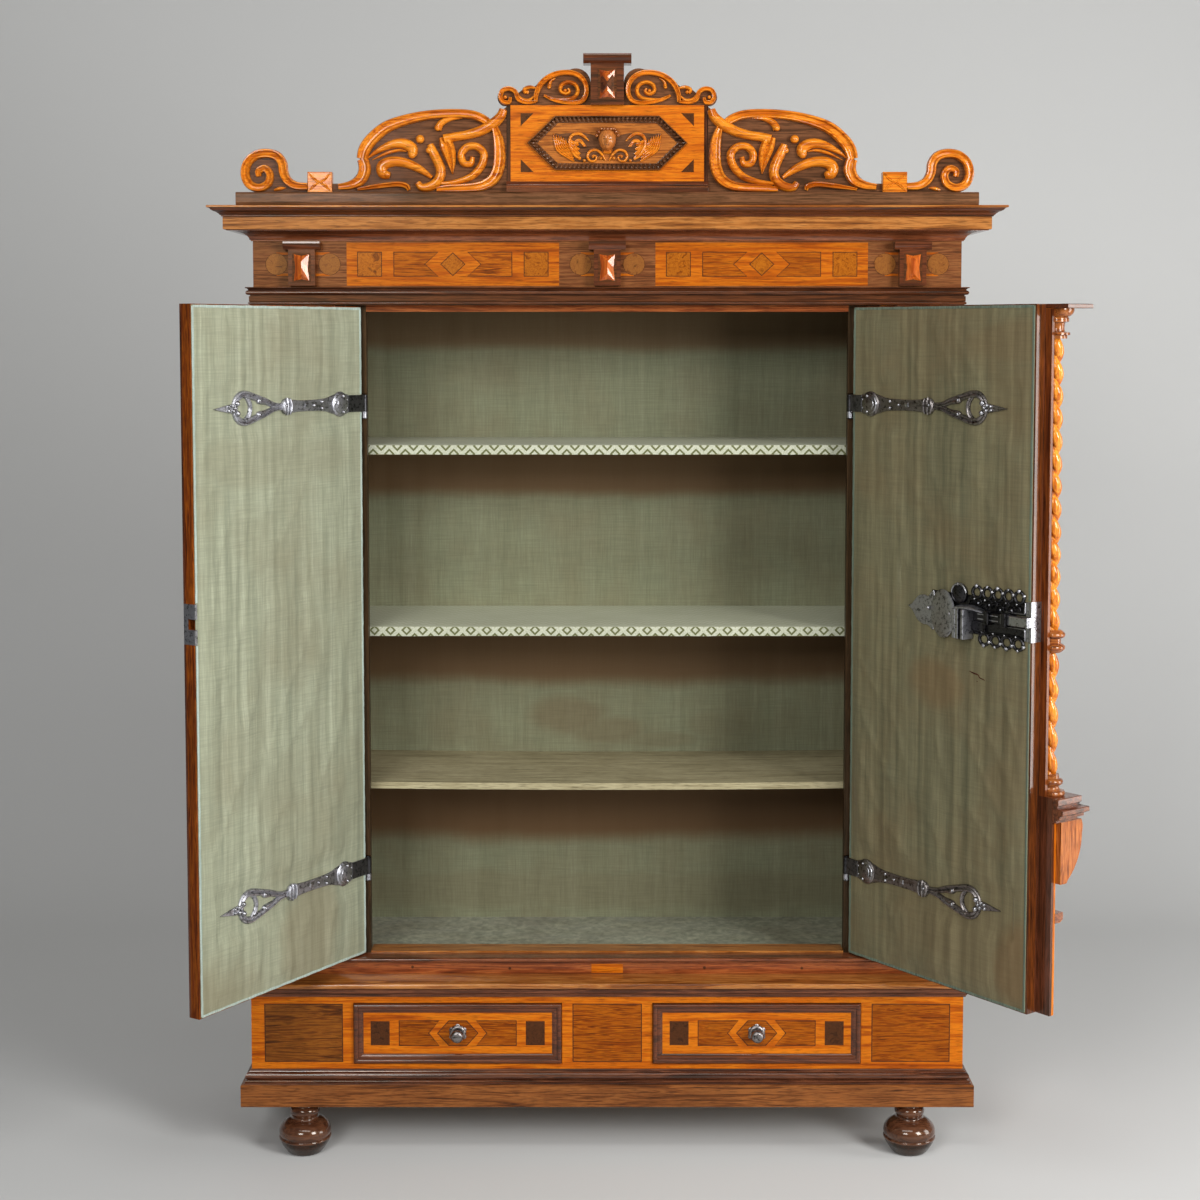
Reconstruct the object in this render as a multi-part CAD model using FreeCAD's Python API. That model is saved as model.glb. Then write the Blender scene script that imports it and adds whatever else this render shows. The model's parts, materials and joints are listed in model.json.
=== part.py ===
# Two-door cabinet with a carved pediment, twisted columns, iron strap hinges and two base drawers.
# Millimetres. X runs to the right, Y to the back and Z up.
# The origin is the middle of the back at floor level, and the doors stand open as they rest.
import FreeCAD, Part
import math
import os

Vector = FreeCAD.Vector

# Sides of the cabinet
left = -1
right = 1
up = 1
down = -1

# Widths and depths of the carcass
carcass_half = 752.0
carcass_depth = 420.0
side_board = 22.0
back_board = 14.0
back_planks = 6
stile_board = 26.0
stile_width = 223.0
opening_half = carcass_half - stile_width
sill_depth = 51.0
floor_rim = 10.0
pilaster_board = 12.0
pilaster_width = 155.0
pilaster_inner = carcass_half - pilaster_width

# Heights, from the floor to the pediment
foot_height = 114.0
plinth_height = 80.0
base_front_height = 164.0
base_top_board = 22.0
floor_board = 20.0
ledge_height = 38.0
sill_rise = 4.0
opening_height = 1428.0
rail_below_architrave = 14.0
architrave_height = 39.0
frieze_height = 100.0
cornice_height = 73.0
pediment_ledge_height = 32.0
base_bottom = foot_height + plinth_height
base_top_underside = base_bottom + base_front_height
carcass_bottom = base_top_underside + base_top_board
carcass_floor_level = carcass_bottom + floor_board
ledge_top = carcass_floor_level + ledge_height
sill_top = ledge_top + sill_rise
opening_top = sill_top + opening_height
architrave_bottom = opening_top + rail_below_architrave
frieze_bottom = architrave_bottom + architrave_height
cornice_bottom = frieze_bottom + frieze_height
cornice_top = cornice_bottom + cornice_height
pediment_bottom = cornice_top + pediment_ledge_height

# Base
base_out = 60.0
fascia_out = 33.0
base_half = carcass_half + floor_rim + base_out - fascia_out
base_board = 24.0
base_back_board = 20.0
rear_foot_width = 90.0
dust_board = 12.0
plinth_out = 22.0
plinth_band = 64.0
base_nose_out = 29.0
base_nose_height = 7.0
base_nose_drop = 5.0

# Turned feet
foot_inset = 114.0
foot_x = base_half - foot_inset
foot_out = 40.0
bun_radius = 58.0
foot_shares = [
    (0.0, 0.0), (0.58, 0.0), (0.9, 0.13, 0.97, 0.34), (1.0, 0.385), (0.97, 0.43),
    (0.86, 0.64, 0.52, 0.755), (0.58, 0.81, 0.53, 0.87), (0.46, 0.89), (0.46, 1.0), (0.0, 1.0),
]

# Drawers
drawers_apart = 202.0
outer_panel_width = 227.0
drawer_half = (base_half - outer_panel_width - drawers_apart / 2) / 2
drawer_height = 135.5
drawer_gap = 1.0
drawer_running_gap = 0.5
drawer_x = drawers_apart / 2 + drawer_half
drawer_bottom = base_bottom + dust_board + drawer_running_gap
drawer_top = drawer_bottom + drawer_height
drawer_front_board = 22.0
drawer_length = 360.0
drawer_side = 12.0
drawer_side_drop = 14.0
drawer_base_board = 8.0
drawer_inset = 0.5
drawer_moulding_width = 20.0
drawer_moulding_rise = 8.0
guide_width = 20.0
guide_height = 34.0
knob_radius = 14.0
knob_length = 32.0
rosette_radius = 19.0
knob_shares = [
    (0.0, 0.0), (1.0, 0.0), (0.9, 0.1, 0.42, 0.13), (0.3, 0.3, 0.34, 0.5),
    (0.62, 0.56, 0.74, 0.74), (0.62, 0.93, 0.2, 1.0), (0.0, 1.0),
]

# Mouldings that run round the front and the two sides
ledge_moulding_height = 9.0
fascia_top = ledge_top - ledge_moulding_height
ledge_out = 45.0
ledge_nose_height = 3.0
architrave_out = 34.0
architrave_step = 3.0
frieze_board = 20.0
cornice_seat = 60.0
bed_out = 24.0
bed_height = 21.0
corona_out = 75.0
corona_bottom_step = 2.0
corona_height = 28.0
crown_out = 105.0
crown_height = 15.0
crown_fillet = 5.0
cornice_board = 20.0

# Consoles on the frieze
console_inset = 89.0
console_x = carcass_half - console_inset
console_half = 29.0
console_out = 24.0
console_height = 78.0
console_cap_half = 40.0
console_cap_height = 17.0
console_cap_out = 28.0
console_top_gap = 2.0
point_half = 17.0
point_height = 58.0
point_rise = 10.0

# Pediment
pediment_ledge_over = 53.0
pediment_ledge_half = carcass_half + pediment_ledge_over
pediment_ledge_out = 40.0
pediment_ledge_back = 30.0
panel_half = 210.0
panel_height = 188.0
panel_top = pediment_bottom + panel_height
panel_out = 20.0
panel_board = 26.0
panel_edge = 9.0
panel_foot_half = panel_half + panel_edge
panel_foot_height = 24.0
panel_foot_out = 6.0
hexagon_tip = 174.0
hexagon_corner = 113.0
hexagon_half_height = 58.5
hexagon_centre_height = 106.5
hexagon_level = pediment_bottom + hexagon_centre_height
hexagon_band = 15.0
hexagon_rise = 9.0
cherub_head = 19.0
cherub_span = 118.0
cherub_wing_height = 62.0
cherub_wing_rise = 7.0
scroll_end_margin = 4.0
scroll_length = pediment_ledge_half - scroll_end_margin - panel_foot_half
scroll_height = 182.0
scroll_board = 28.0
scroll_rib_rise = 7.0
crest_height = 88.0
crest_half = 36.0
crest_out = 12.0
crest_cap_half = 52.0
crest_cap_height = 20.0
crest_cap_out = 14.0
crest_scroll_length = 204.0
crest_scroll_height = 78.0
crest_scroll_board = 22.0

# Inside
upper_shelf_height = 1175.0
middle_shelf_height = 767.0
lower_shelf_height = 417.0
shelf_levels = [
    carcass_floor_level + upper_shelf_height,
    carcass_floor_level + middle_shelf_height,
    carcass_floor_level + lower_shelf_height,
]
shelf_board = 20.5
lower_shelf_board = 15.0
lower_shelf_sag = 6.5
shelf_setback = 53.0
shelf_side_gap = 1.0
cleat_width = 20.0
cleat_height = 24.0
cloth = 1.5

# Doors
pivot_inset = 5.0
pivot_x = opening_half + pivot_inset
pivot_out = 2.0
hinge_edge_gap = 9.0
leaf_face_gap = 1.0
leaf_gap_below = 2.0
leaf_gap_above = 3.0
leaf_bottom = ledge_top + leaf_gap_below
leaf_top = architrave_bottom - leaf_gap_above
leaf_core = 22.0
leaf_facing = 5.0
meeting_x = 5.0
meeting_gap = 2.0
left_open_angle = 122.5
right_open_angle = 127.0
facing_stile = 92.0
facing_rail = 104.0
facing_split_share = 0.36
field_moulding_width = 24.0
field_moulding_rise = 7.0
field_gap = 16.0
field_point_rise = 9.0
lining_margin = 2.0
rebate_from_pivot = 9.0
rebate_width = 32.0
stile_rebate_start = pivot_x + rebate_from_pivot
stile_rebate_end = stile_rebate_start + rebate_width
stile_rebate_depth = 13.0

# Iron strap hinges, measured along the leaf from the pivot
leaf_reach = pivot_x - meeting_x
hinge_from_top = 211.0
hinge_from_bottom = 198.0
upper_hinge_level = leaf_top - hinge_from_top
lower_hinge_level = leaf_bottom + hinge_from_bottom
hinge_levels = [upper_hinge_level, lower_hinge_level]
pin_radius = 3.5
pin_running_gap = 0.05
eye_radius = 7.0
strap_plate = 3.5
strap_half_height = 18.5
strap_neck_half = 9.0
boss_at = 61.0
boss_radius = 27.0
boss_rise = 8.0
tip_from_end = 52.0
tip_length = 60.0
tip_half = 13.0
loop_length = 166.0
loop_half_height = 33.0
loop_band = 9.0
loop_bar = 9.0
loop_bar_from_tip = 66.0
loop_overlap = 2.0
knop_half = 18.0
knop_rise = 7.0
stud_foot_share = 0.72
stud_top_share = 0.34
tip_end = leaf_reach - tip_from_end
loop_end = tip_end - tip_length
loop_start = loop_end - loop_length
loop_bar_at = loop_end - loop_bar_from_tip
knop_at = loop_start + loop_overlap - knop_half
strap_neck_at = knop_at - knop_half
hook_height = 14.0
hook_gap = 0.6
hook_shank = 10.0
hook_shank_shift = 2.0
hook_shank_length = 24.0
notch_margin = 3.0
notch_depth = 7.0

# Lock on the right leaf, measured along the leaf from the pivot
lock_height = 803.0
lock_level = leaf_bottom + lock_height
lock_plate = 2.0
lock_plate_half = 40.0
shield_half = 52.0
shield_tip_from_end = 343.0
shield_shoulder_from_end = 304.0
shield_end_from_end = 191.0
lock_plate_from_end = 14.0
bolt_tail_from_end = 136.0
bolt_head_from_end = 36.0
shield_tip_at = leaf_reach - shield_tip_from_end
shield_shoulder_at = leaf_reach - shield_shoulder_from_end
shield_end_at = leaf_reach - shield_end_from_end
lock_plate_end_at = leaf_reach - lock_plate_from_end
bolt_tail_at = leaf_reach - bolt_tail_from_end
bolt_head_at = leaf_reach - bolt_head_from_end
bolt_half = 10.0
bolt_bar_near = 5.0
bolt_bar_far = 13.0
bolt_head_depth = 15.0
bolt_running_gap = 0.5
bolt_throw = 16.0
bolt_end_gap = 0.5
staple_width = 12.0
staple_wall = 4.0
inner_staple_from_end = 112.0
outer_staple_from_end = 66.0
inner_staple_at = leaf_reach - inner_staple_from_end
outer_staple_at = leaf_reach - outer_staple_from_end
staple_reach = 22.0
edge_plate = 2.0
edge_plate_half = 41.0
edge_plate_lip = 7.0
ball_radius = 6.5
arches = 4
ornament_rise = 22.0
ornament_foot = 16.0
ornament_start_from_end = 184.0
ornament_end_from_end = 18.0
ornament_start_at = leaf_reach - ornament_start_from_end
ornament_end_at = leaf_reach - ornament_end_from_end
keyhole_half = 5.0

# Astragal and columns
astragal_gap = 0.4
strip_half = 10.0
strip_board = 6.0
lower_board_half = 29.0
lower_board = 13.0
lower_board_height = 272.0
band_height_up = 190.0
band_height = 19.0
band_reach = 23.0
bracket_height = 127.0
plinth_block_height = 49.0
base_ring_height = 43.0
lower_shaft_height = 249.0
middle_ring_height = 46.0
capital_height = 60.0
abacus_height = 9.0
band_bottom = leaf_bottom + band_height_up
band_top = band_bottom + band_height
bracket_bottom = leaf_bottom + lower_board_height
plinth_block_bottom = bracket_bottom + bracket_height
plinth_block_top = plinth_block_bottom + plinth_block_height
base_ring_top = plinth_block_top + base_ring_height
middle_ring_bottom = base_ring_top + lower_shaft_height
middle_ring_top = middle_ring_bottom + middle_ring_height
abacus_bottom = leaf_top - abacus_height
top_ring_bottom = abacus_bottom - capital_height
shaft_core_radius = 9.5
shaft_wander = 3.5
shaft_sides = 8
stations_per_turn = 6
lower_turns = 5
upper_turns = 13
door_column_axis = 26.0
door_column_half = 56.0
door_ring_radius = 26.0
stile_column_axis = 18.0
stile_column_half = 40.0
stile_column_reach = 32.0
stile_ring_radius = 20.5
door_bracket_half = 42.0
door_bracket_reach = 67.0
stile_bracket_half = 27.0
stile_bracket_reach = 34.0
base_ring_shares = [
    (0.0, 0.0), (1.1, 0.0), (1.16, 0.1, 1.1, 0.22), (0.86, 0.26), (0.7, 0.36, 0.74, 0.48),
    (0.94, 0.54), (1.0, 0.64, 0.94, 0.76), (0.7, 0.82), (0.66, 1.0), (0.0, 1.0),
]
middle_ring_shares = [
    (0.0, 0.0), (0.68, 0.0), (0.94, 0.12), (1.0, 0.22, 0.94, 0.32), (0.66, 0.4), (0.66, 0.6),
    (0.94, 0.68), (1.0, 0.78, 0.94, 0.88), (0.68, 1.0), (0.0, 1.0),
]
capital_shares = [
    (0.0, 0.0), (0.78, 0.0), (0.78, 0.1), (1.0, 0.12), (1.0, 0.2), (0.6, 0.24), (0.56, 0.38, 0.6, 0.52),
    (0.9, 0.56), (0.9, 0.68), (0.82, 0.72), (1.16, 0.8, 1.3, 1.0), (0.0, 1.0),
]
plinth_block_shares = [(0.7, 0.0, 0.12), (0.86, 0.12, 0.3), (1.0, 0.3, 0.56), (0.76, 0.56, 0.7), (0.8, 0.7, 1.0)]
abacus_half_share = 0.89

# Overrun of cutting tools past the pieces they cut
overrun = 5.0


def plane(out):
    """Y of a plane that lies this far in front of the carcass front."""
    return -(carcass_depth + out)


def box(x0, x1, y0, y1, z0, z1):
    corner = Vector(min(x0, x1), min(y0, y1), min(z0, z1))
    return Part.makeBox(abs(x1 - x0), abs(y1 - y0), abs(z1 - z0), corner)


def board(x0, x1, out0, out1, z0, z1):
    """Box between two planes given by their distance in front of the carcass front."""
    return box(x0, x1, plane(out0), plane(out1), z0, z1)


def mirrored(solid):
    return solid.mirror(Vector(0, 0, 0), Vector(1, 0, 0))


def moved(solid, x, y, z):
    shifted = solid.copy()
    shifted.translate(Vector(x, y, z))
    return shifted


def outline_wire(steps, place):
    """Closed wire; a step of two numbers is a line to a point, one of four an arc through and to."""
    edges = []
    here = steps[0]
    for step in steps[1:] + steps[:1]:
        start = place(*here[-2:])
        end = place(*step[-2:])
        if len(step) == 4:
            edges.append(Part.Arc(start, place(*step[:2]), end).toShape())
        else:
            edges.append(Part.makeLine(start, end))
        here = step
    return Part.Wire(edges)


def pairs_of(step):
    return list(zip(step[0::2], step[1::2]))


def scaled(shares, start, width, bottom, height):
    """Outline steps from shares of a width and a height."""
    steps = []
    for step in shares:
        steps.append(tuple(v for a, b in pairs_of(step) for v in (start + a * width, bottom + b * height)))
    return steps


def plan_prism(corners, low, high):
    """Upright prism on a polygon in plan."""
    points = [Vector(x, y, low) for x, y in corners]
    return Part.Face(Part.makePolygon(points + points[:1])).extrude(Vector(0, 0, high - low))


def flat_prism(steps, out0, out1):
    """Plate with an outline in X and Z, between two upright planes."""
    face = Part.Face(outline_wire(steps, lambda x, z: Vector(x, plane(out0), z)))
    return face.extrude(Vector(0, plane(out1) - plane(out0), 0))


def cross_prism(steps, x0, x1):
    """Bar along X with an outline in distance in front of the carcass and height."""
    face = Part.Face(outline_wire(steps, lambda out, z: Vector(x0, plane(out), z)))
    return face.extrude(Vector(x1 - x0, 0, 0))


def turned(steps, x, out):
    """Solid of revolution about an upright axis, from radius and height."""
    face = Part.Face(outline_wire(steps, lambda radius, z: Vector(x + radius, plane(out), z)))
    return face.revolve(Vector(x, plane(out), 0), Vector(0, 0, 1), 360)


def turned_forward(shares, radius, length, x, out, level):
    """Solid of revolution about an axis that points to the front."""
    steps = scaled(shares, 0, radius, 0, length)
    face = Part.Face(outline_wire(steps, lambda r, along: Vector(x + r, plane(out + along), level)))
    return face.revolve(Vector(x, plane(out), level), Vector(0, 1, 0), 360)


def mitred_runs(steps, half, out):
    """Moulding round the front and both sides; steps are projection and height."""
    reach = max(step[-2] for step in steps) + overrun
    inner = min(step[-2] for step in steps)
    low = min(step[-1] for step in steps) - overrun
    high = max(step[-1] for step in steps) + overrun
    face = Part.Face(outline_wire(steps, lambda p, z: Vector(-half - reach, plane(out + p), z)))
    front = face.extrude(Vector(2 * (half + reach), 0, 0))
    corners = [
        (-half - reach, plane(out + reach)), (half + reach, plane(out + reach)),
        (half + inner, plane(out + inner)), (-half - inner, plane(out + inner)),
    ]
    runs = [front.common(plan_prism(corners, low, high))]
    for side in (left, right):
        place = lambda p, z, side=side: Vector(side * (half + p), plane(out + reach), z)
        run = Part.Face(outline_wire(steps, place)).extrude(Vector(0, -plane(out + reach), 0))
        corners = [
            (side * (half + reach), plane(out + reach)), (side * (half + reach), 0),
            (side * (half + inner), 0), (side * (half + inner), plane(out + inner)),
        ]
        runs.append(run.common(plan_prism(corners, low, high)))
    return runs


def picture_frame(x, level, half_width, half_height, out, steps):
    """Four mitred lengths of moulding round a field; steps are distance inward and rise."""
    width = max(step[-2] for step in steps)
    rise = max(step[-1] for step in steps) + overrun
    sides = []
    for quarter in range(4):
        long_half = half_height if quarter % 2 else half_width
        distance = half_width if quarter % 2 else half_height
        place = lambda inward, r: Vector(-long_half, plane(out + r), inward - distance)
        bar = Part.Face(outline_wire(steps, place)).extrude(Vector(2 * long_half, 0, 0))
        corners = [
            (-long_half, -distance), (long_half, -distance),
            (long_half - width, width - distance), (width - long_half, width - distance),
        ]
        length = bar.common(flat_prism(corners, out, out + rise))
        length.rotate(Vector(0, 0, 0), Vector(0, 1, 0), 90 * quarter)
        sides.append(moved(length, x, 0, level))
    return sides


def diamond_point(x, level, half_width, half_height, out, rise):
    """Low pyramid on a rectangular foot."""
    foot = [
        Vector(x - half_width, plane(out), level - half_height),
        Vector(x + half_width, plane(out), level - half_height),
        Vector(x + half_width, plane(out), level + half_height),
        Vector(x - half_width, plane(out), level + half_height),
    ]
    tip = Vector(x, plane(out + rise), level)
    faces = [Part.Face(Part.makePolygon(foot + foot[:1]))]
    for index in range(4):
        a = foot[index]
        b = foot[(index + 1) % 4]
        faces.append(Part.Face(Part.makePolygon([a, b, tip, a])))
    return Part.makeSolid(Part.makeShell(faces))


def save(node, solids):
    """Write one node; every solid in it stays separate."""
    flat = [solid for shape in solids for solid in shape.Solids]
    for solid in flat:
        if not solid.isValid() or solid.Volume <= 0:
            print("check", node, solid.isValid(), solid.Volume)
    Part.makeCompound(flat).exportStep(os.path.join("parts", node + ".step"))


def make_base():
    """Feet, plinth, drawer housing and the moulded top that carries the carcass."""
    steps = scaled(foot_shares, 0, bun_radius, 0, foot_height)
    save("foot_left", [turned(steps, -foot_x, foot_out)])
    save("foot_right", [turned(steps, foot_x, foot_out)])
    band_top_level = foot_height + plinth_band
    plinth_step = base_bottom - band_top_level
    plinth_lip = plinth_step / 5
    plinth = [
        (-base_board, foot_height), (plinth_out, foot_height), (plinth_out, band_top_level),
        (plinth_out - plinth_lip, band_top_level),
        (plinth_out / 2, band_top_level + plinth_step / 3, plinth_lip, base_bottom - plinth_lip / 2),
        (plinth_lip, base_bottom), (-base_board, base_bottom),
    ]
    save("plinth", mitred_runs(plinth, base_half, base_out))

    front_back = base_out - base_board
    opening_inner = drawer_x - drawer_half - drawer_gap
    opening_outer = drawer_x + drawer_half + drawer_gap
    rail_low = drawer_bottom - drawer_gap
    rail_high = drawer_top + drawer_gap
    frame = [
        board(-base_half, base_half, front_back, base_out, base_bottom, rail_low),
        board(-base_half, base_half, front_back, base_out, rail_high, base_top_underside),
        board(-opening_inner, opening_inner, front_back, base_out, rail_low, rail_high),
        board(-base_half, -opening_outer, front_back, base_out, rail_low, rail_high),
        board(opening_outer, base_half, front_back, base_out, rail_low, rail_high),
    ]
    save("base_front_frame", frame)
    inside = base_half - base_board
    sides = [
        box(side * inside, side * base_half, 0, plane(front_back), base_bottom, base_top_underside)
        for side in (left, right)
    ]
    save("base_sides", sides)
    back = box(-inside, inside, -base_back_board, 0, 0, base_top_underside)
    arch_half = inside - rear_foot_width
    arch = box(-arch_half, arch_half, -base_back_board - overrun, overrun, -overrun, foot_height)
    save("base_back", [back.cut(arch)])

    guide_bottom = base_bottom + dust_board
    guides = [box(-inside, inside, -base_back_board, plane(front_back), base_bottom, guide_bottom)]
    for side in (left, right):
        for edge in (left, right):
            near = side * drawer_x + edge * (drawer_half + drawer_gap)
            far = near + edge * guide_width
            guide_top = guide_bottom + guide_height
            guides.append(box(near, far, -base_back_board, plane(front_back), guide_bottom, guide_top))
    save("drawer_guides", guides)

    top = board(-base_half, base_half, -carcass_depth, base_out, base_top_underside, carcass_bottom)
    rim = carcass_half + floor_rim - base_half
    nose_top = carcass_floor_level - base_nose_drop
    nose_bottom = nose_top - base_nose_height
    cove = nose_bottom - base_top_underside
    moulding = [
        (rim, carcass_bottom), (0, carcass_bottom), (0, base_top_underside),
        (cove / 7, base_top_underside), (cove / 3, nose_bottom - cove / 3, base_nose_out - cove / 15, nose_bottom),
        (base_nose_out, nose_bottom), (base_nose_out, nose_top), (0, carcass_floor_level),
        (rim, carcass_floor_level),
    ]
    save("base_top", [top] + mitred_runs(moulding, base_half, base_out))


def make_carcass():
    """Boards of the carcass with its front stiles, rails and pilasters."""
    stile_back = -stile_board
    inside = carcass_half - side_board
    floor_half = carcass_half + floor_rim
    floor_board = board(-floor_half, floor_half, -carcass_depth, fascia_out, carcass_bottom, carcass_floor_level)
    save("carcass_floor", [floor_board])
    for side, name in ((left, "left"), (right, "right")):
        wall = box(side * inside, side * carcass_half, 0, plane(stile_back), carcass_floor_level, cornice_bottom)
        save("carcass_side_" + name, [wall])
        save("front_stile_" + name, [front_stile(side)])
    plank = 2 * inside / back_planks
    planks = []
    for index in range(back_planks):
        start = index * plank - inside
        planks.append(box(start, start + plank, -back_board, 0, carcass_floor_level, cornice_bottom))
    save("carcass_back", planks)
    lid_bottom = cornice_bottom - side_board
    save("carcass_top", [box(-inside, inside, -back_board, plane(stile_back), lid_bottom, cornice_bottom)])
    save("top_rail", [board(-opening_half, opening_half, stile_back, 0, opening_top, cornice_bottom)])
    save("sill", [board(-opening_half, opening_half, -sill_depth, 0, carcass_floor_level, sill_top)])
    pilasters = [
        board(side * pilaster_inner, side * carcass_half, 0, pilaster_board, ledge_top, architrave_bottom)
        for side in (left, right)
    ]
    save("pilasters", pilasters)


def hook_bottom(level):
    return level - strap_half_height - hook_gap - hook_height


def hook_shank_block(level, side):
    """Shank of a hinge hook, which is driven into the stile."""
    half = hook_shank / 2
    low = hook_bottom(level)
    x = side * (pivot_x + hook_shank_shift)
    return board(x - half, x + half, -hook_shank_length, pivot_out, low, low + hook_height)


def front_stile(side):
    """Front post with the rebate that the leaf's edge turns in and a notch for each hinge."""
    stile = board(side * opening_half, side * carcass_half, -stile_board, 0, carcass_floor_level, cornice_bottom)
    rebate = board(
        side * stile_rebate_start, side * stile_rebate_end, -stile_rebate_depth, overrun,
        ledge_top, architrave_bottom,
    )
    stile = stile.cut(rebate)
    for level in hinge_levels:
        low = hook_bottom(level) - notch_margin
        high = level + strap_half_height + notch_margin
        inner = opening_half - overrun
        stile = stile.cut(board(side * inner, side * stile_rebate_start, -notch_depth, overrun, low, high))
        stile = stile.cut(hook_shank_block(level, side))
    return stile


def make_mouldings():
    """Ledge under the doors, architrave, frieze with its consoles, and cornice."""
    nose_bottom = ledge_top - ledge_nose_height
    ledge = [
        (0, carcass_floor_level), (fascia_out, carcass_floor_level), (fascia_out, fascia_top),
        ((fascia_out + ledge_out) / 2, fascia_top, ledge_out, nose_bottom), (ledge_out, ledge_top),
        (0, ledge_top),
    ]
    save("ledge_moulding", mitred_runs(ledge, carcass_half, 0))
    height = frieze_bottom - architrave_bottom
    lower = architrave_bottom + height / 3
    upper = architrave_bottom + 2 * height / 3
    first = architrave_out - 2 * architrave_step
    second = architrave_out - architrave_step
    architrave = [
        (0, architrave_bottom), (first, architrave_bottom), (first, lower), (second, lower),
        (second, upper), (architrave_out, (upper + frieze_bottom) / 2, second, frieze_bottom),
        (0, frieze_bottom),
    ]
    save("architrave", mitred_runs(architrave, carcass_half, 0))
    frieze = [(0, frieze_bottom), (frieze_board, frieze_bottom), (frieze_board, cornice_bottom), (0, cornice_bottom)]
    save("frieze", mitred_runs(frieze, carcass_half, 0))
    cap_top = cornice_bottom - console_top_gap
    cap_bottom = cap_top - console_cap_height
    console_bottom = cap_bottom - console_height
    consoles = []
    points = []
    for x in (-console_x, 0, console_x):
        front = frieze_board + console_out
        consoles.append(board(x - console_half, x + console_half, frieze_board, front, console_bottom, cap_bottom))
        cap_front = frieze_board + console_cap_out
        cap = [
            (frieze_board, cap_bottom), (front, cap_bottom),
            (cap_front, (cap_bottom + cap_top) / 2, cap_front, cap_top), (frieze_board, cap_top),
        ]
        consoles.append(cross_prism(cap, x - console_cap_half, x + console_cap_half))
        level = (console_bottom + cap_bottom) / 2
        points.append(diamond_point(x, level, point_half, point_height / 2, front, point_rise))
    save("frieze_consoles", consoles)
    save("console_points", points)
    make_cornice()


def make_cornice():
    """Bed moulding, corona and crown in one run, closed by a board on top."""
    bed_top = cornice_bottom + bed_height
    corona_bottom = bed_top + corona_bottom_step
    corona_top = corona_bottom + corona_height
    crown_start = corona_out + crown_fillet
    crown_middle = (crown_start + crown_out) / 2
    crown_top = corona_top + crown_height
    outline = [
        (-cornice_seat, cornice_bottom), (bed_out, cornice_bottom),
        (bed_out + bed_height / 2, bed_top - bed_height / 4, corona_out - crown_fillet, bed_top),
        (corona_out - crown_fillet, corona_bottom), (corona_out, corona_bottom), (corona_out, corona_top),
        (crown_start, corona_top),
        (crown_start + crown_fillet, corona_top + crown_height / 6, crown_middle, (corona_top + crown_top) / 2),
        (crown_out - crown_fillet, crown_top - crown_height / 6, crown_out, crown_top),
        (crown_out, cornice_top), (-cornice_seat, cornice_top),
    ]
    runs = mitred_runs(outline, carcass_half, 0)
    half = carcass_half - cornice_seat
    runs.append(board(-half, half, -carcass_depth, -cornice_seat, cornice_top - cornice_board, cornice_top))
    save("cornice", runs)


# Outline of a main scroll in shares of its length from the panel outwards and of its height
scroll_shares = [
    (0.0, 0.0), (0.0, 1.02), (0.03, 0.985, 0.06, 0.89), (0.11, 0.975, 0.19, 0.997), (0.37, 0.93, 0.47, 0.715),
    (0.52, 0.56, 0.556, 0.4), (0.585, 0.22, 0.63, 0.15), (0.655, 0.15), (0.655, 0.24), (0.74, 0.24),
    (0.74, 0.15), (0.76, 0.15), (0.795, 0.18, 0.815, 0.3), (0.84, 0.5, 0.905, 0.527), (0.985, 0.45, 1.0, 0.3),
    (0.985, 0.12, 0.93, 0.0),
]
# Ribs on a scroll: centre in shares of length and height, radius and band in shares of the height
# and then the start and the sweep in degrees
scroll_rib_shares = [
    (0.215, -0.247, 1.2, 0.08, 40, 60), (0.139, 0.423, 0.4, 0.08, 130, 112), (0.15, 0.37, 0.18, 0.065, -70, 250),
    (0.15, 0.37, 0.07, 0.055, 120, 240), (0.208, 1.604, 0.907, 0.08, 228, 42), (0.3625, 0.43, 0.17, 0.07, -60, 200),
    (0.405, 0.2, 0.15, 0.07, 30, 170), (0.637, 0.478, 0.37, 0.065, 196, 52), (0.9, 0.26, 0.205, 0.07, -30, 300),
    (0.9, 0.26, 0.085, 0.06, 60, 290),
]


def arc_band(centre_x, centre_z, radius, band, start, sweep, out, rise):
    """Flat raised band that follows an arc."""
    middle = start + sweep / 2
    finish = start + sweep

    def at(reach, degrees):
        angle = math.radians(degrees)
        return Vector(centre_x + reach * math.cos(angle), plane(out), centre_z + reach * math.sin(angle))

    outer = radius + band / 2
    inner = radius - band / 2
    edges = [
        Part.makeLine(at(inner, start), at(outer, start)),
        Part.Arc(at(outer, start), at(outer, middle), at(outer, finish)).toShape(),
        Part.makeLine(at(outer, finish), at(inner, finish)),
        Part.Arc(at(inner, finish), at(inner, middle), at(inner, start)).toShape(),
    ]
    return Part.Face(Part.Wire(edges)).extrude(Vector(0, plane(rise) - plane(0), 0))


def carved_board(outline_shares, rib_shares, start, length, bottom, height, thickness):
    """Sawn board with raised ribs carved on its face."""
    steps = scaled(outline_shares, start, length, bottom, height)
    carving = flat_prism(steps, panel_out - thickness, panel_out)
    ribs = []
    for share_x, share_z, radius, band, begin, sweep in rib_shares:
        x = start + share_x * length
        z = bottom + share_z * height
        ribs.append(arc_band(x, z, radius * height, band * height, begin, sweep, panel_out, scroll_rib_rise))
    return carving.fuse(ribs).removeSplitter()


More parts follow.
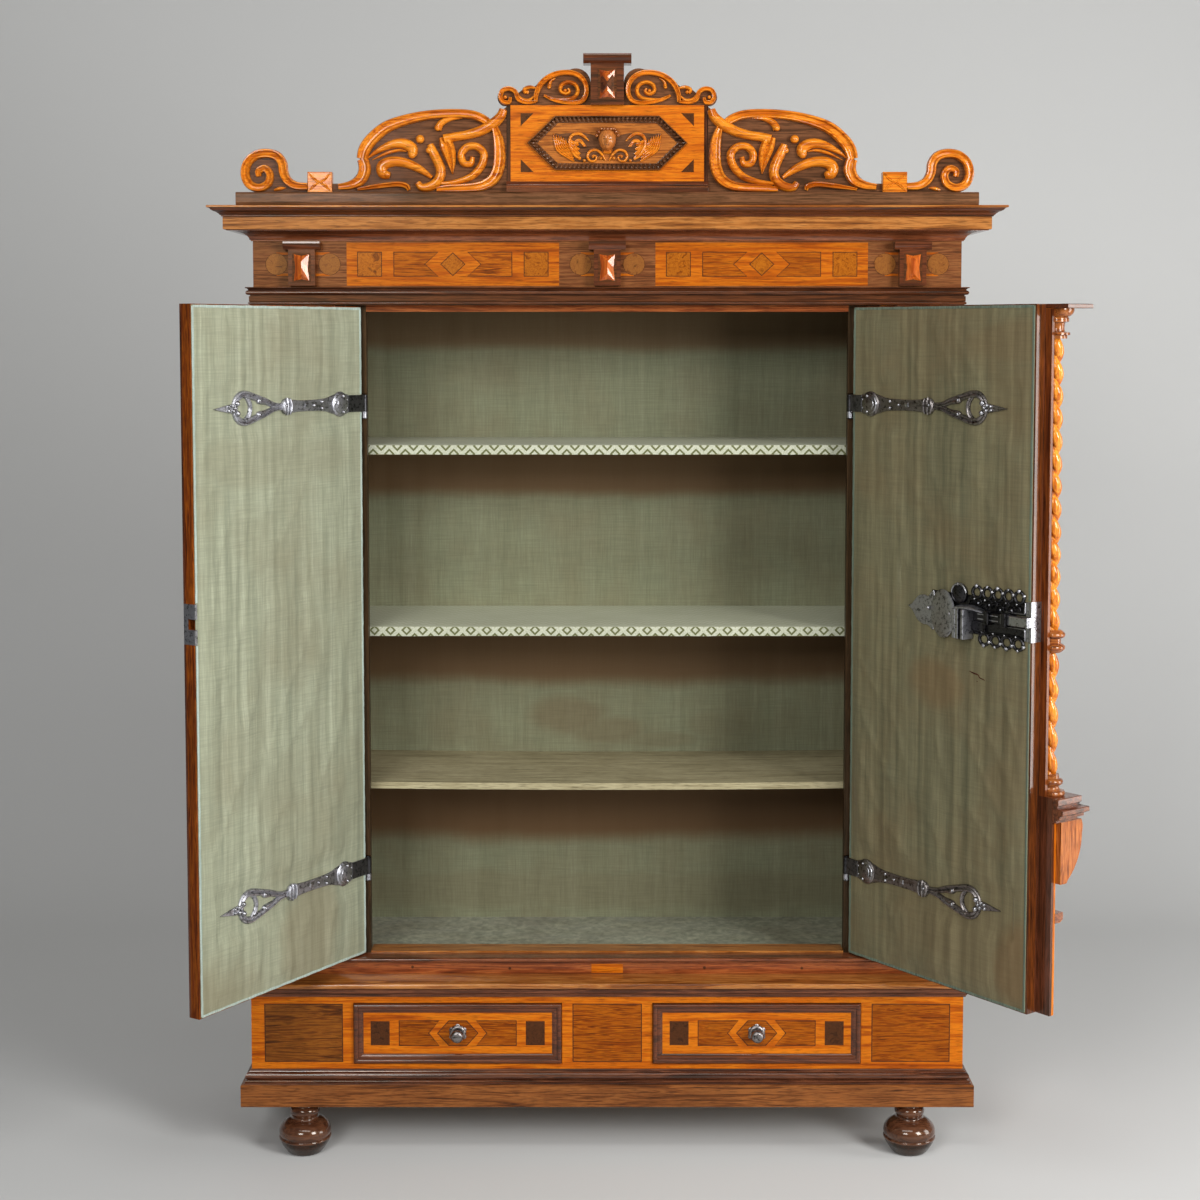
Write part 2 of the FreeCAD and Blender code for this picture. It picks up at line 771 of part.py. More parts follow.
def make_pediment():
    """Ledge, inlaid panel with its hexagon and cherub, scrolls and crest."""
    edge = (pediment_bottom - cornice_top) / 3
    ledge = [
        (-pediment_ledge_back, cornice_top), (pediment_ledge_out - edge, cornice_top),
        (pediment_ledge_out - edge / 3, cornice_top + edge / 3, pediment_ledge_out, cornice_top + edge),
        (pediment_ledge_out, pediment_bottom - edge / 3), (pediment_ledge_out - edge / 3, pediment_bottom),
        (-pediment_ledge_back, pediment_bottom),
    ]
    save("pediment_ledge", [cross_prism(ledge, -pediment_ledge_half, pediment_ledge_half)])
    panel_bottom = pediment_bottom + panel_foot_height
    panel = board(-panel_half, panel_half, panel_out - panel_board, panel_out, panel_bottom, panel_top)
    foot_front = panel_out + panel_foot_out
    foot_back = panel_out - panel_board
    foot = [
        (foot_back, pediment_bottom), (foot_front, pediment_bottom),
        (foot_front, pediment_bottom + panel_foot_height / 2),
        (panel_out + panel_foot_out / 6, panel_bottom - panel_foot_height / 4, panel_out, panel_bottom),
        (foot_back, panel_bottom),
    ]
    pieces = [panel, cross_prism(foot, -panel_foot_half, panel_foot_half)]
    for side in (left, right):
        fillet = board(side * panel_half, side * panel_foot_half, foot_back, panel_out / 2, panel_bottom, panel_top)
        pieces.append(fillet)
    save("pediment_panel", pieces)
    save("hexagon_frame", [hexagon_frame()])
    save("cherub_relief", cherub())
    scroll = carved_board(
        scroll_shares, scroll_rib_shares, panel_foot_half, scroll_length, pediment_bottom, scroll_height,
        scroll_board,
    )
    save("scroll_right", [scroll])
    save("scroll_left", [mirrored(scroll)])
    make_crest()


def hexagon_steps(inset):
    """Hexagon with its long diagonal level, drawn in by an even band."""
    slope = math.atan2(hexagon_half_height, hexagon_tip - hexagon_corner)
    tip = hexagon_tip - inset / math.sin(slope)
    rise = hexagon_half_height - inset
    corner = tip - rise / math.tan(slope)
    low = hexagon_level - rise
    high = hexagon_level + rise
    return [
        (-tip, hexagon_level), (-corner, low), (corner, low), (tip, hexagon_level),
        (corner, high), (-corner, high),
    ]


def hexagon_frame():
    outer = flat_prism(hexagon_steps(0), panel_out, panel_out + hexagon_rise)
    inner = flat_prism(hexagon_steps(hexagon_band), panel_out - overrun, panel_out + hexagon_rise + overrun)
    return outer.cut(inner)


# Outline of one wing in shares of the half span and of the wing's height
wing_shares = [
    (0.1, 0.1), (0.3, 0.62, 0.62, 0.86), (0.85, 0.97, 1.0, 0.92), (1.0, 0.8, 0.9, 0.72), (0.93, 0.6, 0.82, 0.52),
    (0.82, 0.38, 0.7, 0.34), (0.66, 0.2, 0.54, 0.18), (0.42, 0.04, 0.1, -0.1),
]


def cherub():
    """Winged head: a rounded head on a small collar, between two spread wings."""
    bottom = hexagon_level - cherub_wing_height / 2
    steps = scaled(wing_shares, 0, cherub_span, bottom, cherub_wing_height)
    wing = flat_prism(steps, panel_out, panel_out + cherub_wing_rise)
    head = Part.makeSphere(cherub_head, Vector(0, plane(panel_out), hexagon_level))
    room = board(-cherub_span, cherub_span, panel_out, panel_out + cherub_span, bottom - overrun, panel_top)
    head = head.common(room)
    return [wing.cut(head), mirrored(wing.cut(head)), head]


# Outline of a crest scroll in shares of its length from the block outwards and of its height
crest_scroll_shares = [
    (0.0, 0.0), (0.0, 0.8), (0.07, 0.94, 0.21, 1.0), (0.42, 0.92, 0.58, 0.66), (0.64, 0.54, 0.69, 0.5),
    (0.75, 0.42, 0.79, 0.3), (0.84, 0.53, 0.92, 0.53), (1.0, 0.45, 1.01, 0.27), (0.99, 0.1, 0.93, 0.0),
]
crest_rib_shares = [
    (0.21, 0.49, 0.42, 0.1, -50, 320), (0.21, 0.47, 0.2, 0.09, 100, 290), (0.905, 0.27, 0.18, 0.09, -40, 250),
    (0.36, 0.05, 0.76, 0.1, 42, 30),
]


def make_crest():
    """Block with its cap and diamond point, between two small scrolls."""
    scroll = carved_board(
        crest_scroll_shares, crest_rib_shares, crest_half, crest_scroll_length, panel_top, crest_scroll_height,
        crest_scroll_board,
    )
    save("crest_scrolls", [scroll, mirrored(scroll)])
    block_front = panel_out + crest_out
    block_back = panel_out - panel_board
    block_top = panel_top + crest_height
    block = board(-crest_half, crest_half, block_back, block_front, panel_top, block_top)
    cap_front = block_front + crest_cap_out
    cap_top = block_top + crest_cap_height
    cap = [
        (block_back, block_top), (block_front, block_top),
        (cap_front, (block_top + cap_top) / 2, cap_front, cap_top), (block_back, cap_top),
    ]
    lid = cross_prism(cap, -crest_cap_half, crest_cap_half)
    level = (panel_top + block_top) / 2
    point = diamond_point(0, level, point_half, point_height / 2, block_front, point_rise)
    save("crest_block", [block, lid, point])


def make_inside():
    """Shelves on their cleats, the cloth that lines the back and floor, and two shelf covers."""
    inside = carcass_half - side_board
    half = inside - shelf_side_gap
    back_cloth = -back_board - cloth
    lid_bottom = cornice_bottom - side_board
    save("lining_back", [box(-half, half, back_cloth, -back_board, carcass_floor_level, lid_bottom)])
    floor_cloth = board(
        -half, half, -carcass_depth - back_cloth, -sill_depth, carcass_floor_level, carcass_floor_level + cloth
    )
    save("lining_floor", [floor_cloth])
    thickness = [shelf_board + cloth, shelf_board + cloth, lower_shelf_board]
    cleats = []
    for level, board_height in zip(shelf_levels, thickness):
        low = level - board_height - cleat_height
        high = level - board_height
        for side in (left, right):
            wall = side * inside
            edge = side * (inside - cleat_width)
            cleats.append(box(wall, edge, back_cloth, plane(-shelf_setback - cleat_width), low, high))
    save("shelf_cleats", cleats)
    for level, name in zip(shelf_levels, ("upper", "middle")):
        board_top = level - cloth
        shelf = board(
            -half, half, -carcass_depth - back_cloth, -shelf_setback - cloth, board_top - shelf_board, board_top
        )
        save("shelf_" + name, [shelf])
        cover = [
            (-carcass_depth - back_cloth, board_top), (-shelf_setback - cloth, board_top),
            (-shelf_setback - cloth, board_top - shelf_board), (-shelf_setback, board_top - shelf_board),
            (-shelf_setback, level), (-carcass_depth - back_cloth, level),
        ]
        save("shelf_cover_" + name, [cross_prism(cover, -half, half)])
    level = shelf_levels[-1]
    low = level - lower_shelf_board
    bare_half = inside - cleat_width
    sagging = [
        (-half, low), (-half, level), (-bare_half, level), (0, level - lower_shelf_sag, bare_half, level),
        (half, level), (half, low), (bare_half, low), (0, low - lower_shelf_sag, -bare_half, low),
    ]
    face_out = -carcass_depth - back_cloth
    save("shelf_lower", [flat_prism(sagging, face_out, -shelf_setback)])


def opened(solid, side):
    """Turn a piece of a door from its closed place to the open one in which it rests."""
    angle = right_open_angle if side > 0 else -left_open_angle
    turned_solid = solid.copy()
    turned_solid.rotate(Vector(side * pivot_x, plane(pivot_out), 0), Vector(0, 0, 1), angle)
    return turned_solid


def along(side, distance):
    """X on a closed leaf at a distance from its pivot."""
    return side * (pivot_x - distance)


leaf_inner = pivot_out + leaf_face_gap
leaf_outer = leaf_inner + leaf_core + leaf_facing
leaf_hinge_edge = pivot_x - hinge_edge_gap
lining_face = leaf_inner - cloth


def leaf_end(side):
    """X of a closed leaf's meeting edge."""
    return meeting_x + side * meeting_gap / 2


def bolt_room(side, extra):
    """Space that the bolt head needs in a leaf's edge, with its running gap."""
    deep = leaf_inner + bolt_head_depth + extra
    half = bolt_half + extra
    end = leaf_end(side)
    if side > 0:
        length = pivot_x - bolt_head_at - end + bolt_end_gap + extra
    else:
        length = bolt_throw + meeting_gap
    return board(end - side * overrun, end + side * length, lining_face - overrun, deep, lock_level - half, lock_level + half)


def make_door(side, name):
    """Leaf, its framed outer face and its cloth lining."""
    edge = side * leaf_hinge_edge
    end = leaf_end(side)
    room = bolt_room(side, bolt_running_gap)
    core = board(edge, end, leaf_inner, leaf_inner + leaf_core, leaf_bottom, leaf_top)
    plate_low = lock_level - edge_plate_half
    plate_high = lock_level + edge_plate_half
    plate_inner = end + side * edge_plate
    recess = board(end - side * overrun, plate_inner, lining_face - overrun, leaf_outer + overrun, plate_low, plate_high)
    core = core.cut(room).cut(recess)
    save("door_" + name + "_leaf", [opened(core, side)])
    face = [piece.cut(recess) for piece in door_face(side, edge, end)]
    save("door_" + name + "_face", [opened(piece, side) for piece in face])
    lining = board(
        edge - side * lining_margin, end + side * (edge_plate + lining_margin), lining_face, leaf_inner,
        leaf_bottom + lining_margin, leaf_top - lining_margin,
    )
    save("door_" + name + "_lining", [opened(lining.cut(room), side)])


def door_face(side, edge, end):
    """Facing stiles and rails, and in each field a mitred moulding round a low diamond point."""
    low = leaf_inner + leaf_core
    inner_edge = edge - side * facing_stile
    inner_end = end + side * facing_stile
    split = leaf_bottom + facing_split_share * (leaf_top - leaf_bottom)
    rails = [
        (leaf_bottom, leaf_bottom + facing_rail), (split - facing_rail / 2, split + facing_rail / 2),
        (leaf_top - facing_rail, leaf_top),
    ]
    pieces = [
        board(edge, inner_edge, low, leaf_outer, leaf_bottom, leaf_top),
        board(end, inner_end, low, leaf_outer, leaf_bottom, leaf_top),
    ]
    for rail_low, rail_high in rails:
        pieces.append(board(inner_edge, inner_end, low, leaf_outer, rail_low, rail_high))
    width = field_moulding_width
    rise = field_moulding_rise
    profile = [
        (0, 0), (0, rise * 2 / 3), (width / 4, rise, width / 2, rise * 2 / 3), (width, rise / 3), (width, 0),
    ]
    for below, above in zip(rails, rails[1:]):
        x = (inner_edge + inner_end) / 2
        level = (below[1] + above[0]) / 2
        half_width = abs(inner_edge - inner_end) / 2
        half_height = (above[0] - below[1]) / 2
        pieces.extend(picture_frame(x, level, half_width, half_height, low, profile))
        field_half = half_width - width - field_gap
        field_height = half_height - width - field_gap
        pieces.append(diamond_point(x, level, field_half, field_height, low, field_point_rise))
    return pieces


def strap_outline(side, level):
    """Strap from the eye to the knop."""
    return [
        (along(side, 0), level - strap_half_height), (along(side, boss_at), level - strap_half_height),
        (along(side, strap_neck_at), level - strap_neck_half), (along(side, knop_at), level - strap_neck_half),
        (along(side, knop_at), level + strap_neck_half), (along(side, strap_neck_at), level + strap_neck_half),
        (along(side, boss_at), level + strap_half_height), (along(side, 0), level + strap_half_height),
    ]


# Heart-shaped loop in shares of its length and half height: upper half, from the knop to the tip
loop_shares = [(0.0, 0.2), (0.25, 0.72, 0.62, 1.0), (0.9, 0.86, 1.0, 0.3)]


def loop_steps(side, level, inset):
    """Closed loop outline, symmetric about the strap's middle."""
    start = loop_start + inset
    length = loop_end - loop_start - 2 * inset
    height = loop_half_height - inset
    upper = [
        tuple(v for a, b in pairs_of(step) for v in (along(side, start + a * length), level + b * height))
        for step in loop_shares
    ]
    lower = [
        tuple(v for a, b in pairs_of(step) for v in (along(side, start + a * length), level - b * height))
        for step in loop_shares
    ]
    back = [lower[-1][-2:], lower[-1][:2] + lower[-2][-2:], lower[-2][:2] + lower[0]]
    return upper + back


def strap_hinge(side, level):
    """Forged strap: eye, tapering band with a round boss, knop, pierced heart loop and spear tip."""
    back = lining_face - strap_plate
    plate = flat_prism(strap_outline(side, level), back, lining_face)
    loop = flat_prism(loop_steps(side, level, 0), back, lining_face)
    hole = flat_prism(loop_steps(side, level, loop_band), back - overrun, lining_face + overrun)
    bar = board(
        along(side, loop_bar_at), along(side, loop_bar_at + loop_bar), back - overrun, lining_face + overrun,
        level - 2 * loop_half_height, level + 2 * loop_half_height,
    )
    loop = loop.cut(hole.cut(bar))
    tip = flat_prism(
        [
            (along(side, loop_end - loop_band), level - tip_half / 2), (along(side, loop_end + tip_half), level - tip_half),
            (along(side, tip_end), level), (along(side, loop_end + tip_half), level + tip_half),
            (along(side, loop_end - loop_band), level + tip_half / 2),
        ],
        back, lining_face,
    )
    studs = []
    for at, radius, rise in ((boss_at, boss_radius, boss_rise), (knop_at, knop_half, knop_rise)):
        foot = Vector(along(side, at), plane(lining_face), level)
        studs.append(Part.makeCylinder(radius, strap_plate, foot, Vector(0, 1, 0)))
        foot = Vector(along(side, at), plane(back), level)
        low_radius = stud_foot_share * radius
        studs.append(Part.makeCone(low_radius, stud_top_share * radius, rise, foot, Vector(0, 1, 0)))
    eye = Part.makeCylinder(
        eye_radius, 2 * strap_half_height, Vector(side * pivot_x, plane(pivot_out), level - strap_half_height)
    )
    bore = Part.makeCylinder(
        pin_radius + pin_running_gap, 2 * (strap_half_height + overrun),
        Vector(side * pivot_x, plane(pivot_out), level - strap_half_height - overrun),
    )
    strap = plate.fuse([loop, tip, eye] + studs).cut(bore)
    return strap.removeSplitter()


def hinge_hook(side, level):
    """Pin on a hook whose shank is driven into the stile."""
    low = hook_bottom(level)
    centre = Vector(side * pivot_x, plane(pivot_out), low)
    hook = Part.makeCylinder(eye_radius, hook_height, centre)
    pin = Part.makeCylinder(pin_radius, hook_height + hook_gap + 2 * strap_half_height - hook_gap, centre)
    return hook.fuse([pin, hook_shank_block(level, side)]).removeSplitter()


def edge_plate_solid(side):
    """Iron plate let into a leaf's meeting edge, with a lip on the lining and a slot for the bolt."""
    end = leaf_end(side)
    low = lock_level - edge_plate_half
    high = lock_level + edge_plate_half
    plate = board(end, end + side * edge_plate, lining_face, leaf_outer, low, high)
    lip = board(end, end + side * edge_plate_lip, lining_face - edge_plate, lining_face, low, high)
    return plate.fuse(lip).cut(bolt_room(side, bolt_running_gap)).removeSplitter()


def lock_plate_solid():
    """Lock plate with a spear-pointed shield, cut through for the key."""
    inner = lining_face - lock_plate
    neck = shield_half / 3
    middle = (shield_shoulder_at + shield_end_at) / 2
    steps = [
        (along(right, shield_tip_at), lock_level), (along(right, shield_shoulder_at), lock_level - neck),
        (along(right, middle), lock_level - shield_half, along(right, shield_end_at), lock_level - lock_plate_half),
        (along(right, lock_plate_end_at), lock_level - lock_plate_half),
        (along(right, lock_plate_end_at), lock_level + lock_plate_half),
        (along(right, shield_end_at), lock_level + lock_plate_half),
        (along(right, middle), lock_level + shield_half, along(right, shield_shoulder_at), lock_level + neck),
    ]
    plate = flat_prism(steps, inner, lining_face)
    keyhole = board(
        along(right, middle) - keyhole_half, along(right, middle) + keyhole_half, inner - overrun, lining_face + overrun,
        lock_level - 3 * keyhole_half, lock_level + keyhole_half,
    )
    plate = plate.cut(keyhole).cut(bolt_room(right, bolt_running_gap))
    return plate


def staple(at):
    """Bridge over the bolt bar, standing on the lock plate."""
    x0 = along(right, at)
    x1 = along(right, at + staple_width)
    back = lining_face - staple_reach
    front = lining_face - lock_plate
    half = bolt_half + bolt_running_gap
    outer = board(x0, x1, back, front, lock_level - half - staple_wall, lock_level + half + staple_wall)
    room = board(x0 + overrun, x1 - overrun, back + staple_wall, front + overrun, lock_level - half, lock_level + half)
    return outer.cut(room)


def lock_ornament(direction):
    """Pierced cresting along one side of the lock plate."""
    foot = lock_level + direction * lock_plate_half
    inner = lining_face - lock_plate
    pitch = (ornament_end_at - ornament_start_at) / arches
    pieces = []
    for index in range(arches):
        centre = ornament_start_at + (index + 0.5) * pitch
        steps = [
            (along(right, centre - pitch / 2), foot - direction * ornament_foot), (along(right, centre - pitch / 2), foot),
            (along(right, centre), foot + direction * ornament_rise, along(right, centre + pitch / 2), foot),
            (along(right, centre + pitch / 2), foot - direction * ornament_foot),
        ]
        arch = flat_prism(steps, inner - lock_plate, inner)
        hole = Part.makeCylinder(
            pitch / 5, 4 * lock_plate, Vector(along(right, centre), plane(inner + lock_plate), foot), Vector(0, 1, 0)
        )
        pieces.append(arch.cut(hole))
        if direction == up:
            height = foot - direction * ornament_foot / 2
            ball = Vector(along(right, centre), plane(inner - lock_plate - ball_radius), height)
            pieces.append(Part.makeSphere(ball_radius, ball))
    return pieces


def make_ironwork():
    """Strap hinges with their hooks, the lock with its bolt, and the edge plates."""
    hooks = []
    for side in (left, right):
        for level in hinge_levels:
            hooks.append(hinge_hook(side, level))
    save("hinge_hooks", hooks)
    irons = [strap_hinge(left, level) for level in hinge_levels] + [edge_plate_solid(left)]
    save("door_left_irons", [opened(piece, left) for piece in irons])
    straps = [strap_hinge(right, level) for level in hinge_levels]
    save("door_right_straps", [opened(piece, right) for piece in straps])
    lock = [lock_plate_solid(), edge_plate_solid(right)]
    lock.extend(staple(at) for at in (inner_staple_at, outer_staple_at))
    lock.extend(lock_ornament(up))
    lock.extend(lock_ornament(down))
    save("lock", [opened(piece, right) for piece in lock])
    save("lock_bolt", [opened(lock_bolt(), right)])


def lock_bolt():
    """Flat bar that slides under the staples, with a deep head that leaves the edge of the leaf."""
    far = lining_face - lock_plate - bolt_bar_far
    near = lining_face - lock_plate - bolt_bar_near
    end = leaf_end(right) + bolt_end_gap
    low = lock_level - bolt_half
    high = lock_level + bolt_half
    bar = board(along(right, bolt_tail_at), end, far, near, low, high)
    head = board(along(right, bolt_head_at), end, far, leaf_inner + bolt_head_depth, low, high)
    return bar.fuse(head).removeSplitter()


def corkscrew(x, out, bottom, top, turns):
    """Twisted shaft: a round section carried round the axis as it climbs."""
    wires = []
    stations = turns * stations_per_turn
    for index in range(stations + 1):
        phase = 2 * math.pi * index / stations_per_turn
        centre_x = x + shaft_wander * math.cos(phase)
        centre_y = plane(out) + shaft_wander * math.sin(phase)
        level = bottom + (top - bottom) * index / stations
        points = []
        for corner in range(shaft_sides):
            angle = 2 * math.pi * (corner + 0.5) / shaft_sides
            px = centre_x + shaft_core_radius * math.cos(angle)
            py = centre_y + shaft_core_radius * math.sin(angle)
            points.append(Vector(px, py, level))
        wires.append(Part.makePolygon(points + points[:1]))
    return Part.makeLoft(wires, True, True)


def column(x, back, axis, half, reach, ring_radius, top):
    """Column on a bracket: moulded plinth block, turned rings, two twisted lengths, capital and abacus."""
    out = back + axis
    pieces = []
    height = plinth_block_top - plinth_block_bottom
    for share, low_share, high_share in plinth_block_shares:
        low = plinth_block_bottom + low_share * height
        high = plinth_block_bottom + high_share * height
        pieces.append(board(x - share * half, x + share * half, back, out + share * reach, low, high))
    room = board(x - half, x + half, back, out + half + reach, plinth_block_top, top)
    rings = [
        (base_ring_shares, plinth_block_top, base_ring_top),
        (middle_ring_shares, middle_ring_bottom, middle_ring_top),
        (capital_shares, top_ring_bottom, abacus_bottom),
    ]
    for shares, low, high in rings:
        ring = turned(scaled(shares, 0, ring_radius, low, high - low), x, out)
        pieces.append(ring.common(room))
    pieces.append(corkscrew(x, out, base_ring_top, middle_ring_bottom, lower_turns))
    pieces.append(corkscrew(x, out, middle_ring_top, top_ring_bottom, upper_turns))
    abacus = abacus_half_share * half
    front = out + abacus_half_share * reach
    pieces.append(board(x - abacus, x + abacus, back, front, abacus_bottom, top))
    return pieces


# Side outline of a bracket in shares of its reach and of its height
bracket_shares = [
    (0.0, 0.0), (0.3, 0.0), (0.36, 0.05), (0.84, 0.4, 0.98, 0.78), (1.0, 0.9, 0.94, 1.0), (0.0, 1.0),
]


def bracket(x, back, half, reach):
    height = plinth_block_bottom - bracket_bottom
    return cross_prism(scaled(bracket_shares, back, reach, bracket_bottom, height), x - half, x + half)


def make_columns():
    """A column on each stile, and one on the right door over the meeting edges."""
    for side, name in ((left, "left"), (right, "right")):
        x = side * console_x
        pieces = column(
            x, pilaster_board, stile_column_axis, stile_column_half, stile_column_reach, stile_ring_radius,
            architrave_bottom,
        )
        pieces.append(bracket(x, pilaster_board, stile_bracket_half, stile_bracket_reach))
        save("column_" + name, pieces)
    back = leaf_outer + astragal_gap
    strip = board(-strip_half, strip_half, back, back + strip_board, plinth_block_top, abacus_bottom)
    lower = board(-lower_board_half, lower_board_half, back, back + lower_board, leaf_bottom, plinth_block_bottom)
    front = back + lower_board
    height = band_top - band_bottom
    band = [
        (front, band_bottom), (front + band_reach / 3, band_bottom),
        (front + band_reach, band_bottom + height / 4, front + band_reach, band_top), (front, band_top),
    ]
    moulding = cross_prism(band, -lower_board_half, lower_board_half)
    save("astragal", [opened(piece, right) for piece in (strip, lower, moulding)])
    pieces = column(0, back, door_column_axis, door_column_half, door_column_half, door_ring_radius, leaf_top)
    room = strip.copy()
    pieces = [piece.cut(room) for piece in pieces]
    pieces.append(bracket(0, front, door_bracket_half, door_bracket_reach))
    save("column_door", [opened(piece, right) for piece in pieces])


def make_drawer(side, name):
    """Drawer box with a moulded front, and its turned iron knob."""
    x = side * drawer_x
    back_of_front = base_out - drawer_front_board
    low = drawer_bottom
    pieces = [board(x - drawer_half, x + drawer_half, back_of_front, base_out, low, drawer_top)]
    width = drawer_moulding_width
    rise = drawer_moulding_rise
    profile = [
        (0, 0), (0, rise / 2), (width / 5, rise, width / 2, rise * 3 / 4), (width / 2, rise / 2),
        (width * 3 / 4, rise / 2, width, rise / 6), (width, 0),
    ]
    level = (low + drawer_top) / 2
    pieces.extend(picture_frame(x, level, drawer_half, (drawer_top - low) / 2, base_out, profile))
    half = drawer_half - drawer_inset
    box_top = drawer_top - drawer_side_drop
    tail = back_of_front - drawer_length
    for edge in (left, right):
        wall = x + edge * half
        pieces.append(board(wall, wall - edge * drawer_side, tail, back_of_front, low, box_top))
    inner = half - drawer_side
    floor_top = low + drawer_base_board
    pieces.append(board(x - inner, x + inner, tail, tail + drawer_side, low, box_top))
    pieces.append(board(x - inner, x + inner, tail + drawer_side, back_of_front, low, floor_top))
    save("drawer_" + name, pieces)
    knob = turned_forward(knob_shares, rosette_radius, knob_length, x, base_out, level)
    save("drawer_" + name + "_knob", [knob])


def main():
    os.makedirs("parts", exist_ok=True)
    make_base()
    make_carcass()
    make_mouldings()
    make_pediment()
    make_inside()
    make_door(left, "left")
    make_door(right, "right")
    make_ironwork()
    make_columns()
    make_drawer(left, "left")
    make_drawer(right, "right")


main()
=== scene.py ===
"""Blender looks of a marquetry cupboard with open doors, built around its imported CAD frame."""

import functools
import json
import logging
import math
from dataclasses import dataclass
from enum import Enum
from typing import Callable, ClassVar, Sequence

import bmesh
import bpy
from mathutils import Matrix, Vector, noise


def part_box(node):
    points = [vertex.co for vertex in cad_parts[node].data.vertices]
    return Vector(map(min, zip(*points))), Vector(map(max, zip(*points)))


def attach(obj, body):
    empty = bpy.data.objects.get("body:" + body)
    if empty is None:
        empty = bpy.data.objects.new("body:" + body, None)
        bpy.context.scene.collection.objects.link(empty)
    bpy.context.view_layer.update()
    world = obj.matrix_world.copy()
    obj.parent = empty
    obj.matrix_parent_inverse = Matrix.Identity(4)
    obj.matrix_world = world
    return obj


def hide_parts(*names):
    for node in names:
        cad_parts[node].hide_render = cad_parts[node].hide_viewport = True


LOG = logging.getLogger("cupboard")
MM = 0.001

Point = tuple[float, ...]
Points = Sequence[Point]
Socket = bpy.types.NodeSocket
Node = bpy.types.Node
Put = Callable[..., Node]


class Side(Enum):
    """Left or right half of the cupboard, with its sign along X."""

    LEFT = -1
    RIGHT = 1

    @property
    def word(self) -> str:
        """Name as the frame's nodes use it."""
        return self.name.lower()


class Grain(Enum):
    """Direction in which a board's fibres run."""

    LEVEL = "level"
    UPRIGHT = "upright"


def linear(colour: str) -> tuple[float, float, float, float]:
    """Turn an sRGB hex colour into the linear values that a shader takes.

    Args:
        colour: Six hex digits after a hash sign.

    Returns:
        Red, green, blue and an alpha of 1.
    """
    parts = [int(colour[start:start + 2], 16) / 255 for start in (1, 3, 5)]
    shares = [v / 12.92 if v <= 0.04045 else ((v + 0.055) / 1.055) ** 2.4 for v in parts]
    return (*shares, 1.0)


def add_node(tree: bpy.types.NodeTree, kind: str, inputs: dict, stops: Sequence = (), **settings) -> Node:
    """Add a node with its settings, values and links.

    Args:
        tree: Node tree that gets the node.
        kind: Blender's name for the node, after the word ShaderNode.
        inputs: Socket name or number with a value, or with the output or node that is linked to it.
        stops: Positions and hex colours of a colour ramp.
        settings: Attributes of the node.

    Returns:
        The new node.
    """
    node = tree.nodes.new("ShaderNode" + kind)
    for name, value in settings.items():
        setattr(node, name, value)
    for key, value in inputs.items():
        if isinstance(value, Node):
            value = value.outputs[0]
        if isinstance(value, Socket):
            tree.links.new(value, node.inputs[key])
        else:
            node.inputs[key].default_value = value
    if stops:
        ramp = node.color_ramp.elements
        while len(ramp) < len(stops):
            ramp.new(1.0)
        for element, (position, colour) in zip(ramp, stops):
            element.position = position
            element.color = linear(colour)
    return node


@dataclass(frozen=True)
class Finish:
    """A surface of the cupboard: what it is made of and how it was worked."""

    name: str

    made: ClassVar[dict[str, bpy.types.Material]] = {}

    def material(self) -> bpy.types.Material:
        """Material of this finish, made once.

        Returns:
            The Blender material.
        """
        if self.name not in Finish.made:
            material = bpy.data.materials.new(self.name)
            material.use_nodes = True
            material.node_tree.nodes.clear()
            put = functools.partial(add_node, material.node_tree)
            put("OutputMaterial", {"Surface": self.shade(put)})
            Finish.made[self.name] = material
        return Finish.made[self.name]

    def shade(self, put: Put) -> Node:
        """Build the nodes. Each kind of finish has its own."""
        raise NotImplementedError


WAX = linear("#FFD9A0")
VARNISH_IOR = 1.5


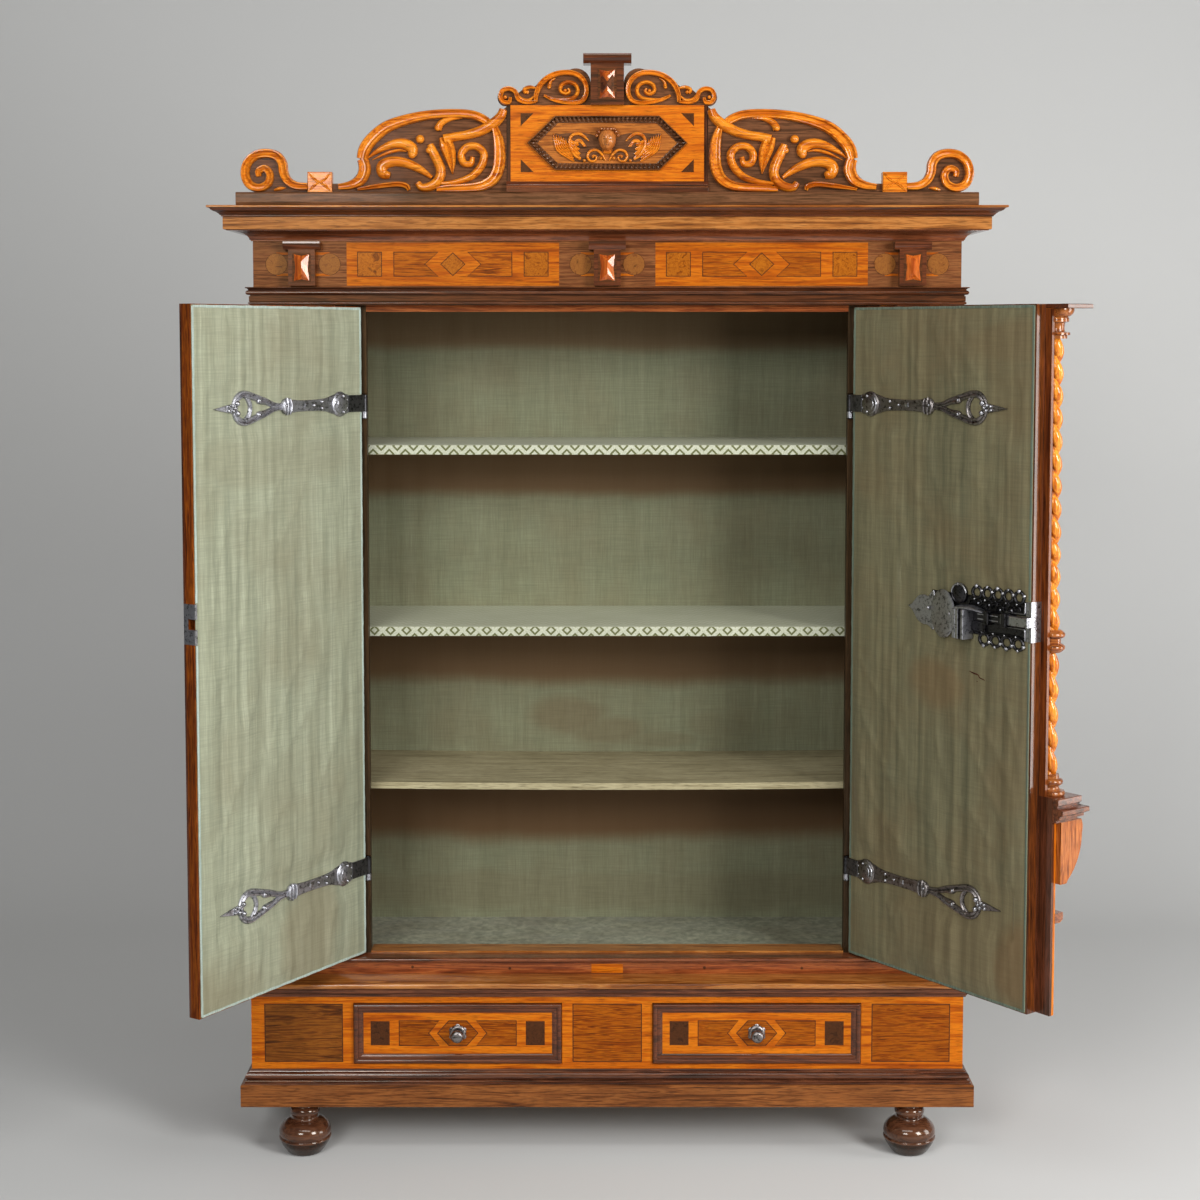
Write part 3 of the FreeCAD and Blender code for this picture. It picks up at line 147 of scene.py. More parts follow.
@dataclass(frozen=True)
class Wood(Finish):
    """Sawn and planed wood under old wax: stripes of early and late growth, with short dark pores."""

    dark: str
    middle: str
    light: str
    grain: Grain
    ring_mm: float
    pore_mm: float
    wander: float
    roughness: float
    coat: float
    soil: float

    def stretch(self, across: float, slender: float) -> tuple[float, float, float]:
        """Repeats per metre on each axis for a pattern drawn out along the grain."""
        near, far = 1000 / across, 1000 / (across * slender)
        return (far, near, near) if self.grain is Grain.LEVEL else (near, near, far)

    @staticmethod
    def wrap(put: Put, place: Socket) -> Socket:
        """Swap X and Y where a face looks sideways, so that level grain runs along that face too.

        Args:
            put: Adds a node to the material.
            place: Position on the piece.

        Returns:
            The position for the grain.
        """
        facing = put("SeparateXYZ", {0: put("TexCoord", {}).outputs["Normal"]})
        size = put("Math", {0: facing}, operation="ABSOLUTE")
        sideways = put("Math", {0: size, 1: 0.8}, operation="GREATER_THAN")
        x, y, z = put("SeparateXYZ", {0: place}).outputs
        swapped = put("CombineXYZ", {0: y, 1: x, 2: z})
        return put("Mix", {0: sideways, 4: place, 5: swapped}, data_type="VECTOR").outputs[1]

    def shade(self, put: Put) -> Node:
        """Growth stripes, pores and patches of old soil over a waxed surface.

        Args:
            put: Adds a node to the material.

        Returns:
            The shader node.
        """
        place = put("TexCoord", {}).outputs["Object"]
        if self.grain is Grain.LEVEL:
            place = self.wrap(put, place)
        rings_at = put("Mapping", {"Vector": place, "Scale": self.stretch(self.ring_mm, 22)})
        rings = put("TexNoise", {
            "Vector": rings_at, "Scale": 1.0, "Detail": 4.0, "Roughness": 0.55, "Distortion": self.wander,
        })
        colour = put("ValToRGB", {0: rings}, stops=(
            (0.30, self.dark), (0.43, self.middle), (0.53, self.light), (0.60, self.middle),
            (0.72, self.dark),
        ))
        pores_at = put("Mapping", {"Vector": place, "Scale": self.stretch(self.pore_mm, 16)})
        pores = put("TexNoise", {"Vector": pores_at, "Scale": 1.0, "Detail": 2.0, "Roughness": 0.5})
        pits = put("MapRange", {0: pores, "From Min": 0.52, "From Max": 0.66, "To Min": 1.0, "To Max": 0.55})
        pitted = put("Mix", {"Factor": 1.0, 6: colour, 7: pits}, data_type="RGBA", blend_type="MULTIPLY")
        patches = put("TexNoise", {"Vector": place, "Scale": 1000 / 130, "Detail": 5.0, "Roughness": 0.6})
        darkened_share = put("MapRange", {
            0: patches, "From Min": 0.40, "From Max": 0.68, "To Min": 0.0, "To Max": self.soil,
        })
        tinted = put("Mix", {"Factor": darkened_share, 6: pitted.outputs[2], 7: linear(self.dark)}, data_type="RGBA")
        gloss = put("MapRange", {0: pores, "To Min": self.roughness - 0.08, "To Max": self.roughness + 0.16})
        relief = put("Math", {0: rings, 1: pits}, operation="ADD")
        return put("BsdfPrincipled", {
            "Base Color": tinted.outputs[2], "Roughness": gloss, "IOR": VARNISH_IOR,
            "Specular IOR Level": 0.22,
            "Normal": put("Bump", {"Strength": 0.18, "Distance": 0.4 * MM, "Height": relief}),
            "Specular Tint": WAX, "Coat Weight": self.coat, "Coat Roughness": 0.1,
        })


@dataclass(frozen=True)
class Burl(Finish):
    """Sliced burl veneer under shellac: swirling fibres round small dark eyes."""

    dark: str
    middle: str
    light: str
    figure_mm: float
    fibre_mm: float
    eye_mm: float

    def shade(self, put: Put) -> Node:
        """Fibres carried along by a slow swirl, with eyes scattered in it.

        Args:
            put: Adds a node to the material.

        Returns:
            The shader node.
        """
        place = put("TexCoord", {}).outputs["Object"]
        swirl = put("TexNoise", {
            "Vector": place, "Scale": 1000 / self.figure_mm, "Detail": 2.0, "Distortion": 0.4,
        }).outputs["Color"]
        pull = put("VectorMath", {0: swirl, "Scale": 1.6 * self.figure_mm * MM}, operation="SCALE")
        moved = put("VectorMath", {0: place, 1: pull}, operation="ADD")
        fibres = put("TexNoise", {
            "Vector": moved, "Scale": 1000 / self.fibre_mm / 3, "Detail": 6.0, "Roughness": 0.62,
            "Distortion": 1.2,
        })
        colour = put("ValToRGB", {0: fibres}, stops=(
            (0.28, self.dark), (0.40, self.middle), (0.48, self.light), (0.53, self.middle),
            (0.58, self.light), (0.66, self.middle), (0.78, self.dark),
        ))
        eyes = put("TexVoronoi", {"Vector": moved, "Scale": 1000 / self.eye_mm})
        depth = put("MapRange", {0: eyes, "From Min": 0.04, "From Max": 0.22, "To Min": 0.5, "To Max": 1.0})
        eyed = put("Mix", {"Factor": 1.0, 6: colour, 7: depth}, data_type="RGBA", blend_type="MULTIPLY")
        return put("BsdfPrincipled", {
            "Base Color": eyed.outputs[2], "Roughness": 0.3, "IOR": VARNISH_IOR, "Specular IOR Level": 0.22,
            "Normal": put("Bump", {"Strength": 0.1, "Distance": 0.3 * MM, "Height": fibres}),
            "Specular Tint": WAX, "Coat Weight": 0.15, "Coat Roughness": 0.1,
        })


@dataclass(frozen=True)
class Iron(Finish):
    """Forged iron, filed and blued by age: hammer dents, darker hollows and a little rust."""

    dark: str
    light: str
    rust: str
    dent_mm: float
    roughness: float

    def shade(self, put: Put) -> Node:
        """Mottled grey metal with shallow dents.

        Args:
            put: Adds a node to the material.

        Returns:
            The shader node.
        """
        place = put("TexCoord", {}).outputs["Object"]
        mottle = put("TexNoise", {"Vector": place, "Scale": 1000 / self.dent_mm, "Detail": 5.0,
                                  "Roughness": 0.65})
        colour = put("ValToRGB", {0: mottle}, stops=(
            (0.34, self.dark), (0.50, self.light), (0.62, self.light), (0.74, self.rust),
        ))
        gloss = put("MapRange", {0: mottle, "To Min": self.roughness - 0.14, "To Max": self.roughness + 0.22})
        bump = put("Bump", {"Strength": 0.35, "Distance": 0.5 * MM, "Height": mottle})
        return put("BsdfPrincipled", {"Base Color": colour, "Metallic": 1.0, "Roughness": gloss,
                                      "Normal": bump})


@dataclass(frozen=True)
class Rep(Finish):
    """Ribbed silk lining, faded unevenly: upright streaks, level ribs, brown soiling and stains, and where
    they are given bands of painted shade.
    """

    shaded: str
    colour: str
    faded: str
    # Colour of the soiling and the stains, and on the back wall also of the bands of painted shade.
    soil: str
    rib_mm: float
    streak_mm: float
    soiling: float
    stains: tuple[Point, ...] = ()
    streaky: float = 1.0

    def shade(self, put: Put) -> Node:
        """Woven ribs under fading, soil and stains, and on the back wall painted shade. The real threads are
        0.5 mm apart and drawn coarser to show.

        Args:
            put: Adds a node to the material.

        Returns:
            The shader node.
        """
        place = put("TexCoord", {}).outputs["Object"]
        near, thread = 1000 / self.streak_mm, 1000 / self.rib_mm
        upright = put("Mapping", {"Vector": place, "Scale": (near, near, near / 60)})
        streaks = put("TexNoise", {"Vector": upright, "Scale": 1.0, "Detail": 5.0})
        calm = put("MapRange", {0: streaks, "To Min": 0.48 * (1 - self.streaky),
                                "To Max": 0.48 + 0.52 * self.streaky})
        tint = put("ValToRGB", {0: calm}, stops=((0.30, self.shaded), (0.48, self.colour),
                                                 (0.66, self.faded)))
        level = put("Mapping", {"Vector": place, "Scale": (14, 14, thread)})
        ribs = put("TexNoise", {"Vector": level, "Scale": 1.0, "Detail": 2.0})
        threads = put("Mapping", {"Vector": place, "Scale": (thread, thread, 20)})
        warp = put("TexNoise", {"Vector": threads, "Scale": 1.0, "Detail": 1.0})
        weave = put("Math", {0: ribs, 1: warp}, operation="MULTIPLY")
        depth = put("MapRange", {0: weave, "From Min": 0.12, "From Max": 0.38, "To Min": 0.84,
                                 "To Max": 1.08})
        woven = put("Mix", {"Factor": 1.0, 6: tint, 7: depth}, data_type="RGBA", blend_type="MULTIPLY")
        cloud = put("TexNoise", {"Vector": place, "Scale": 1000 / 240, "Detail": 6.0, "Roughness": 0.62})
        darkened_share = put("MapRange", {
            0: cloud, "From Min": 0.42, "From Max": 0.74, "To Min": 0.0, "To Max": self.soiling,
        })
        # Stains, and on the back wall bands of painted shade under the top rail and the shelves.
        for stain_or_shade_band in self.stains:
            darkened_share = self.spread(put, place, cloud, darkened_share, stain_or_shade_band)
        colour = put("Mix", {"Factor": darkened_share, 6: woven.outputs[2], 7: linear(self.soil)}, data_type="RGBA")
        return put("BsdfPrincipled", {
            "Base Color": colour.outputs[2], "Roughness": 0.72, "IOR": VARNISH_IOR,
            "Normal": put("Bump", {"Strength": 0.3, "Distance": 0.4 * MM, "Height": weave}),
            "Sheen Weight": 0.15, "Sheen Roughness": 0.4,
        })

    @staticmethod
    def spread(put: Put, place: Socket, cloud: Node, darkened_share: Node, stain_or_shade_band: Point) -> Node:
        """Add one stain or band of painted shade with a ragged soft edge.

        Args:
            put: Adds a node to the material.
            place: Position on the cloth.
            cloud: Slow noise that frays the edge.
            darkened_share: Soiling, stains and painted shade so far.
            stain_or_shade_band: X and Z of its middle, half its width and height in millimetres, its strength
                and how ragged its edge is.

        Returns:
            Soiling, stains and painted shade with this one added.
        """
        x, z, wide, high, strength, fray = stain_or_shade_band
        moved = put("Mapping", {
            "Vector": place, "Location": (x * MM, 0, z * MM), "Scale": (wide * MM, 1000, high * MM),
        }, vector_type="TEXTURE")
        far = put("VectorMath", {0: moved}, operation="LENGTH").outputs["Value"]
        ragged = put("Math", {0: cloud, 1: fray, 2: far}, operation="MULTIPLY_ADD")
        share = put("MapRange", {
            0: ragged, "From Min": 0.5 + fray / 2, "From Max": 1.1 + fray / 2, "To Min": strength,
            "To Max": 0.0,
        }, interpolation_type="SMOOTHSTEP")
        return put("Math", {0: darkened_share, 1: share}, operation="MAXIMUM")


@dataclass(frozen=True)
class Lattice(Finish):
    """Printed shelf cloth: crossing off-white bands over olive diamonds that hold an off-white dot."""

    ground: str
    faded: str
    ink: str
    worn_ink: str
    repeat_mm: float = 36.0
    line_share: float = 0.32
    dot_share: float = 0.36

    def shade(self, put: Put) -> Node:
        """Two diagonal sets of lines and a dot, on the top by X and Y and on the edge by X and Z.

        Args:
            put: Adds a node to the material.

        Returns:
            The shader node.
        """
        place = put("TexCoord", {}).outputs["Object"]
        x, y, z = put("SeparateXYZ", {0: place}).outputs
        reach = put("Math", {0: y, 1: z}, operation="ADD")
        half = self.repeat_mm * MM / 2
        waves = []
        for slant in ("ADD", "SUBTRACT"):
            along = put("Math", {0: x, 1: reach}, operation=slant)
            wave = put("Math", {0: along, 1: half}, operation="PINGPONG")
            waves.append(put("Math", {0: wave, 1: half}, operation="DIVIDE"))
        near = put("Math", {0: waves[0], 1: waves[1]}, operation="MINIMUM")
        line = put("Math", {0: near, 1: self.line_share}, operation="LESS_THAN")
        dot = put("Math", {0: near, 1: 1 - self.dot_share}, operation="GREATER_THAN")
        marks = put("Math", {0: line, 1: dot}, operation="MAXIMUM")
        fray = put("TexNoise", {"Vector": place, "Scale": 1000 / 3.0, "Detail": 3.0})
        strength = put("MapRange", {0: fray, "From Min": 0.35, "From Max": 0.6, "To Min": 0.7, "To Max": 1.0})
        pale = put("Math", {0: marks, 1: strength}, operation="MULTIPLY")
        cloud = put("TexNoise", {"Vector": place, "Scale": 1000 / 90, "Detail": 4.0})
        ground = put("Mix", {"Factor": cloud, 6: linear(self.ground), 7: linear(self.faded)},
                     data_type="RGBA")
        # Painted light: on faces that look up, the ink is painted pale, close to the ground's colour.
        facing = put("SeparateXYZ", {0: put("NewGeometry", {}).outputs["Normal"]}).outputs[2]
        lit_from_above = put("MapRange", {0: facing, "From Min": 0.3, "From Max": 0.8})
        ink = put("Mix", {"Factor": lit_from_above, 6: linear(self.ink), 7: linear(self.worn_ink)}, data_type="RGBA")
        colour = put("Mix", {"Factor": pale, 6: ink.outputs[2], 7: ground.outputs[2]}, data_type="RGBA")
        bump = put("Bump", {"Strength": 0.25, "Distance": 0.3 * MM, "Height": fray})
        return put("BsdfPrincipled", {
            "Base Color": colour.outputs[2], "Roughness": 0.8, "IOR": VARNISH_IOR, "Normal": bump,
        })


@dataclass(frozen=True)
class Plaster(Finish):
    """Even matt paint of the studio floor and backdrop, clear from behind so that it hides no view."""

    colour: str

    def shade(self, put: Put) -> Node:
        """Plain matt paint on the front and nothing on the back.

        Args:
            put: Adds a node to the material.

        Returns:
            The shader node.
        """
        paint = put("BsdfPrincipled", {"Base Color": linear(self.colour), "Roughness": 0.85, "IOR": 1.45})
        behind = put("NewGeometry", {}).outputs["Backfacing"]
        return put("MixShader", {0: behind, 1: paint, 2: put("BsdfTransparent", {})})


# Each wood has three colours, its grain, the width of its growth rings and pores in millimetres, how far
# the rings wander, its roughness, its coat of wax or shellac, and its soil.
LEVEL, UPRIGHT = Grain

# Cherry, sliced, laid and waxed: a hot orange ground with fine darker streaks under a soft sheen.
ORANGE = Wood("orange_cherry_veneer", "#8A3A04", "#B85A06", "#CE7210", LEVEL, 14, 1.6, 0.8, 0.36, 0.1, 0.2)
# The same cherry veneer on the frieze, painted darker as painted shade.
SHADED_FRIEZE_ORANGE = Wood("orange_frieze_veneer", "#7A3204", "#A24C04", "#B8620C", LEVEL, 14, 1.6, 0.8, 0.36, 0.1,
                     0.2)
ORANGE_UPRIGHT = Wood("orange_cherry_upright", "#8A3C08", "#B45A0C", "#CE7616", UPRIGHT, 14, 1.6, 0.8, 0.36,
                      0.2,
                      0.25)
# Cherry and walnut cut where the fibres wave: restless brown flames in the inlaid fields.
FIELD = Wood("figured_cherry_field", "#4C1C02", "#883C04", "#AC5C0A", LEVEL, 8, 1.6, 2.4, 0.36, 0.1, 0.3)
SMOKY_FIELD = Wood("smoky_walnut_field", "#341604", "#6A340A", "#8A5014", LEVEL, 11, 1.8, 3.0, 0.36, 0.2, 0.5)
HEXAGON_GROUND = Wood("warm_walnut_ground", "#5E2C10", "#96521E", "#B86E2C", LEVEL, 8, 1.5, 0.9, 0.34, 0.3,
                      0.35)
# Carved and burnished cherry: broad highlights run along every rib.
CARVED = Wood("carved_cherry", "#924008", "#C4680E", "#DE8822", LEVEL, 18, 2.2, 1.2, 0.34, 0.45, 0.25)
CHERUB = Wood("polished_cherub", "#8E4C1E", "#A8602A", "#B87238", UPRIGHT, 30, 3.0, 0.4, 0.34, 0.35, 0.15)
SHAFT = Wood("twisted_cherry_shaft", "#9A4A0E", "#CC701A", "#EA9834", UPRIGHT, 14, 1.8, 0.8, 0.22, 0.7, 0.2)
POINT = Wood("glossy_diamond_point", "#6E2C0C", "#A04612", "#BE601E", UPRIGHT, 10, 1.6, 0.6, 0.16, 0.8, 0.2)
# Walnut gouged out between the carving and never waxed: a dull dark ground that lets the ribs stand out.
# On the cherub's lids and lips, the same dark wood is painted shade in their creases.
GROUND = Wood("carved_ground", "#301A10", "#52301E", "#6C442C", LEVEL, 10, 2.0, 1.2, 0.55, 0.05, 0.4)
# Walnut, planed and waxed: brown boards with even darker stripes.
WALNUT = Wood("striped_walnut", "#3A1A0A", "#733F1A", "#905628", LEVEL, 9, 1.5, 0.9, 0.34, 0.3, 0.3)
SIDE_BOARD = Wood("walnut_side_board", "#3A1A0A", "#6E3C18", "#8A5226", UPRIGHT, 12, 1.6, 1.1, 0.36, 0.25,
                  0.35)
FASCIA = Wood("red_walnut_fascia", "#4A1E0C", "#843E1C", "#A45A2C", LEVEL, 12, 1.5, 0.9, 0.34, 0.35, 0.3)
FRIEZE_END = Wood("frieze_end_walnut", "#42200F", "#66361C", "#82502C", LEVEL, 8, 1.4, 0.6, 0.38, 0.2, 0.35)
LEDGE = Wood("dusty_walnut_ledge", "#34200F", "#5C3A24", "#744C32", LEVEL, 9, 1.4, 0.6, 0.42, 0.2, 0.35)
CORONA = Wood("worn_walnut_corona", "#5A2E12", "#905624", "#AC7038", LEVEL, 9, 1.4, 0.6, 0.38, 0.25, 0.3)
# Walnut mouldings, stained dark and polished by hand: almost black hollows and long sharp highlights.
DARK_WALNUT = Wood("dark_walnut_moulding", "#2A130A", "#4C2210", "#68341A", LEVEL, 9, 1.5, 0.6, 0.28, 0.8,
                   0.35)
DARK_UPRIGHT = Wood("dark_walnut_upright", "#26120A", "#4A2412", "#643420", UPRIGHT, 9, 1.5, 0.6, 0.30, 0.6,
                    0.35)
GLOSSY = Wood("waxed_walnut_moulding", "#3A1A0C", "#6E3820", "#8C5030", LEVEL, 10, 1.5, 0.7, 0.26, 0.9, 0.3)
SMOKED = Wood("smoked_walnut_moulding", "#24100A", "#42200F", "#5E321A", LEVEL, 9, 1.5, 0.6, 0.3, 0.5, 0.35)
PLINTH_BEAD = Wood("dark_plinth_round", "#20100A", "#442214", "#6A3C24", LEVEL, 9, 1.5, 0.6, 0.2, 1.0, 0.35)
RIPPLE = Wood("ripple_moulding", "#22120A", "#4A2A16", "#70462A", LEVEL, 6, 1.2, 0.5, 0.26, 0.5, 0.3)
STRINGING = Wood("dark_stringing", "#2A1209", "#44200E", "#5A2E14", LEVEL, 6, 1.4, 0.5, 0.4, 0.2, 0.2)
# Walnut rubbed by hands and sleeves: the stain is gone from the sill's edge, which shines paler. On the round
# of the base top and on the cornice's lip, the same paler colour is a painted highlight.
WEAR_AND_HIGHLIGHT = Wood("worn_walnut_edge", "#56280E", "#96551F", "#B4763A", LEVEL, 10, 1.5, 0.7, 0.30, 0.8, 0.3)
# Walnut under the base's nosing, painted dark as shade under the nosing.
SHADED_COVE = Wood("worn_dark_cove", "#2E180E", "#5A3020", "#7A4830", LEVEL, 9, 1.5, 0.6, 0.34, 0.4, 0.35)
# Sawn edges of the leaves: scraped dull and reddish, or waxed dark. The stiles are painted almost black, and
# the astragal's shaded edge dark, as painted shade in the opening.
RED_EDGE = Wood("scraped_leaf_edge", "#3A1606", "#622608", "#8A460E", UPRIGHT, 6, 1.5, 1.0, 0.6, 0.0, 0.45)
WAXED_EDGE = Wood("waxed_leaf_edge", "#2A1004", "#48200A", "#6C3612", UPRIGHT, 7, 1.5, 1.0, 0.34, 0.6, 0.45)
SHADED_EDGE = Wood("shaded_cherry_edge", "#30140A", "#5E2A10", "#7E4018", UPRIGHT, 8, 1.6, 0.8, 0.34, 0.3,
                   0.3)
SHADED_STILE = Wood("smoked_stile", "#1A120A", "#2C1E12", "#3C2A1A", UPRIGHT, 8, 1.5, 0.8, 0.42, 0.1, 0.4)
# Turned on the lathe and polished there: ring-shaped highlights, and an almost black lower half on the bun
# feet.
RING = Wood("turned_ring", "#4A200E", "#84441C", "#A8642E", LEVEL, 8, 1.4, 0.5, 0.22, 0.7, 0.35)
BUN = Wood("polished_bun", "#2C1810", "#4A2A1A", "#5E3A26", LEVEL, 16, 3.0, 0.6, 0.2, 0.9, 0.2)
BLACKENED = Wood("blackened_bun", "#0E0806", "#1E120C", "#3A2014", LEVEL, 9, 1.6, 0.8, 0.24, 0.6, 0.5)
BLOCK = Wood("moulded_block", "#2E160C", "#5C2C1A", "#7E4428", LEVEL, 14, 1.4, 0.4, 0.26, 0.7, 0.3)
BRACKET = Wood("streaked_bracket", "#56240C", "#9A4E1C", "#B86C32", UPRIGHT, 8, 1.8, 1.4, 0.3, 0.3, 0.55)
# Pine left from the saw, unwaxed: pale, dry and matt where nobody looks, greyed by dust on the shelves.
RAW_BOARD = Wood("sawn_pine_board", "#6E5236", "#977650", "#B39468", UPRIGHT, 12, 1.6, 0.5, 0.62, 0.0, 0.45)
RAW_LEVEL = Wood("sawn_pine_level", "#5C4530", "#86694A", "#A3855E", LEVEL, 12, 1.6, 0.5, 0.62, 0.0, 0.45)
SHELF_WOOD = Wood("bare_shelf", "#7A7052", "#9C9374", "#AEA584", LEVEL, 14, 1.8, 0.5, 0.5, 0.0, 0.4)
# Frayed threads in a tear: a thin dark line, drawn like coarse fibre.
TEAR = Wood("torn_cloth_edge", "#2A1510", "#40201A", "#5A3024", LEVEL, 5, 1.2, 0.5, 0.7, 0.0, 0.3)

# Walnut burl, sliced and shellacked: a cloudy figure of eyes and curls, stained darker in the squares.
# The numbers are the size of its figure, fibres and eyes in millimetres.
BURL = Burl("walnut_burl", "#3E1C04", "#7C3C08", "#A25C12", 46, 7, 34)
DARK_BURL = Burl("dark_burl", "#1E0E08", "#351A0C", "#4E2A14", 40, 6, 30)
FAINT_BURL = Burl("faint_burl", "#4E2812", "#70401E", "#865424", 26, 5, 22)

# Wrought iron, forged, filed and left to age: dented grey with brown in the hollows. It is blued at the
# barrels, browned on the right door, and rubbed bright on the balls and edges that hands meet. The
# numbers are the size of its dents in millimetres, and its roughness.
BLUED_IRON = Iron("blued_iron", "#2C2C2E", "#6C6C70", "#4A3E38", 7, 0.32)
IRON = Iron("forged_iron", "#58585A", "#B2B2B8", "#7A6C64", 7, 0.36)
DARK_IRON = Iron("dark_iron", "#171616", "#454446", "#3A2C24", 6, 0.34)
BRIGHT_IRON = Iron("rubbed_iron", "#6A696A", "#ACACB0", "#86786C", 6, 0.28)
BROWNED_IRON = Iron("browned_iron", "#38342F", "#8A8482", "#5E5048", 7, 0.32)

# Rep, woven of silk with a level rib and faded by light: dusty green with upright streaks, and brown where it
# touched hands and water. On the back wall, wide brown bands under the top rail and the shelves are painted
# shade. The numbers are the width of its ribs and streaks in millimetres, its soil, and its stains and bands
# of painted shade.
LINING = Rep("sage_rep_lining", "#7C806A", "#8B8E76", "#999C84", "#6E6042", 2.4, 16, 0.4, (
    (-880, 470, 200, 110, 0.5, 1.1), (-640, 520, 60, 160, 0.5, 1.1), (-700, 1560, 160, 60, 0.2, 1.1),
))
# The right door's cloth is the same rep as the left door's, painted darker and warmer as painted shade on that
# door. Its patches are stains.
SHADED_RIGHT_LINING = Rep("olive_rep_lining", "#5A573D", "#696448", "#797354", "#70502A", 2.4, 16, 0.4, (
    (700, 1085, 60, 70, 0.45, 1.1), (760, 560, 180, 130, 0.25, 1.1), (840, 1800, 160, 60, 0.3, 1.1),
    (840, 545, 60, 120, 0.55, 1.1), (815, 900, 50, 90, 0.25, 1.1),
))
# Its first four entries are wide bands of painted shade under the top rail and the three shelves; the rest are
# stains.
BACK_LINING = Rep("olive_rep_back", "#686A4E", "#76785C", "#84866A", "#5E401C", 2.4, 18, 0.35, (
    (0, 1838, 1800, 68, 0.8, 0.35), (0, 1492, 1800, 74, 0.9, 0.35), (0, 1052, 1800, 92, 0.9, 0.35),
    (0, 676, 1800, 104, 0.95, 0.35), (-90, 900, 118, 62, 0.42, 0.9), (0, 862, 120, 46, 0.36, 0.9),
    (110, 840, 130, 24, 0.25, 0.9), (250, 880, 60, 40, 0.2, 1.1), (-400, 1010, 260, 50, 0.25, 1.1),
    (0, 470, 1400, 60, 0.25, 1.1),
), 0.35)
FLOOR_LINING = Rep("floor_rep", "#6A6C54", "#80826A", "#96967C", "#54492F", 2.4, 14, 0.6)
# Woven ribbon, tacked over the edges of the lining: a paler line on the left door and a darker one on the
# right.
RIBBON = Rep("pale_ribbon", "#8C9C92", "#9CACA2", "#AEBAB0", "#7F7A64", 1.4, 4, 0.4)
GREEN_RIBBON = Rep("green_ribbon", "#4C5A4C", "#5E6C5C", "#72806E", "#4A4030", 1.4, 4, 0.4)
# Cotton, printed and sun-bleached: a lattice that is crisp on the hanging edge, and on the top painted nearly
# gone, as painted light from above.
COVER = Lattice("lattice_shelf_cloth", "#AAAC94", "#C6C8B6", "#5C5E38", "#A9AC8E")
# Matt wall paint: an even pale grey without a highlight.
BACKDROP = Plaster("pale_backdrop", "#C9C9C7")


CARCASS_FRONT = -420.0
CARCASS_DEPTH = 420.0
CARCASS_HALF = 752.0
LEAF_BEHIND = 1.5
THINNEST = 0.05

# Cross-sections of carved and forged bands: half widths and heights in shares.
PLAIN = ((-1, 0), (-0.9, 0.6), (-0.5, 0.92), (0, 1), (0.5, 0.92), (0.9, 0.6), (1, 0))
GROOVED = ((-1, 0), (-0.94, 0.6), (-0.72, 0.95), (-0.42, 0.98), (-0.16, 0.62), (0, 0.5), (0.16, 0.62),
           (0.42, 0.98),
           (0.72, 0.95), (0.94, 0.6), (1, 0))
RIM = ((-1, 0), (-0.96, 0.62), (-0.8, 0.98), (-0.55, 1.0), (-0.4, 0.8), (-0.28, 0.62), (0.1, 0.55),
       (0.42, 0.66),
       (0.6, 0.88), (0.78, 0.92), (0.94, 0.66), (1, 0))
ROUND = ((-1, 0), (-0.9, 0.55), (-0.62, 0.85), (-0.25, 0.98), (0.25, 0.98), (0.62, 0.85), (0.9, 0.55), (1, 0))
STITCHED = ((-1, 0), (-0.9, 0.7), (-0.5, 1.0), (0, 0.8), (0.5, 1.0), (0.9, 0.7), (1, 0))


@dataclass(frozen=True)
class Place:
    """A flat working plane in millimetres: u to the right, v upwards and w out of it."""

    origin: Vector
    right: Vector
    out: Vector

    def at(self, u: float, v: float, w: float) -> Vector:
        """Point of the plane in the row frame, in metres."""
        return (self.origin + u * self.right + v * Vector((0, 0, 1)) + w * self.out) * MM


def front_place(y: float, z: float = 0.0) -> Place:
    """Working plane that faces the front, seen as the photograph shows it: u along X and v along Z."""
    return Place(Vector((0, y, z)), Vector((1, 0, 0)), Vector((0, -1, 0)))


def arc(start: Point, through: Point, end: Point, steps: int) -> list[Point]:
    """Points on the arc through three points, without the first.

    Args:
        start: First point.
        through: A point on the arc.
        end: Last point.
        steps: Number of points.

    Returns:
        The points after the first.
    """
    (ax, ay), (bx, by), (cx, cy) = start, through, end
    turn = 2 * (ax * (by - cy) + bx * (cy - ay) + cx * (ay - by))
    a, b, c = ax * ax + ay * ay, bx * bx + by * by, cx * cx + cy * cy
    x = (a * (by - cy) + b * (cy - ay) + c * (ay - by)) / turn
    y = (a * (cx - bx) + b * (ax - cx) + c * (bx - ax)) / turn
    radius = math.hypot(ax - x, ay - y)
    first, middle, last = (math.atan2(q - y, p - x) for p, q in ((ax, ay), (bx, by), (cx, cy)))
    sweep = (last - first) % (2 * math.pi)
    if (middle - first) % (2 * math.pi) > sweep:
        sweep -= 2 * math.pi
    angles = [first + sweep * (index + 1) / steps for index in range(steps)]
    return [(x + radius * math.cos(angle), y + radius * math.sin(angle)) for angle in angles]


def traced(steps: Points, fine: int) -> list[Point]:
    """Outline from steps of two numbers for a line and four for an arc by way of a point.

    Args:
        steps: The steps, the first of them a point.
        fine: Points on each arc.

    Returns:
        The outline's points.
    """
    points: list[Point] = []
    for step in steps:
        points += [tuple(step)] if len(step) == 2 else arc(points[-1], step[:2], step[2:], fine)
    return points


def sized(steps: Points, u: float, width: float, v: float, height: float) -> list[Point]:
    """Steps given in shares of a width and a height, turned into lengths."""
    spans = ((u, width), (v, height)) * 2
    return [tuple(start + share * span for share, (start, span) in zip(step, spans)) for step in steps]


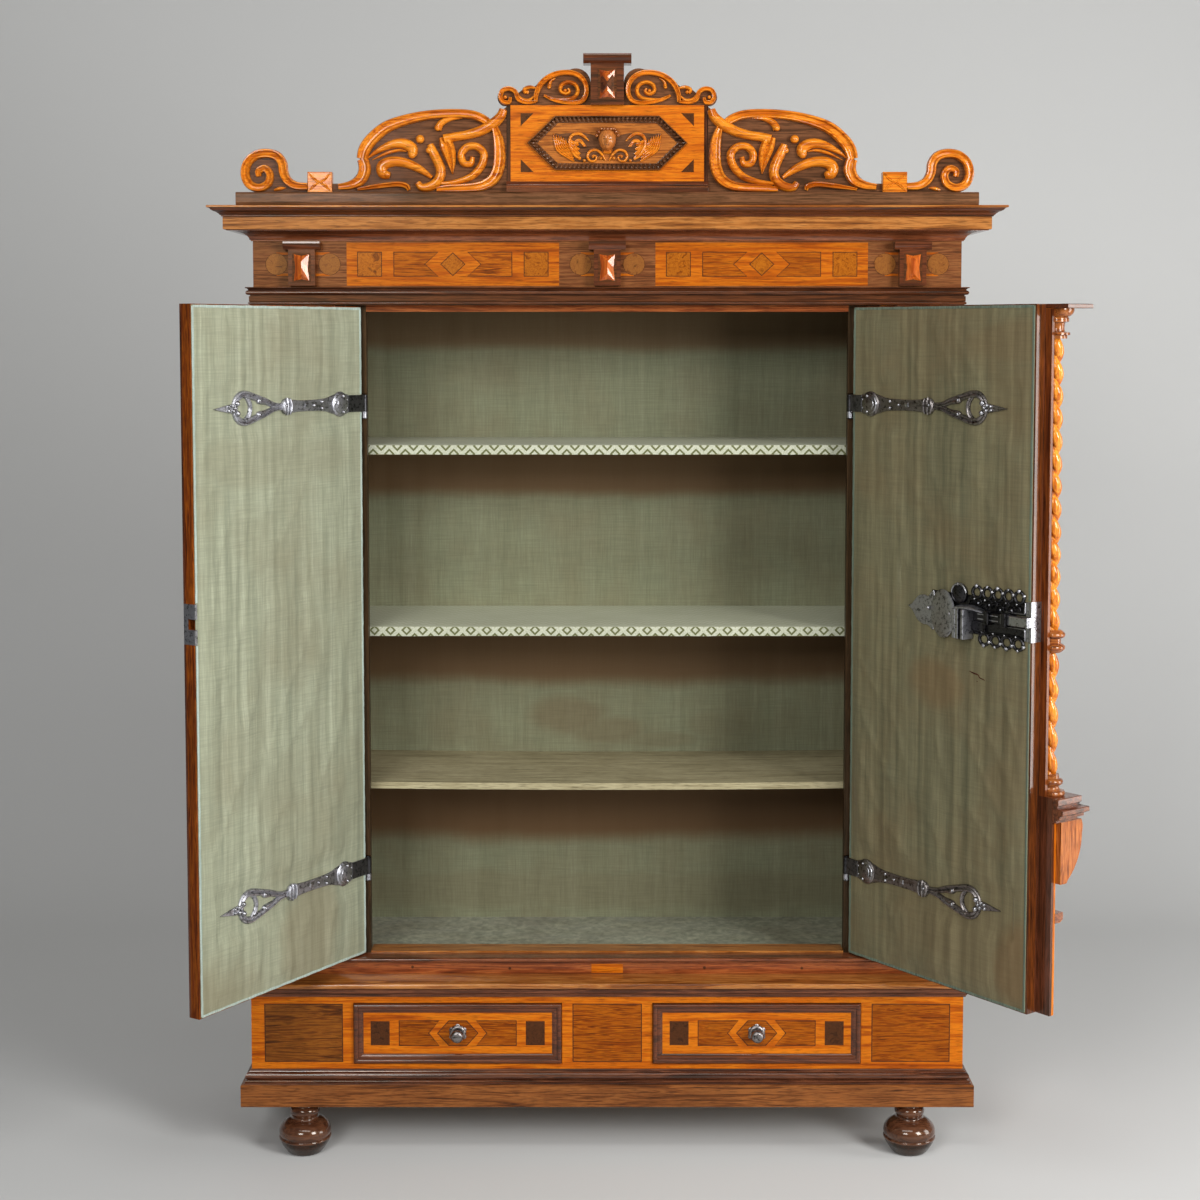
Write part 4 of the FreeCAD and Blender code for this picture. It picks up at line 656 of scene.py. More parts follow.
def smooth(points: Points, fine: int, closed: bool = False) -> list[Point]:
    """Soft curve through points of two numbers, or of three where a band's width changes.

    Args:
        points: Points that the curve passes.
        fine: Steps between two points.
        closed: Whether the curve comes back to its start.

    Returns:
        The curve's points.
    """
    count = len(points)
    curve: list[Point] = []
    for index in range(count if closed else count - 1):
        near = [index + shift for shift in (-1, 0, 1, 2)]
        corners = [points[i % count] if closed else points[min(max(i, 0), count - 1)] for i in near]
        for t in (step / fine for step in range(fine)):
            curve.append(tuple(
                0.5 * (2 * q + (r - p) * t + (2 * p - 5 * q + 4 * r - s) * t * t
                       + (3 * q - p - 3 * r + s) * t ** 3)
                for p, q, r, s in zip(*corners)
            ))
    return curve if closed else [*curve, tuple(points[-1])]


def inset(outline: Points, reach: float) -> list[Point]:
    """Outline drawn in by an even distance, without closing its corners.

    Args:
        outline: Points of the outline.
        reach: Distance inwards.

    Returns:
        The points of the smaller outline.
    """
    beyond = [*outline[1:], outline[0]]
    area = sum(a[0] * b[1] - b[0] * a[1] for a, b in zip(outline, beyond))
    points = []
    for (a, b), (u, v), (c, d) in zip([outline[-1], *outline], outline, beyond):
        first, second = Vector((u - a, v - b)).normalized(), Vector((c - u, d - v)).normalized()
        side = Vector((-first.y, first.x))
        normal = side + Vector((-second.y, second.x))
        normal = (side if normal.length < 1e-6 else normal).normalized()
        draw = (reach if area > 0 else -reach) / max(0.5, side.dot(normal))
        points.append((u + draw * normal.x, v + draw * normal.y))
    return points


def rectangle(left: float, right: float, low: float, high: float) -> list[Point]:
    """Outline of a rectangle."""
    return [(left, low), (right, low), (right, high), (left, high)]


def around(u: float, v: float, radius: float, count: int) -> list[Point]:
    """Points evenly spaced on a circle."""
    angles = [2 * math.pi * index / count for index in range(count)]
    return [(u + radius * math.cos(angle), v + radius * math.sin(angle)) for angle in angles]


def bead(out: float, v: float, radius: float, start: float, end: float, steps: int = 9) -> list[Point]:
    """Round part of a moulding's section."""
    angles = [math.radians(start + (end - start) * index / (steps - 1)) for index in range(steps)]
    return [(out + radius * math.cos(angle), v + radius * math.sin(angle)) for angle in angles]


@dataclass(frozen=True)
class Extent:
    """Box round a CAD node at rest, in millimetres."""

    low: Vector
    high: Vector

    @classmethod
    def of(cls, node: str) -> "Extent":
        """Box of a node."""
        low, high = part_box(node)
        return cls(low / MM, high / MM)

    @property
    def middle(self) -> Vector:
        """Its centre."""
        return (self.low + self.high) / 2

    @property
    def half(self) -> Vector:
        """Half its size."""
        return (self.high - self.low) / 2


def dress(finish: Finish, *nodes: str) -> None:
    """Give CAD nodes a finish.

    Args:
        finish: Surface finish.
        nodes: Names of the CAD nodes.
    """
    for name in nodes:
        thing = FRAME["nodes"][name]
        if not thing.material_slots:
            thing.data.materials.append(finish.material())
        for part in thing.material_slots:
            part.material = finish.material()
        LOG.info("CAD node %s wears %s", name, finish.name)


class Sketch:
    """Faces drawn on a working plane, which become one piece of the scene.

    Its tools measure their points from its home on the plane. Where its turn is -1, they mirror them across.
    """

    def __init__(self, place: Place) -> None:
        """Start an empty sketch on a working plane."""
        self.place = place
        self.mesh = bmesh.new()
        self.finishes: list[Finish] = []
        self.home = (0.0, 0.0)
        self.turn = 1

    def moved(self, points: Points) -> list[Point]:
        """Points carried to the sketch's home, mirrored where it is turned."""
        return [(self.turn * (p[0] + self.home[0]), p[1] + self.home[1], *p[2:]) for p in points]

    def loft(self, rings: Sequence[Points], finish: Finish, joined: bool = False) -> None:
        """Skin over rings of points that have the same count. It doesn't move them.

        Args:
            rings: Closed rings of u, v and w.
            finish: Surface finish.
            joined: Whether the last ring runs on into the first, and no end is closed.
        """
        if finish not in self.finishes:
            self.finishes.append(finish)
        made = [[self.mesh.verts.new(self.place.at(*point)) for point in ring] for ring in rings]
        faces = []
        for low, high in zip(made, made[1:] + made[:1] if joined else made[1:]):
            for a, b, c, d in zip(low, low[1:] + low[:1], high[1:] + high[:1], high):
                faces.append(self.mesh.faces.new((a, b, c, d)))
        if not joined:
            faces.append(self.mesh.faces.new(made[0][::-1]))
            faces.append(self.mesh.faces.new(made[-1]))
        for face in faces:
            face.material_index = self.finishes.index(finish)

    def slab(self, outline: Points, low: float, high: float, finish: Finish, edge: float = 0.0) -> None:
        """Flat piece with straight sides, and with an eased upper edge where one is asked for.

        Args:
            outline: Points of the outline.
            low: Its underside, out of the plane.
            high: Its top.
            finish: Surface finish.
            edge: Width of the eased edge.
        """
        outline = self.moved(outline)
        levels = [(outline, low), (outline, high - edge)]
        if edge:
            levels.append((inset(outline, edge), high))
        self.loft([[(u, v, w) for u, v in ring] for ring, w in levels], finish)

    def cuboid(self, u: Point, v: Point, w: Point, finish: Finish, ease: float = 0.6) -> None:
        """Block between pairs of u, v and w, with a slightly eased front."""
        self.slab(rectangle(*u, *v), *w, finish, ease)

    def board(self, outline: Points, low: float, high: float, finish: Finish) -> None:
        """Level board between two heights. Its outline is u and w, and isn't moved."""
        self.loft([[(u, v, w) for u, w in outline] for v in (low, high)], finish)

    def prism(self, section: Points, half: float, finish: Finish) -> None:
        """Section of w and v, drawn out to both sides."""
        self.loft([[(u, v, w) for w, v in section] for u in (-half, half)], finish)

    def turned(self, profile: Points, u: float, w: float, finish: Finish, sides: int) -> None:
        """Piece turned about an upright axis."""
        rings = [(around(u, w, max(radius, THINNEST), sides), v) for radius, v in profile]
        self.loft([[(x, v, y) for x, y in ring] for ring, v in rings], finish)

    def button(self, profile: Points, u: float, v: float, finish: Finish, sides: int) -> None:
        """Piece turned about an axis that stands out of the plane.

        Args:
            profile: Radius and distance out of the plane.
            u: The axis across.
            v: The axis upwards.
            finish: Surface finish.
            sides: Steps round the axis.
        """
        centre = self.moved([(u, v)])[0]
        rings = [(around(*centre, max(radius, THINNEST), sides), w) for radius, w in profile]
        self.loft([[(x, y, w) for x, y in ring] for ring, w in rings], finish)

    def ball(self, u: float, v: float, w: float, radius: float, finish: Finish, sides: int = 16) -> None:
        """Ball about a point."""
        steps = [math.pi * index / (sides // 2) for index in range(sides // 2 + 1)]
        self.button([(radius * math.sin(s), w - radius * math.cos(s)) for s in steps], u, v, finish, sides)

    def band(self, route: Points, width: float, low: float, rise: float, finish: Finish,
             section: Points = PLAIN,
             fine: int = 0, closed: bool = False) -> None:
        """Raised band along a route. A third number in the route scales the band there.

        Args:
            route: Points of its middle line.
            width: Full width.
            low: Its foot, out of the plane.
            rise: Its height over the foot.
            finish: Surface finish.
            section: Half widths and heights of its cross-section in shares.
            fine: Steps between two points where the route is to be smoothed first.
            closed: Whether the route comes back to its start.
        """
        route = self.moved(smooth(route, fine) if fine else route)
        rings = []
        for index, (u, v, *more) in enumerate(route):
            after = route[(index + 1) % len(route)] if closed or index + 1 < len(route) else route[index]
            before = route[index - 1] if closed or index else route[0]
            run, climb = after[0] - before[0], after[1] - before[1]
            length = math.hypot(run, climb) or 1.0
            scale = more[0] if more else 1.0
            half = width / 2 * scale
            lift = rise * min(1.0, 0.35 + 0.65 * scale)
            rings.append([
                (u - climb / length * a * half, v + run / length * a * half, low + b * lift) for a,
                b in section
            ])
        self.loft(rings, finish, joined=closed)

    def piece(self, name: str, body: str, slot: str, replaces: Sequence[str] = (), soft: bool = True,
              bevel: float = 0.0) -> bpy.types.Object:
        """Turn the sketch into a piece that rides on a body.

        Args:
            name: The piece's name.
            body: CAD body that it moves with.
            slot: Not used.
            replaces: CAD nodes that it stands for.
            soft: Whether its gentle angles are shaded smooth.
            bevel: Width of a bevel on its sharp edges, in millimetres.

        Returns:
            The Blender object.
        """
        bmesh.ops.recalc_face_normals(self.mesh, faces=self.mesh.faces)
        data = bpy.data.meshes.new(name)
        self.mesh.to_mesh(data)
        self.mesh.free()
        for finish in self.finishes:
            data.materials.append(finish.material())
        thing = bpy.data.objects.new(name, data)
        bpy.context.scene.collection.objects.link(thing)
        if soft:
            data.shade_smooth()
            data.set_sharp_from_angle(angle=math.radians(38))
        if bevel:
            edge = thing.modifiers.new("worn_edges", "BEVEL")
            edge.width = bevel * MM
            edge.segments = 2
            edge.limit_method = "ANGLE"
            edge.angle_limit = math.radians(40)
        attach(thing, body)
        if replaces:
            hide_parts(*replaces)
        LOG.info("piece %s on %s: %d faces", name, body, len(data.polygons))
        return thing


class Inlay(Sketch):
    """Veneers laid in a panel. Each layer stands a hair over the last, as old glue lines do."""

    tier: ClassVar[float] = 0.22
    seat: ClassVar[float] = 0.3

    def lay(self, outline: Points, level: int, finish: Finish) -> None:
        """Lay one veneer in a layer, counted from 1."""
        self.slab(outline, -self.seat, self.tier * level, finish)

    def edged(self, box: Point, level: int, line: float, field: Finish) -> None:
        """Lay a rectangle with a thin line of stringing round it.

        Args:
            box: Left, right, low and high.
            level: Layer of the stringing.
            line: Width of the stringing.
            field: Wood of the field inside.
        """
        left, right, low, high = box
        self.lay(rectangle(left, right, low, high), level, STRINGING)
        self.lay(rectangle(left + line, right - line, low + line, high - line), level + 1, field)

    def hexagon(self, centre: Point, half: float, flat: float, height: float, level: int,
                finish: Finish) -> None:
        """Lay a hexagon with its long diagonal level.

        Args:
            centre: Its centre.
            half: Half its long diagonal.
            flat: Half of its upper edge.
            height: Half its height.
            level: Its layer.
            finish: Its wood.
        """
        u, v = centre
        self.lay([
            (u - half, v), (u - flat, v - height), (u + flat, v - height), (u + half, v),
            (u + flat, v + height), (u - flat, v + height),
        ], level, finish)


@dataclass(frozen=True)
class Moulding:
    """Moulding that runs round the front and both sides, mitred at the corners."""

    half: float
    face: float = 0.0

    def run(self, sketch: Sketch, profile: Points, finish: Finish) -> None:
        """Sweep a section round three sides.

        Args:
            sketch: Sketch on the carcass front that gets it.
            profile: Closed section: distance out from the boards, and height.
            finish: Surface finish.
        """
        sketch.loft([
            [(way * (self.half + out), v, self.face + out if ahead else -CARCASS_DEPTH) for out, v in profile]
            for way, ahead in ((-1, False), (-1, True), (1, True), (1, False))
        ], finish)


@dataclass(frozen=True)
class Lamp:
    """Soft box of the studio, in millimetres and watts."""

    name: str
    place: Point
    aim: Point
    width: float
    height: float
    power: float

    def build(self) -> None:
        """Hang the lamp so that it faces its aim."""
        data = bpy.data.lights.new(self.name, "AREA")
        data.shape = "RECTANGLE"
        data.size = self.width * MM
        data.size_y = self.height * MM
        data.energy = self.power
        lamp = bpy.data.objects.new(self.name, data)
        lamp.location = Vector(self.place) * MM
        lamp.rotation_euler = (Vector(self.aim) - Vector(self.place)).to_track_quat("-Z", "Y").to_euler()
        bpy.context.scene.collection.objects.link(lamp)


@dataclass(frozen=True)
class Studio:
    """Camera, lamps and the pale floor that runs up into a backdrop."""

    eye: Point = (-8.0, -4886.0, 1819.0)
    tilt: float = 4.0
    lens_mm: float = 60.9
    sensor_mm: float = 36.0
    shift_x: float = -0.003
    shift_y: float = -0.1025
    reach: float = 60.0
    floor_half: float = 9000.0
    floor_front: float = -9000.0
    wall_y: float = 2600.0
    wall_bend: float = 1400.0
    bend_share: float = 0.293
    wall_height: float = 6500.0
    lamps: tuple[Lamp, ...] = (
        Lamp("key_softbox", (3300, -3900, 2500), (0, -300, 1250), 1500, 2400, 220),
        Lamp("front_softbox", (-1900, -5900, 3250), (0, -300, 1250), 2000, 1500, 150),
        Lamp("overhead_softbox", (-300, -2900, 3900), (0, -300, 700), 3200, 700, 42),
        Lamp("right_softbox", (4300, -1100, 1300), (0, -500, 1200), 1200, 2400, 70),
    )

    def build(self) -> None:
        """Set the camera, the lamps, the world and the floor."""
        self.set_camera()
        for lamp in self.lamps:
            lamp.build()
        self.set_world()
        self.build_floor()
        bpy.context.scene.view_settings.view_transform = "Standard"

    def set_camera(self) -> None:
        """Camera as the photograph was taken."""
        data = bpy.data.cameras.new("camera")
        data.lens = self.lens_mm
        data.sensor_width = self.sensor_mm
        data.shift_x = self.shift_x
        data.shift_y = self.shift_y
        data.clip_end = self.reach
        camera = bpy.data.objects.new("camera", data)
        camera.location = Vector(self.eye) * MM
        camera.rotation_euler = (math.radians(90 - self.tilt), 0, 0)
        bpy.context.scene.collection.objects.link(camera)
        bpy.context.scene.camera = camera

    def set_world(self) -> None:
        """Even dim surroundings."""
        world = bpy.data.worlds.new("studio")
        world.use_nodes = True
        world.node_tree.nodes.clear()
        glow = add_node(world.node_tree, "Background", {"Color": linear("#D6D8DC"), "Strength": 0.17})
        add_node(world.node_tree, "OutputWorld", {"Surface": glow})
        bpy.context.scene.world = world

    def build_floor(self) -> None:
        """Floor that bends up into the backdrop."""
        foot, on_bend = self.wall_y - self.wall_bend, self.wall_bend * self.bend_share
        bend = arc((foot, 0), (self.wall_y - on_bend, on_bend), (self.wall_y, self.wall_bend), 16)
        side = [(self.floor_front, 0.0), (foot, 0.0), *bend, (self.wall_y, self.wall_height)]
        mesh = bmesh.new()
        rows = [[mesh.verts.new(Vector((x, y, z)) * MM) for x in (-self.floor_half, self.floor_half)] for y,
                z in side]
        for low, high in zip(rows, rows[1:]):
            mesh.faces.new((low[0], low[1], high[1], high[0]))
        data = bpy.data.meshes.new("floor")
        mesh.to_mesh(data)
        mesh.free()
        data.shade_smooth()
        data.materials.append(BACKDROP.material())
        floor = bpy.data.objects.new("floor", data)
        bpy.context.scene.collection.objects.link(floor)


@dataclass(frozen=True)
class Base:
    """Feet, plinth and the drawer storey with its inlaid front."""

    half: float = 789.0
    face: float = 60.0
    strip: float = 13.0
    string: float = 2.2
    side_gap: float = 29.0
    drawer_gap: float = 24.0
    foot_sides: int = 48

    def build(self) -> None:
        """Dress the CAD nodes and lay the inlay."""
        dress(ORANGE, "base_front_frame")
        dress(WALNUT, "base_sides")
        dress(RAW_LEVEL, "base_back", "drawer_guides")
        for side in Side:
            self.turn_foot(side)
        self.run_plinth()
        self.run_top()
        self.lay_front()

    def turn_foot(self, side: Side) -> None:
        """Squat bun with a ring over it and an almost black lower half.

        Args:
            side: The side.
        """
        node = f"foot_{side.word}"
        box = Extent.of(node)
        tall = box.high.z
        sketch = Sketch(front_place(0))
        for shares, finish in ((BUN_LOWER, BLACKENED), (BUN_UPPER, BUN)):
            profile = smooth([(r * box.half.x, v * tall) for r, v in shares], 5)
            low, high = ((THINNEST, share[1] * tall) for share in (shares[0], shares[-1]))
            sketch.turned([low, *profile, high], box.middle.x, -box.middle.y, finish, self.foot_sides)
        sketch.piece(f"bun_foot_{side.word}", "cabinet", node, [node])

    def run_plinth(self) -> None:
        """Striped plinth board under a dark round with two fillets."""
        sketch = Sketch(front_place(CARCASS_FRONT))
        run = Moulding(self.half, self.face)
        run.run(sketch, [(-24, 114), (20.8, 114), (22, 115.2), (22, 162), (20.5, 163.5), (-24, 163.5)],
                WALNUT)
        run.run(sketch, [
            (-24, 163.5), (16.5, 163.5), (16.5, 166), (13.5, 166.6), (14.4, 169), (13.5, 171.4), (11, 172),
            *bead(4.5, 180, 8.2, -64, 84), (5, 188.6), (4.5, 190.4), (2.5, 191), (2.5, 194), (-24, 194),
        ], PLINTH_BEAD)
        sketch.piece("moulded_plinth", "cabinet", "plinth", ["plinth"])

    def run_top(self) -> None:
        """Top board of the base with its cove, painted dark as shade under the nosing, and its flat and
        nosing, painted bright as a highlight.
        """
        sketch = Sketch(front_place(CARCASS_FRONT))
        sketch.board(rectangle(-self.half, self.half, -CARCASS_DEPTH, self.face), 358.0, 380.0, RAW_LEVEL)
        run = Moulding(self.half, self.face)
        # The cove under the nosing is painted dark, as painted shade.
        run.run(sketch, [
            (0, 378.5), (0, 358), (4.5, 358), (4.5, 360.5), *bead(14.5, 359.5, 9.0, 170, 100, 6), (13.5, 369),
            (13.5, 377), (11.5, 378.5),
        ], SHADED_COVE)
        # The round above the cove and the flat behind it get the paler wood: a painted highlight on the round.
        run.run(sketch, [
            (-27, 380), (0, 380), (0, 378.5), (13, 378.5), (14, 381), *bead(22, 388, 7.0, -92, 92, 13),
            (20, 395.6),
            (0, 400), (-27, 400),
        ], WEAR_AND_HIGHLIGHT)
        sketch.piece("moulded_base_top", "cabinet", "base_top", ["base_top"])

    def lay_front(self) -> None:
        """Burl panels in dark stringing beside and between the drawers."""
        frame = Extent.of("base_front_frame")
        left, right = Extent.of("drawer_left"), Extent.of("drawer_right")
        sketch = Inlay(front_place(frame.low.y))
        low, high = frame.low.z + self.strip + 2, frame.high.z - self.strip - 4
        for start, end, field in (
            (frame.low.x + self.side_gap, left.low.x - self.drawer_gap, SMOKY_FIELD),
            (left.high.x + self.drawer_gap, right.low.x - self.drawer_gap, FIELD),
            (right.high.x + self.drawer_gap, frame.high.x - self.side_gap, FIELD),
        ):
            sketch.edged((start, end, low, high), 1, self.string, field)
        sketch.piece("base_inlay", "cabinet", "base_front_frame")


BUN_LOWER = ((0.60, 0.0), (0.68, 0.025), (0.80, 0.11), (0.90, 0.19), (0.94, 0.25), (0.945, 0.28))
BUN_UPPER = (
    (0.93, 0.275), (0.99, 0.285), (1.0, 0.305), (0.985, 0.325), (0.955, 0.335), (0.985, 0.38), (0.99, 0.43),
    (0.95, 0.51), (0.85, 0.58), (0.70, 0.635), (0.55, 0.665), (0.50, 0.685), (0.49, 0.71), (0.52, 0.74),
    (0.56, 0.79), (0.57, 0.83), (0.54, 0.88), (0.47, 0.915), (0.45, 0.94), (0.47, 0.97), (0.49, 1.0),
)


@dataclass(frozen=True)
class Drawer:
    """One drawer: its dressed CAD box, the inlaid field and the petals under its knob."""

    side: Side
    field_margin: float = 21.5
    burl_margin: float = 19.0
    square_in: float = 16.0
    square: float = 42.0
    field: float = 129.0
    tip: float = 66.0
    mouth: float = 42.0
    petals: int = 6
    petal_reach: float = 15.5

    def build(self) -> None:
        """Dress the CAD nodes and lay the field."""
        node = f"drawer_{self.side.word}"
        dress(DARK_WALNUT, node)
        dress(BROWNED_IRON, node + "_knob")
        box, knob = Extent.of(node), Extent.of(node + "_knob")
        u, v = knob.middle.x, knob.middle.z
        place = front_place(Extent.of("base_front_frame").low.y)
        sketch = Inlay(place)
        sketch.home = (u, v)
        half, height = box.half.x - self.field_margin, box.half.z - self.field_margin
        sketch.lay(rectangle(-half, half, -height, height), 1, ORANGE)
        tall = height - self.burl_margin
        for way in (-1, 1):
            far = half - self.square_in
            left, right = sorted((way * (far - self.square), way * far))
            sketch.edged((left, right, -tall, tall), 2, 2.0, DARK_BURL)
            for level, grow, finish in ((2, 1.8, STRINGING), (3, 0.0, FIELD)):
                edge, tip, mouth = way * (self.field
                                          + grow), way * (self.tip - grow * 1.5), way * (self.mouth - grow)
                high = tall + grow
                sketch.lay([(edge, -high), (edge, high), (mouth, high), (tip, 0), (mouth, -high)], level,
                           finish)
        sketch.hexagon((0, 0), 46, 20, tall + 1.8, 2, STRINGING)
        sketch.hexagon((0, 0), 43.5, 19, tall, 3, FIELD)
        sketch.piece(f"{node}_inlay", node, node)
        sketch = Sketch(place)
        for index in range(self.petals):
            angle = 2 * math.pi * (index + 0.5) / self.petals
            x, z = u + self.petal_reach * math.cos(angle), v + self.petal_reach * math.sin(angle)
            sketch.button([(5.2, 0.2), (5.6, 1.2), (4.2, 2.2), (0, 2.6)], x, z, BROWNED_IRON, 16)
        sketch.piece(f"{node}_petals", node, node + "_knob")


@dataclass(frozen=True)
class Carcass:
    """Boards of the carcass and the mouldings that run round it."""

    inlay_half: float = 35.0
    inlay_height: float = 20.0
    nails: int = 7
    first_nail: float = -650.0
    nail_pitch: float = 216.7

    def build(self) -> None:
        """Dress the CAD nodes and run the mouldings under and over the doors."""
        dress(FASCIA, "carcass_floor", "top_rail")
        dress(WEAR_AND_HIGHLIGHT, "sill")
        dress(DARK_WALNUT, "frieze_consoles")
        self.run_ledge()
        self.run_architrave()
        dress(SIDE_BOARD, "carcass_side_left", "carcass_side_right")
        # The stiles are painted almost black, as painted shade in the opening.
        dress(SHADED_STILE, "front_stile_left", "front_stile_right")
        dress(RAW_BOARD, "carcass_back", "shelf_cleats")
        dress(RAW_LEVEL, "carcass_top")
        dress(ORANGE_UPRIGHT, "pilasters")
        dress(IRON, "hinge_hooks")

    def run_ledge(self) -> None:
        """Fascia with its nails and inlaid block, under a waxed round."""
        sketch = Sketch(front_place(CARCASS_FRONT))
        run = Moulding(CARCASS_HALF)
        run.run(sketch, [(0, 400), (32.4, 400), (33, 400.6), (33, 427), (0, 427)], FASCIA)
        run.run(sketch, [
            (0, 427), (34.5, 427), (34.5, 428.6), (36.6, 429.2), *bead(40, 433.4, 4.6, -100, 92, 11),
            (38, 438),
            (0, 438),
        ], GLOSSY)
        sketch.slab(rectangle(-self.inlay_half, self.inlay_half, 402.5, 402.5 + self.inlay_height), 32.5,
                    33.4, ORANGE)
        for index in range(self.nails):
            u = self.first_nail + index * self.nail_pitch
            if abs(u) > self.inlay_half:
                sketch.button([(3.4, 32.5), (3.2, 33.6), (0, 34.0)], u, 414 + 2 * math.sin(index * 2.4),
                              STRINGING, 12)
        sketch.piece("moulded_ledge", "cabinet", "ledge_moulding", ["ledge_moulding"])

    def run_architrave(self) -> None:
        """Architrave: small round, flat, hollow, larger round and a top fillet."""
        sketch = Sketch(front_place(CARCASS_FRONT))
        run = Moulding(CARCASS_HALF)
        run.run(sketch, [
            (0, 1884), (26.5, 1884), (26.5, 1885.4), *bead(27.6, 1888.2, 2.8, -80, 80, 7), (26.4, 1891.2),
            (28.6, 1891.8), (28.6, 1903.5), (0, 1903.5),
        ], SMOKED)
        run.run(sketch, [
            (0, 1903.5), (26.5, 1903.5), (26.5, 1905.6), (29.4, 1906), *bead(30.2, 1911, 4.8, -80, 78, 9),
            (29.8, 1916.2), (30.4, 1918.4), (32.4, 1920.2), (35.6, 1920.8), (35.8, 1923), (0, 1923),
        ], SMOKED)
        sketch.piece("moulded_architrave", "cabinet", "architrave", ["architrave"])


@dataclass(frozen=True)
class Entablature:
    """Frieze with its marquetry, consoles with diamond points, and the cornice."""

    panel_in: float = 105.0
    panel_out: float = 568.0
    panel_edge: float = 23.0
    console: float = 663.0
    console_half: float = 24.0
    point_half: float = 17.0
    margin: float = 3.0
    square: float = 54.0
    medallion: float = 24.0
    beside: float = 58.0
    board_in: float = 59.5

    def build(self) -> None:
        """Dress the CAD nodes and lay the frieze."""
        dress(FRIEZE_END, "frieze")
        dress(LEDGE, "pediment_ledge")
        self.run_cornice()
        self.lay_frieze()
        self.build_points()

    def run_cornice(self) -> None:
        """Dark hollow, pale worn corona and dark crown with a lip painted pale as a highlight, closed by a
        board.
        """
        sketch = Sketch(front_place(CARCASS_FRONT))
        run = Moulding(CARCASS_HALF)
        run.run(sketch, [
            (-60, 2023), (24, 2023), (24, 2025), (26, 2025.6), (27, 2029.4), (31, 2034.6), (38, 2039),
            (48, 2042),
            (60, 2043.6), (69, 2044), (69, 2046), (-60, 2046),
        ], GLOSSY)
        run.run(sketch, [(-60, 2046), (74, 2046), (75, 2047), (75, 2072.4), (74, 2073.4), (-60, 2073.4)],
                CORONA)
        run.run(sketch, [
            (-60, 2073.4), (77.6, 2073.4), (78.2, 2074), (78.2, 2076), (80, 2076.4), (82.6, 2079.4),
            (87, 2082.4),
            (92.6, 2084.4), (97, 2087), (99.4, 2090.6), (99.6, 2091), (-60, 2091),
        ], DARK_WALNUT)
        # The lip is painted pale as a highlight.
        run.run(sketch, [(-60, 2091), (103.4, 2091), (105, 2092.2), (105, 2094.6), (103.6, 2096),
                         (-60, 2096)], WEAR_AND_HIGHLIGHT)
        inner = CARCASS_HALF - self.board_in
        sketch.board(rectangle(-inner, inner, -CARCASS_DEPTH, -self.board_in), 2076.0, 2096.0, RAW_LEVEL)
        sketch.piece("moulded_cornice", "cabinet", "cornice", ["cornice"])

    def lay_frieze(self) -> None:
        """Two orange panels with burl fields, and burl medallions in the dark ends."""
        frieze = Extent.of("frieze")
        sketch = Inlay(front_place(frieze.low.y))
        sketch.home = (0.0, frieze.middle.z)
        tall = frieze.half.z - self.margin
        half = self.square / 2
        for way in (-1, 1):
            left, right = sorted((way * self.panel_in, way * self.panel_out))
            # The frieze's orange veneer is painted darker, as painted shade.
            sketch.lay(rectangle(left, right, -tall, tall), 1, SHADED_FRIEZE_ORANGE)
            for end in (left + self.panel_edge + half, right - self.panel_edge - half):
                sketch.edged((end - half, end + half, -half, half), 2, 1.8, BURL)
            centre = (left + right) / 2
            wide = (right - left) / 2 - self.panel_edge - self.square - 25
            sketch.edged((centre - wide, centre + wide, -half, half), 2, 1.8, FIELD)
            sketch.hexagon((centre, 0), 62.5, 32, half, 4, STRINGING)
            sketch.hexagon((centre, 0), 60, 31, half, 5, SHADED_FRIEZE_ORANGE)
            sketch.hexagon((centre, 0), 27.5, 0.4, half - 1.5, 6, STRINGING)
            sketch.hexagon((centre, 0), 25, 0.4, half - 4, 7, BURL)
            for place in (self.beside, self.console - self.beside, self.console + self.beside):
                self.lay_medallion(sketch, way * place)
        sketch.piece("frieze_inlay", "cabinet", "frieze")

    def lay_medallion(self, sketch: Inlay, u: float) -> None:
        """Faint round burl with a short orange bar above and below it, on the side of its console.

        Args:
            sketch: Sketch that gets it.
            u: Its centre across.
        """
        near = min((-self.console, 0.0, self.console), key=lambda place: abs(place - u))
        bars = sorted((u, near + math.copysign(self.console_half, u - near)))
        for low in (-self.medallion - 1.5, self.medallion - 3.5):
            sketch.lay(rectangle(*bars, low, low + 5), 1, SHADED_FRIEZE_ORANGE)
        ring = around(u, 0.0, self.medallion, 36)
        sketch.lay(ring, 2, STRINGING)
        sketch.lay(inset(ring, 1.0), 3, FAINT_BURL)

    def build_points(self) -> None:
        """Diamond points with a border line, in place of the plain ones."""
        points = Extent.of("console_points")
        centre = points.high.x - self.point_half
        sketch = Sketch(front_place(points.high.y))
        for u in (-centre, 0.0, centre):
            facet_point(sketch, (u, points.middle.z), self.point_half, points.half.z, 2 * points.half.y)
        sketch.piece("diamond_points", "cabinet", "console_points", ["console_points"], soft=False)


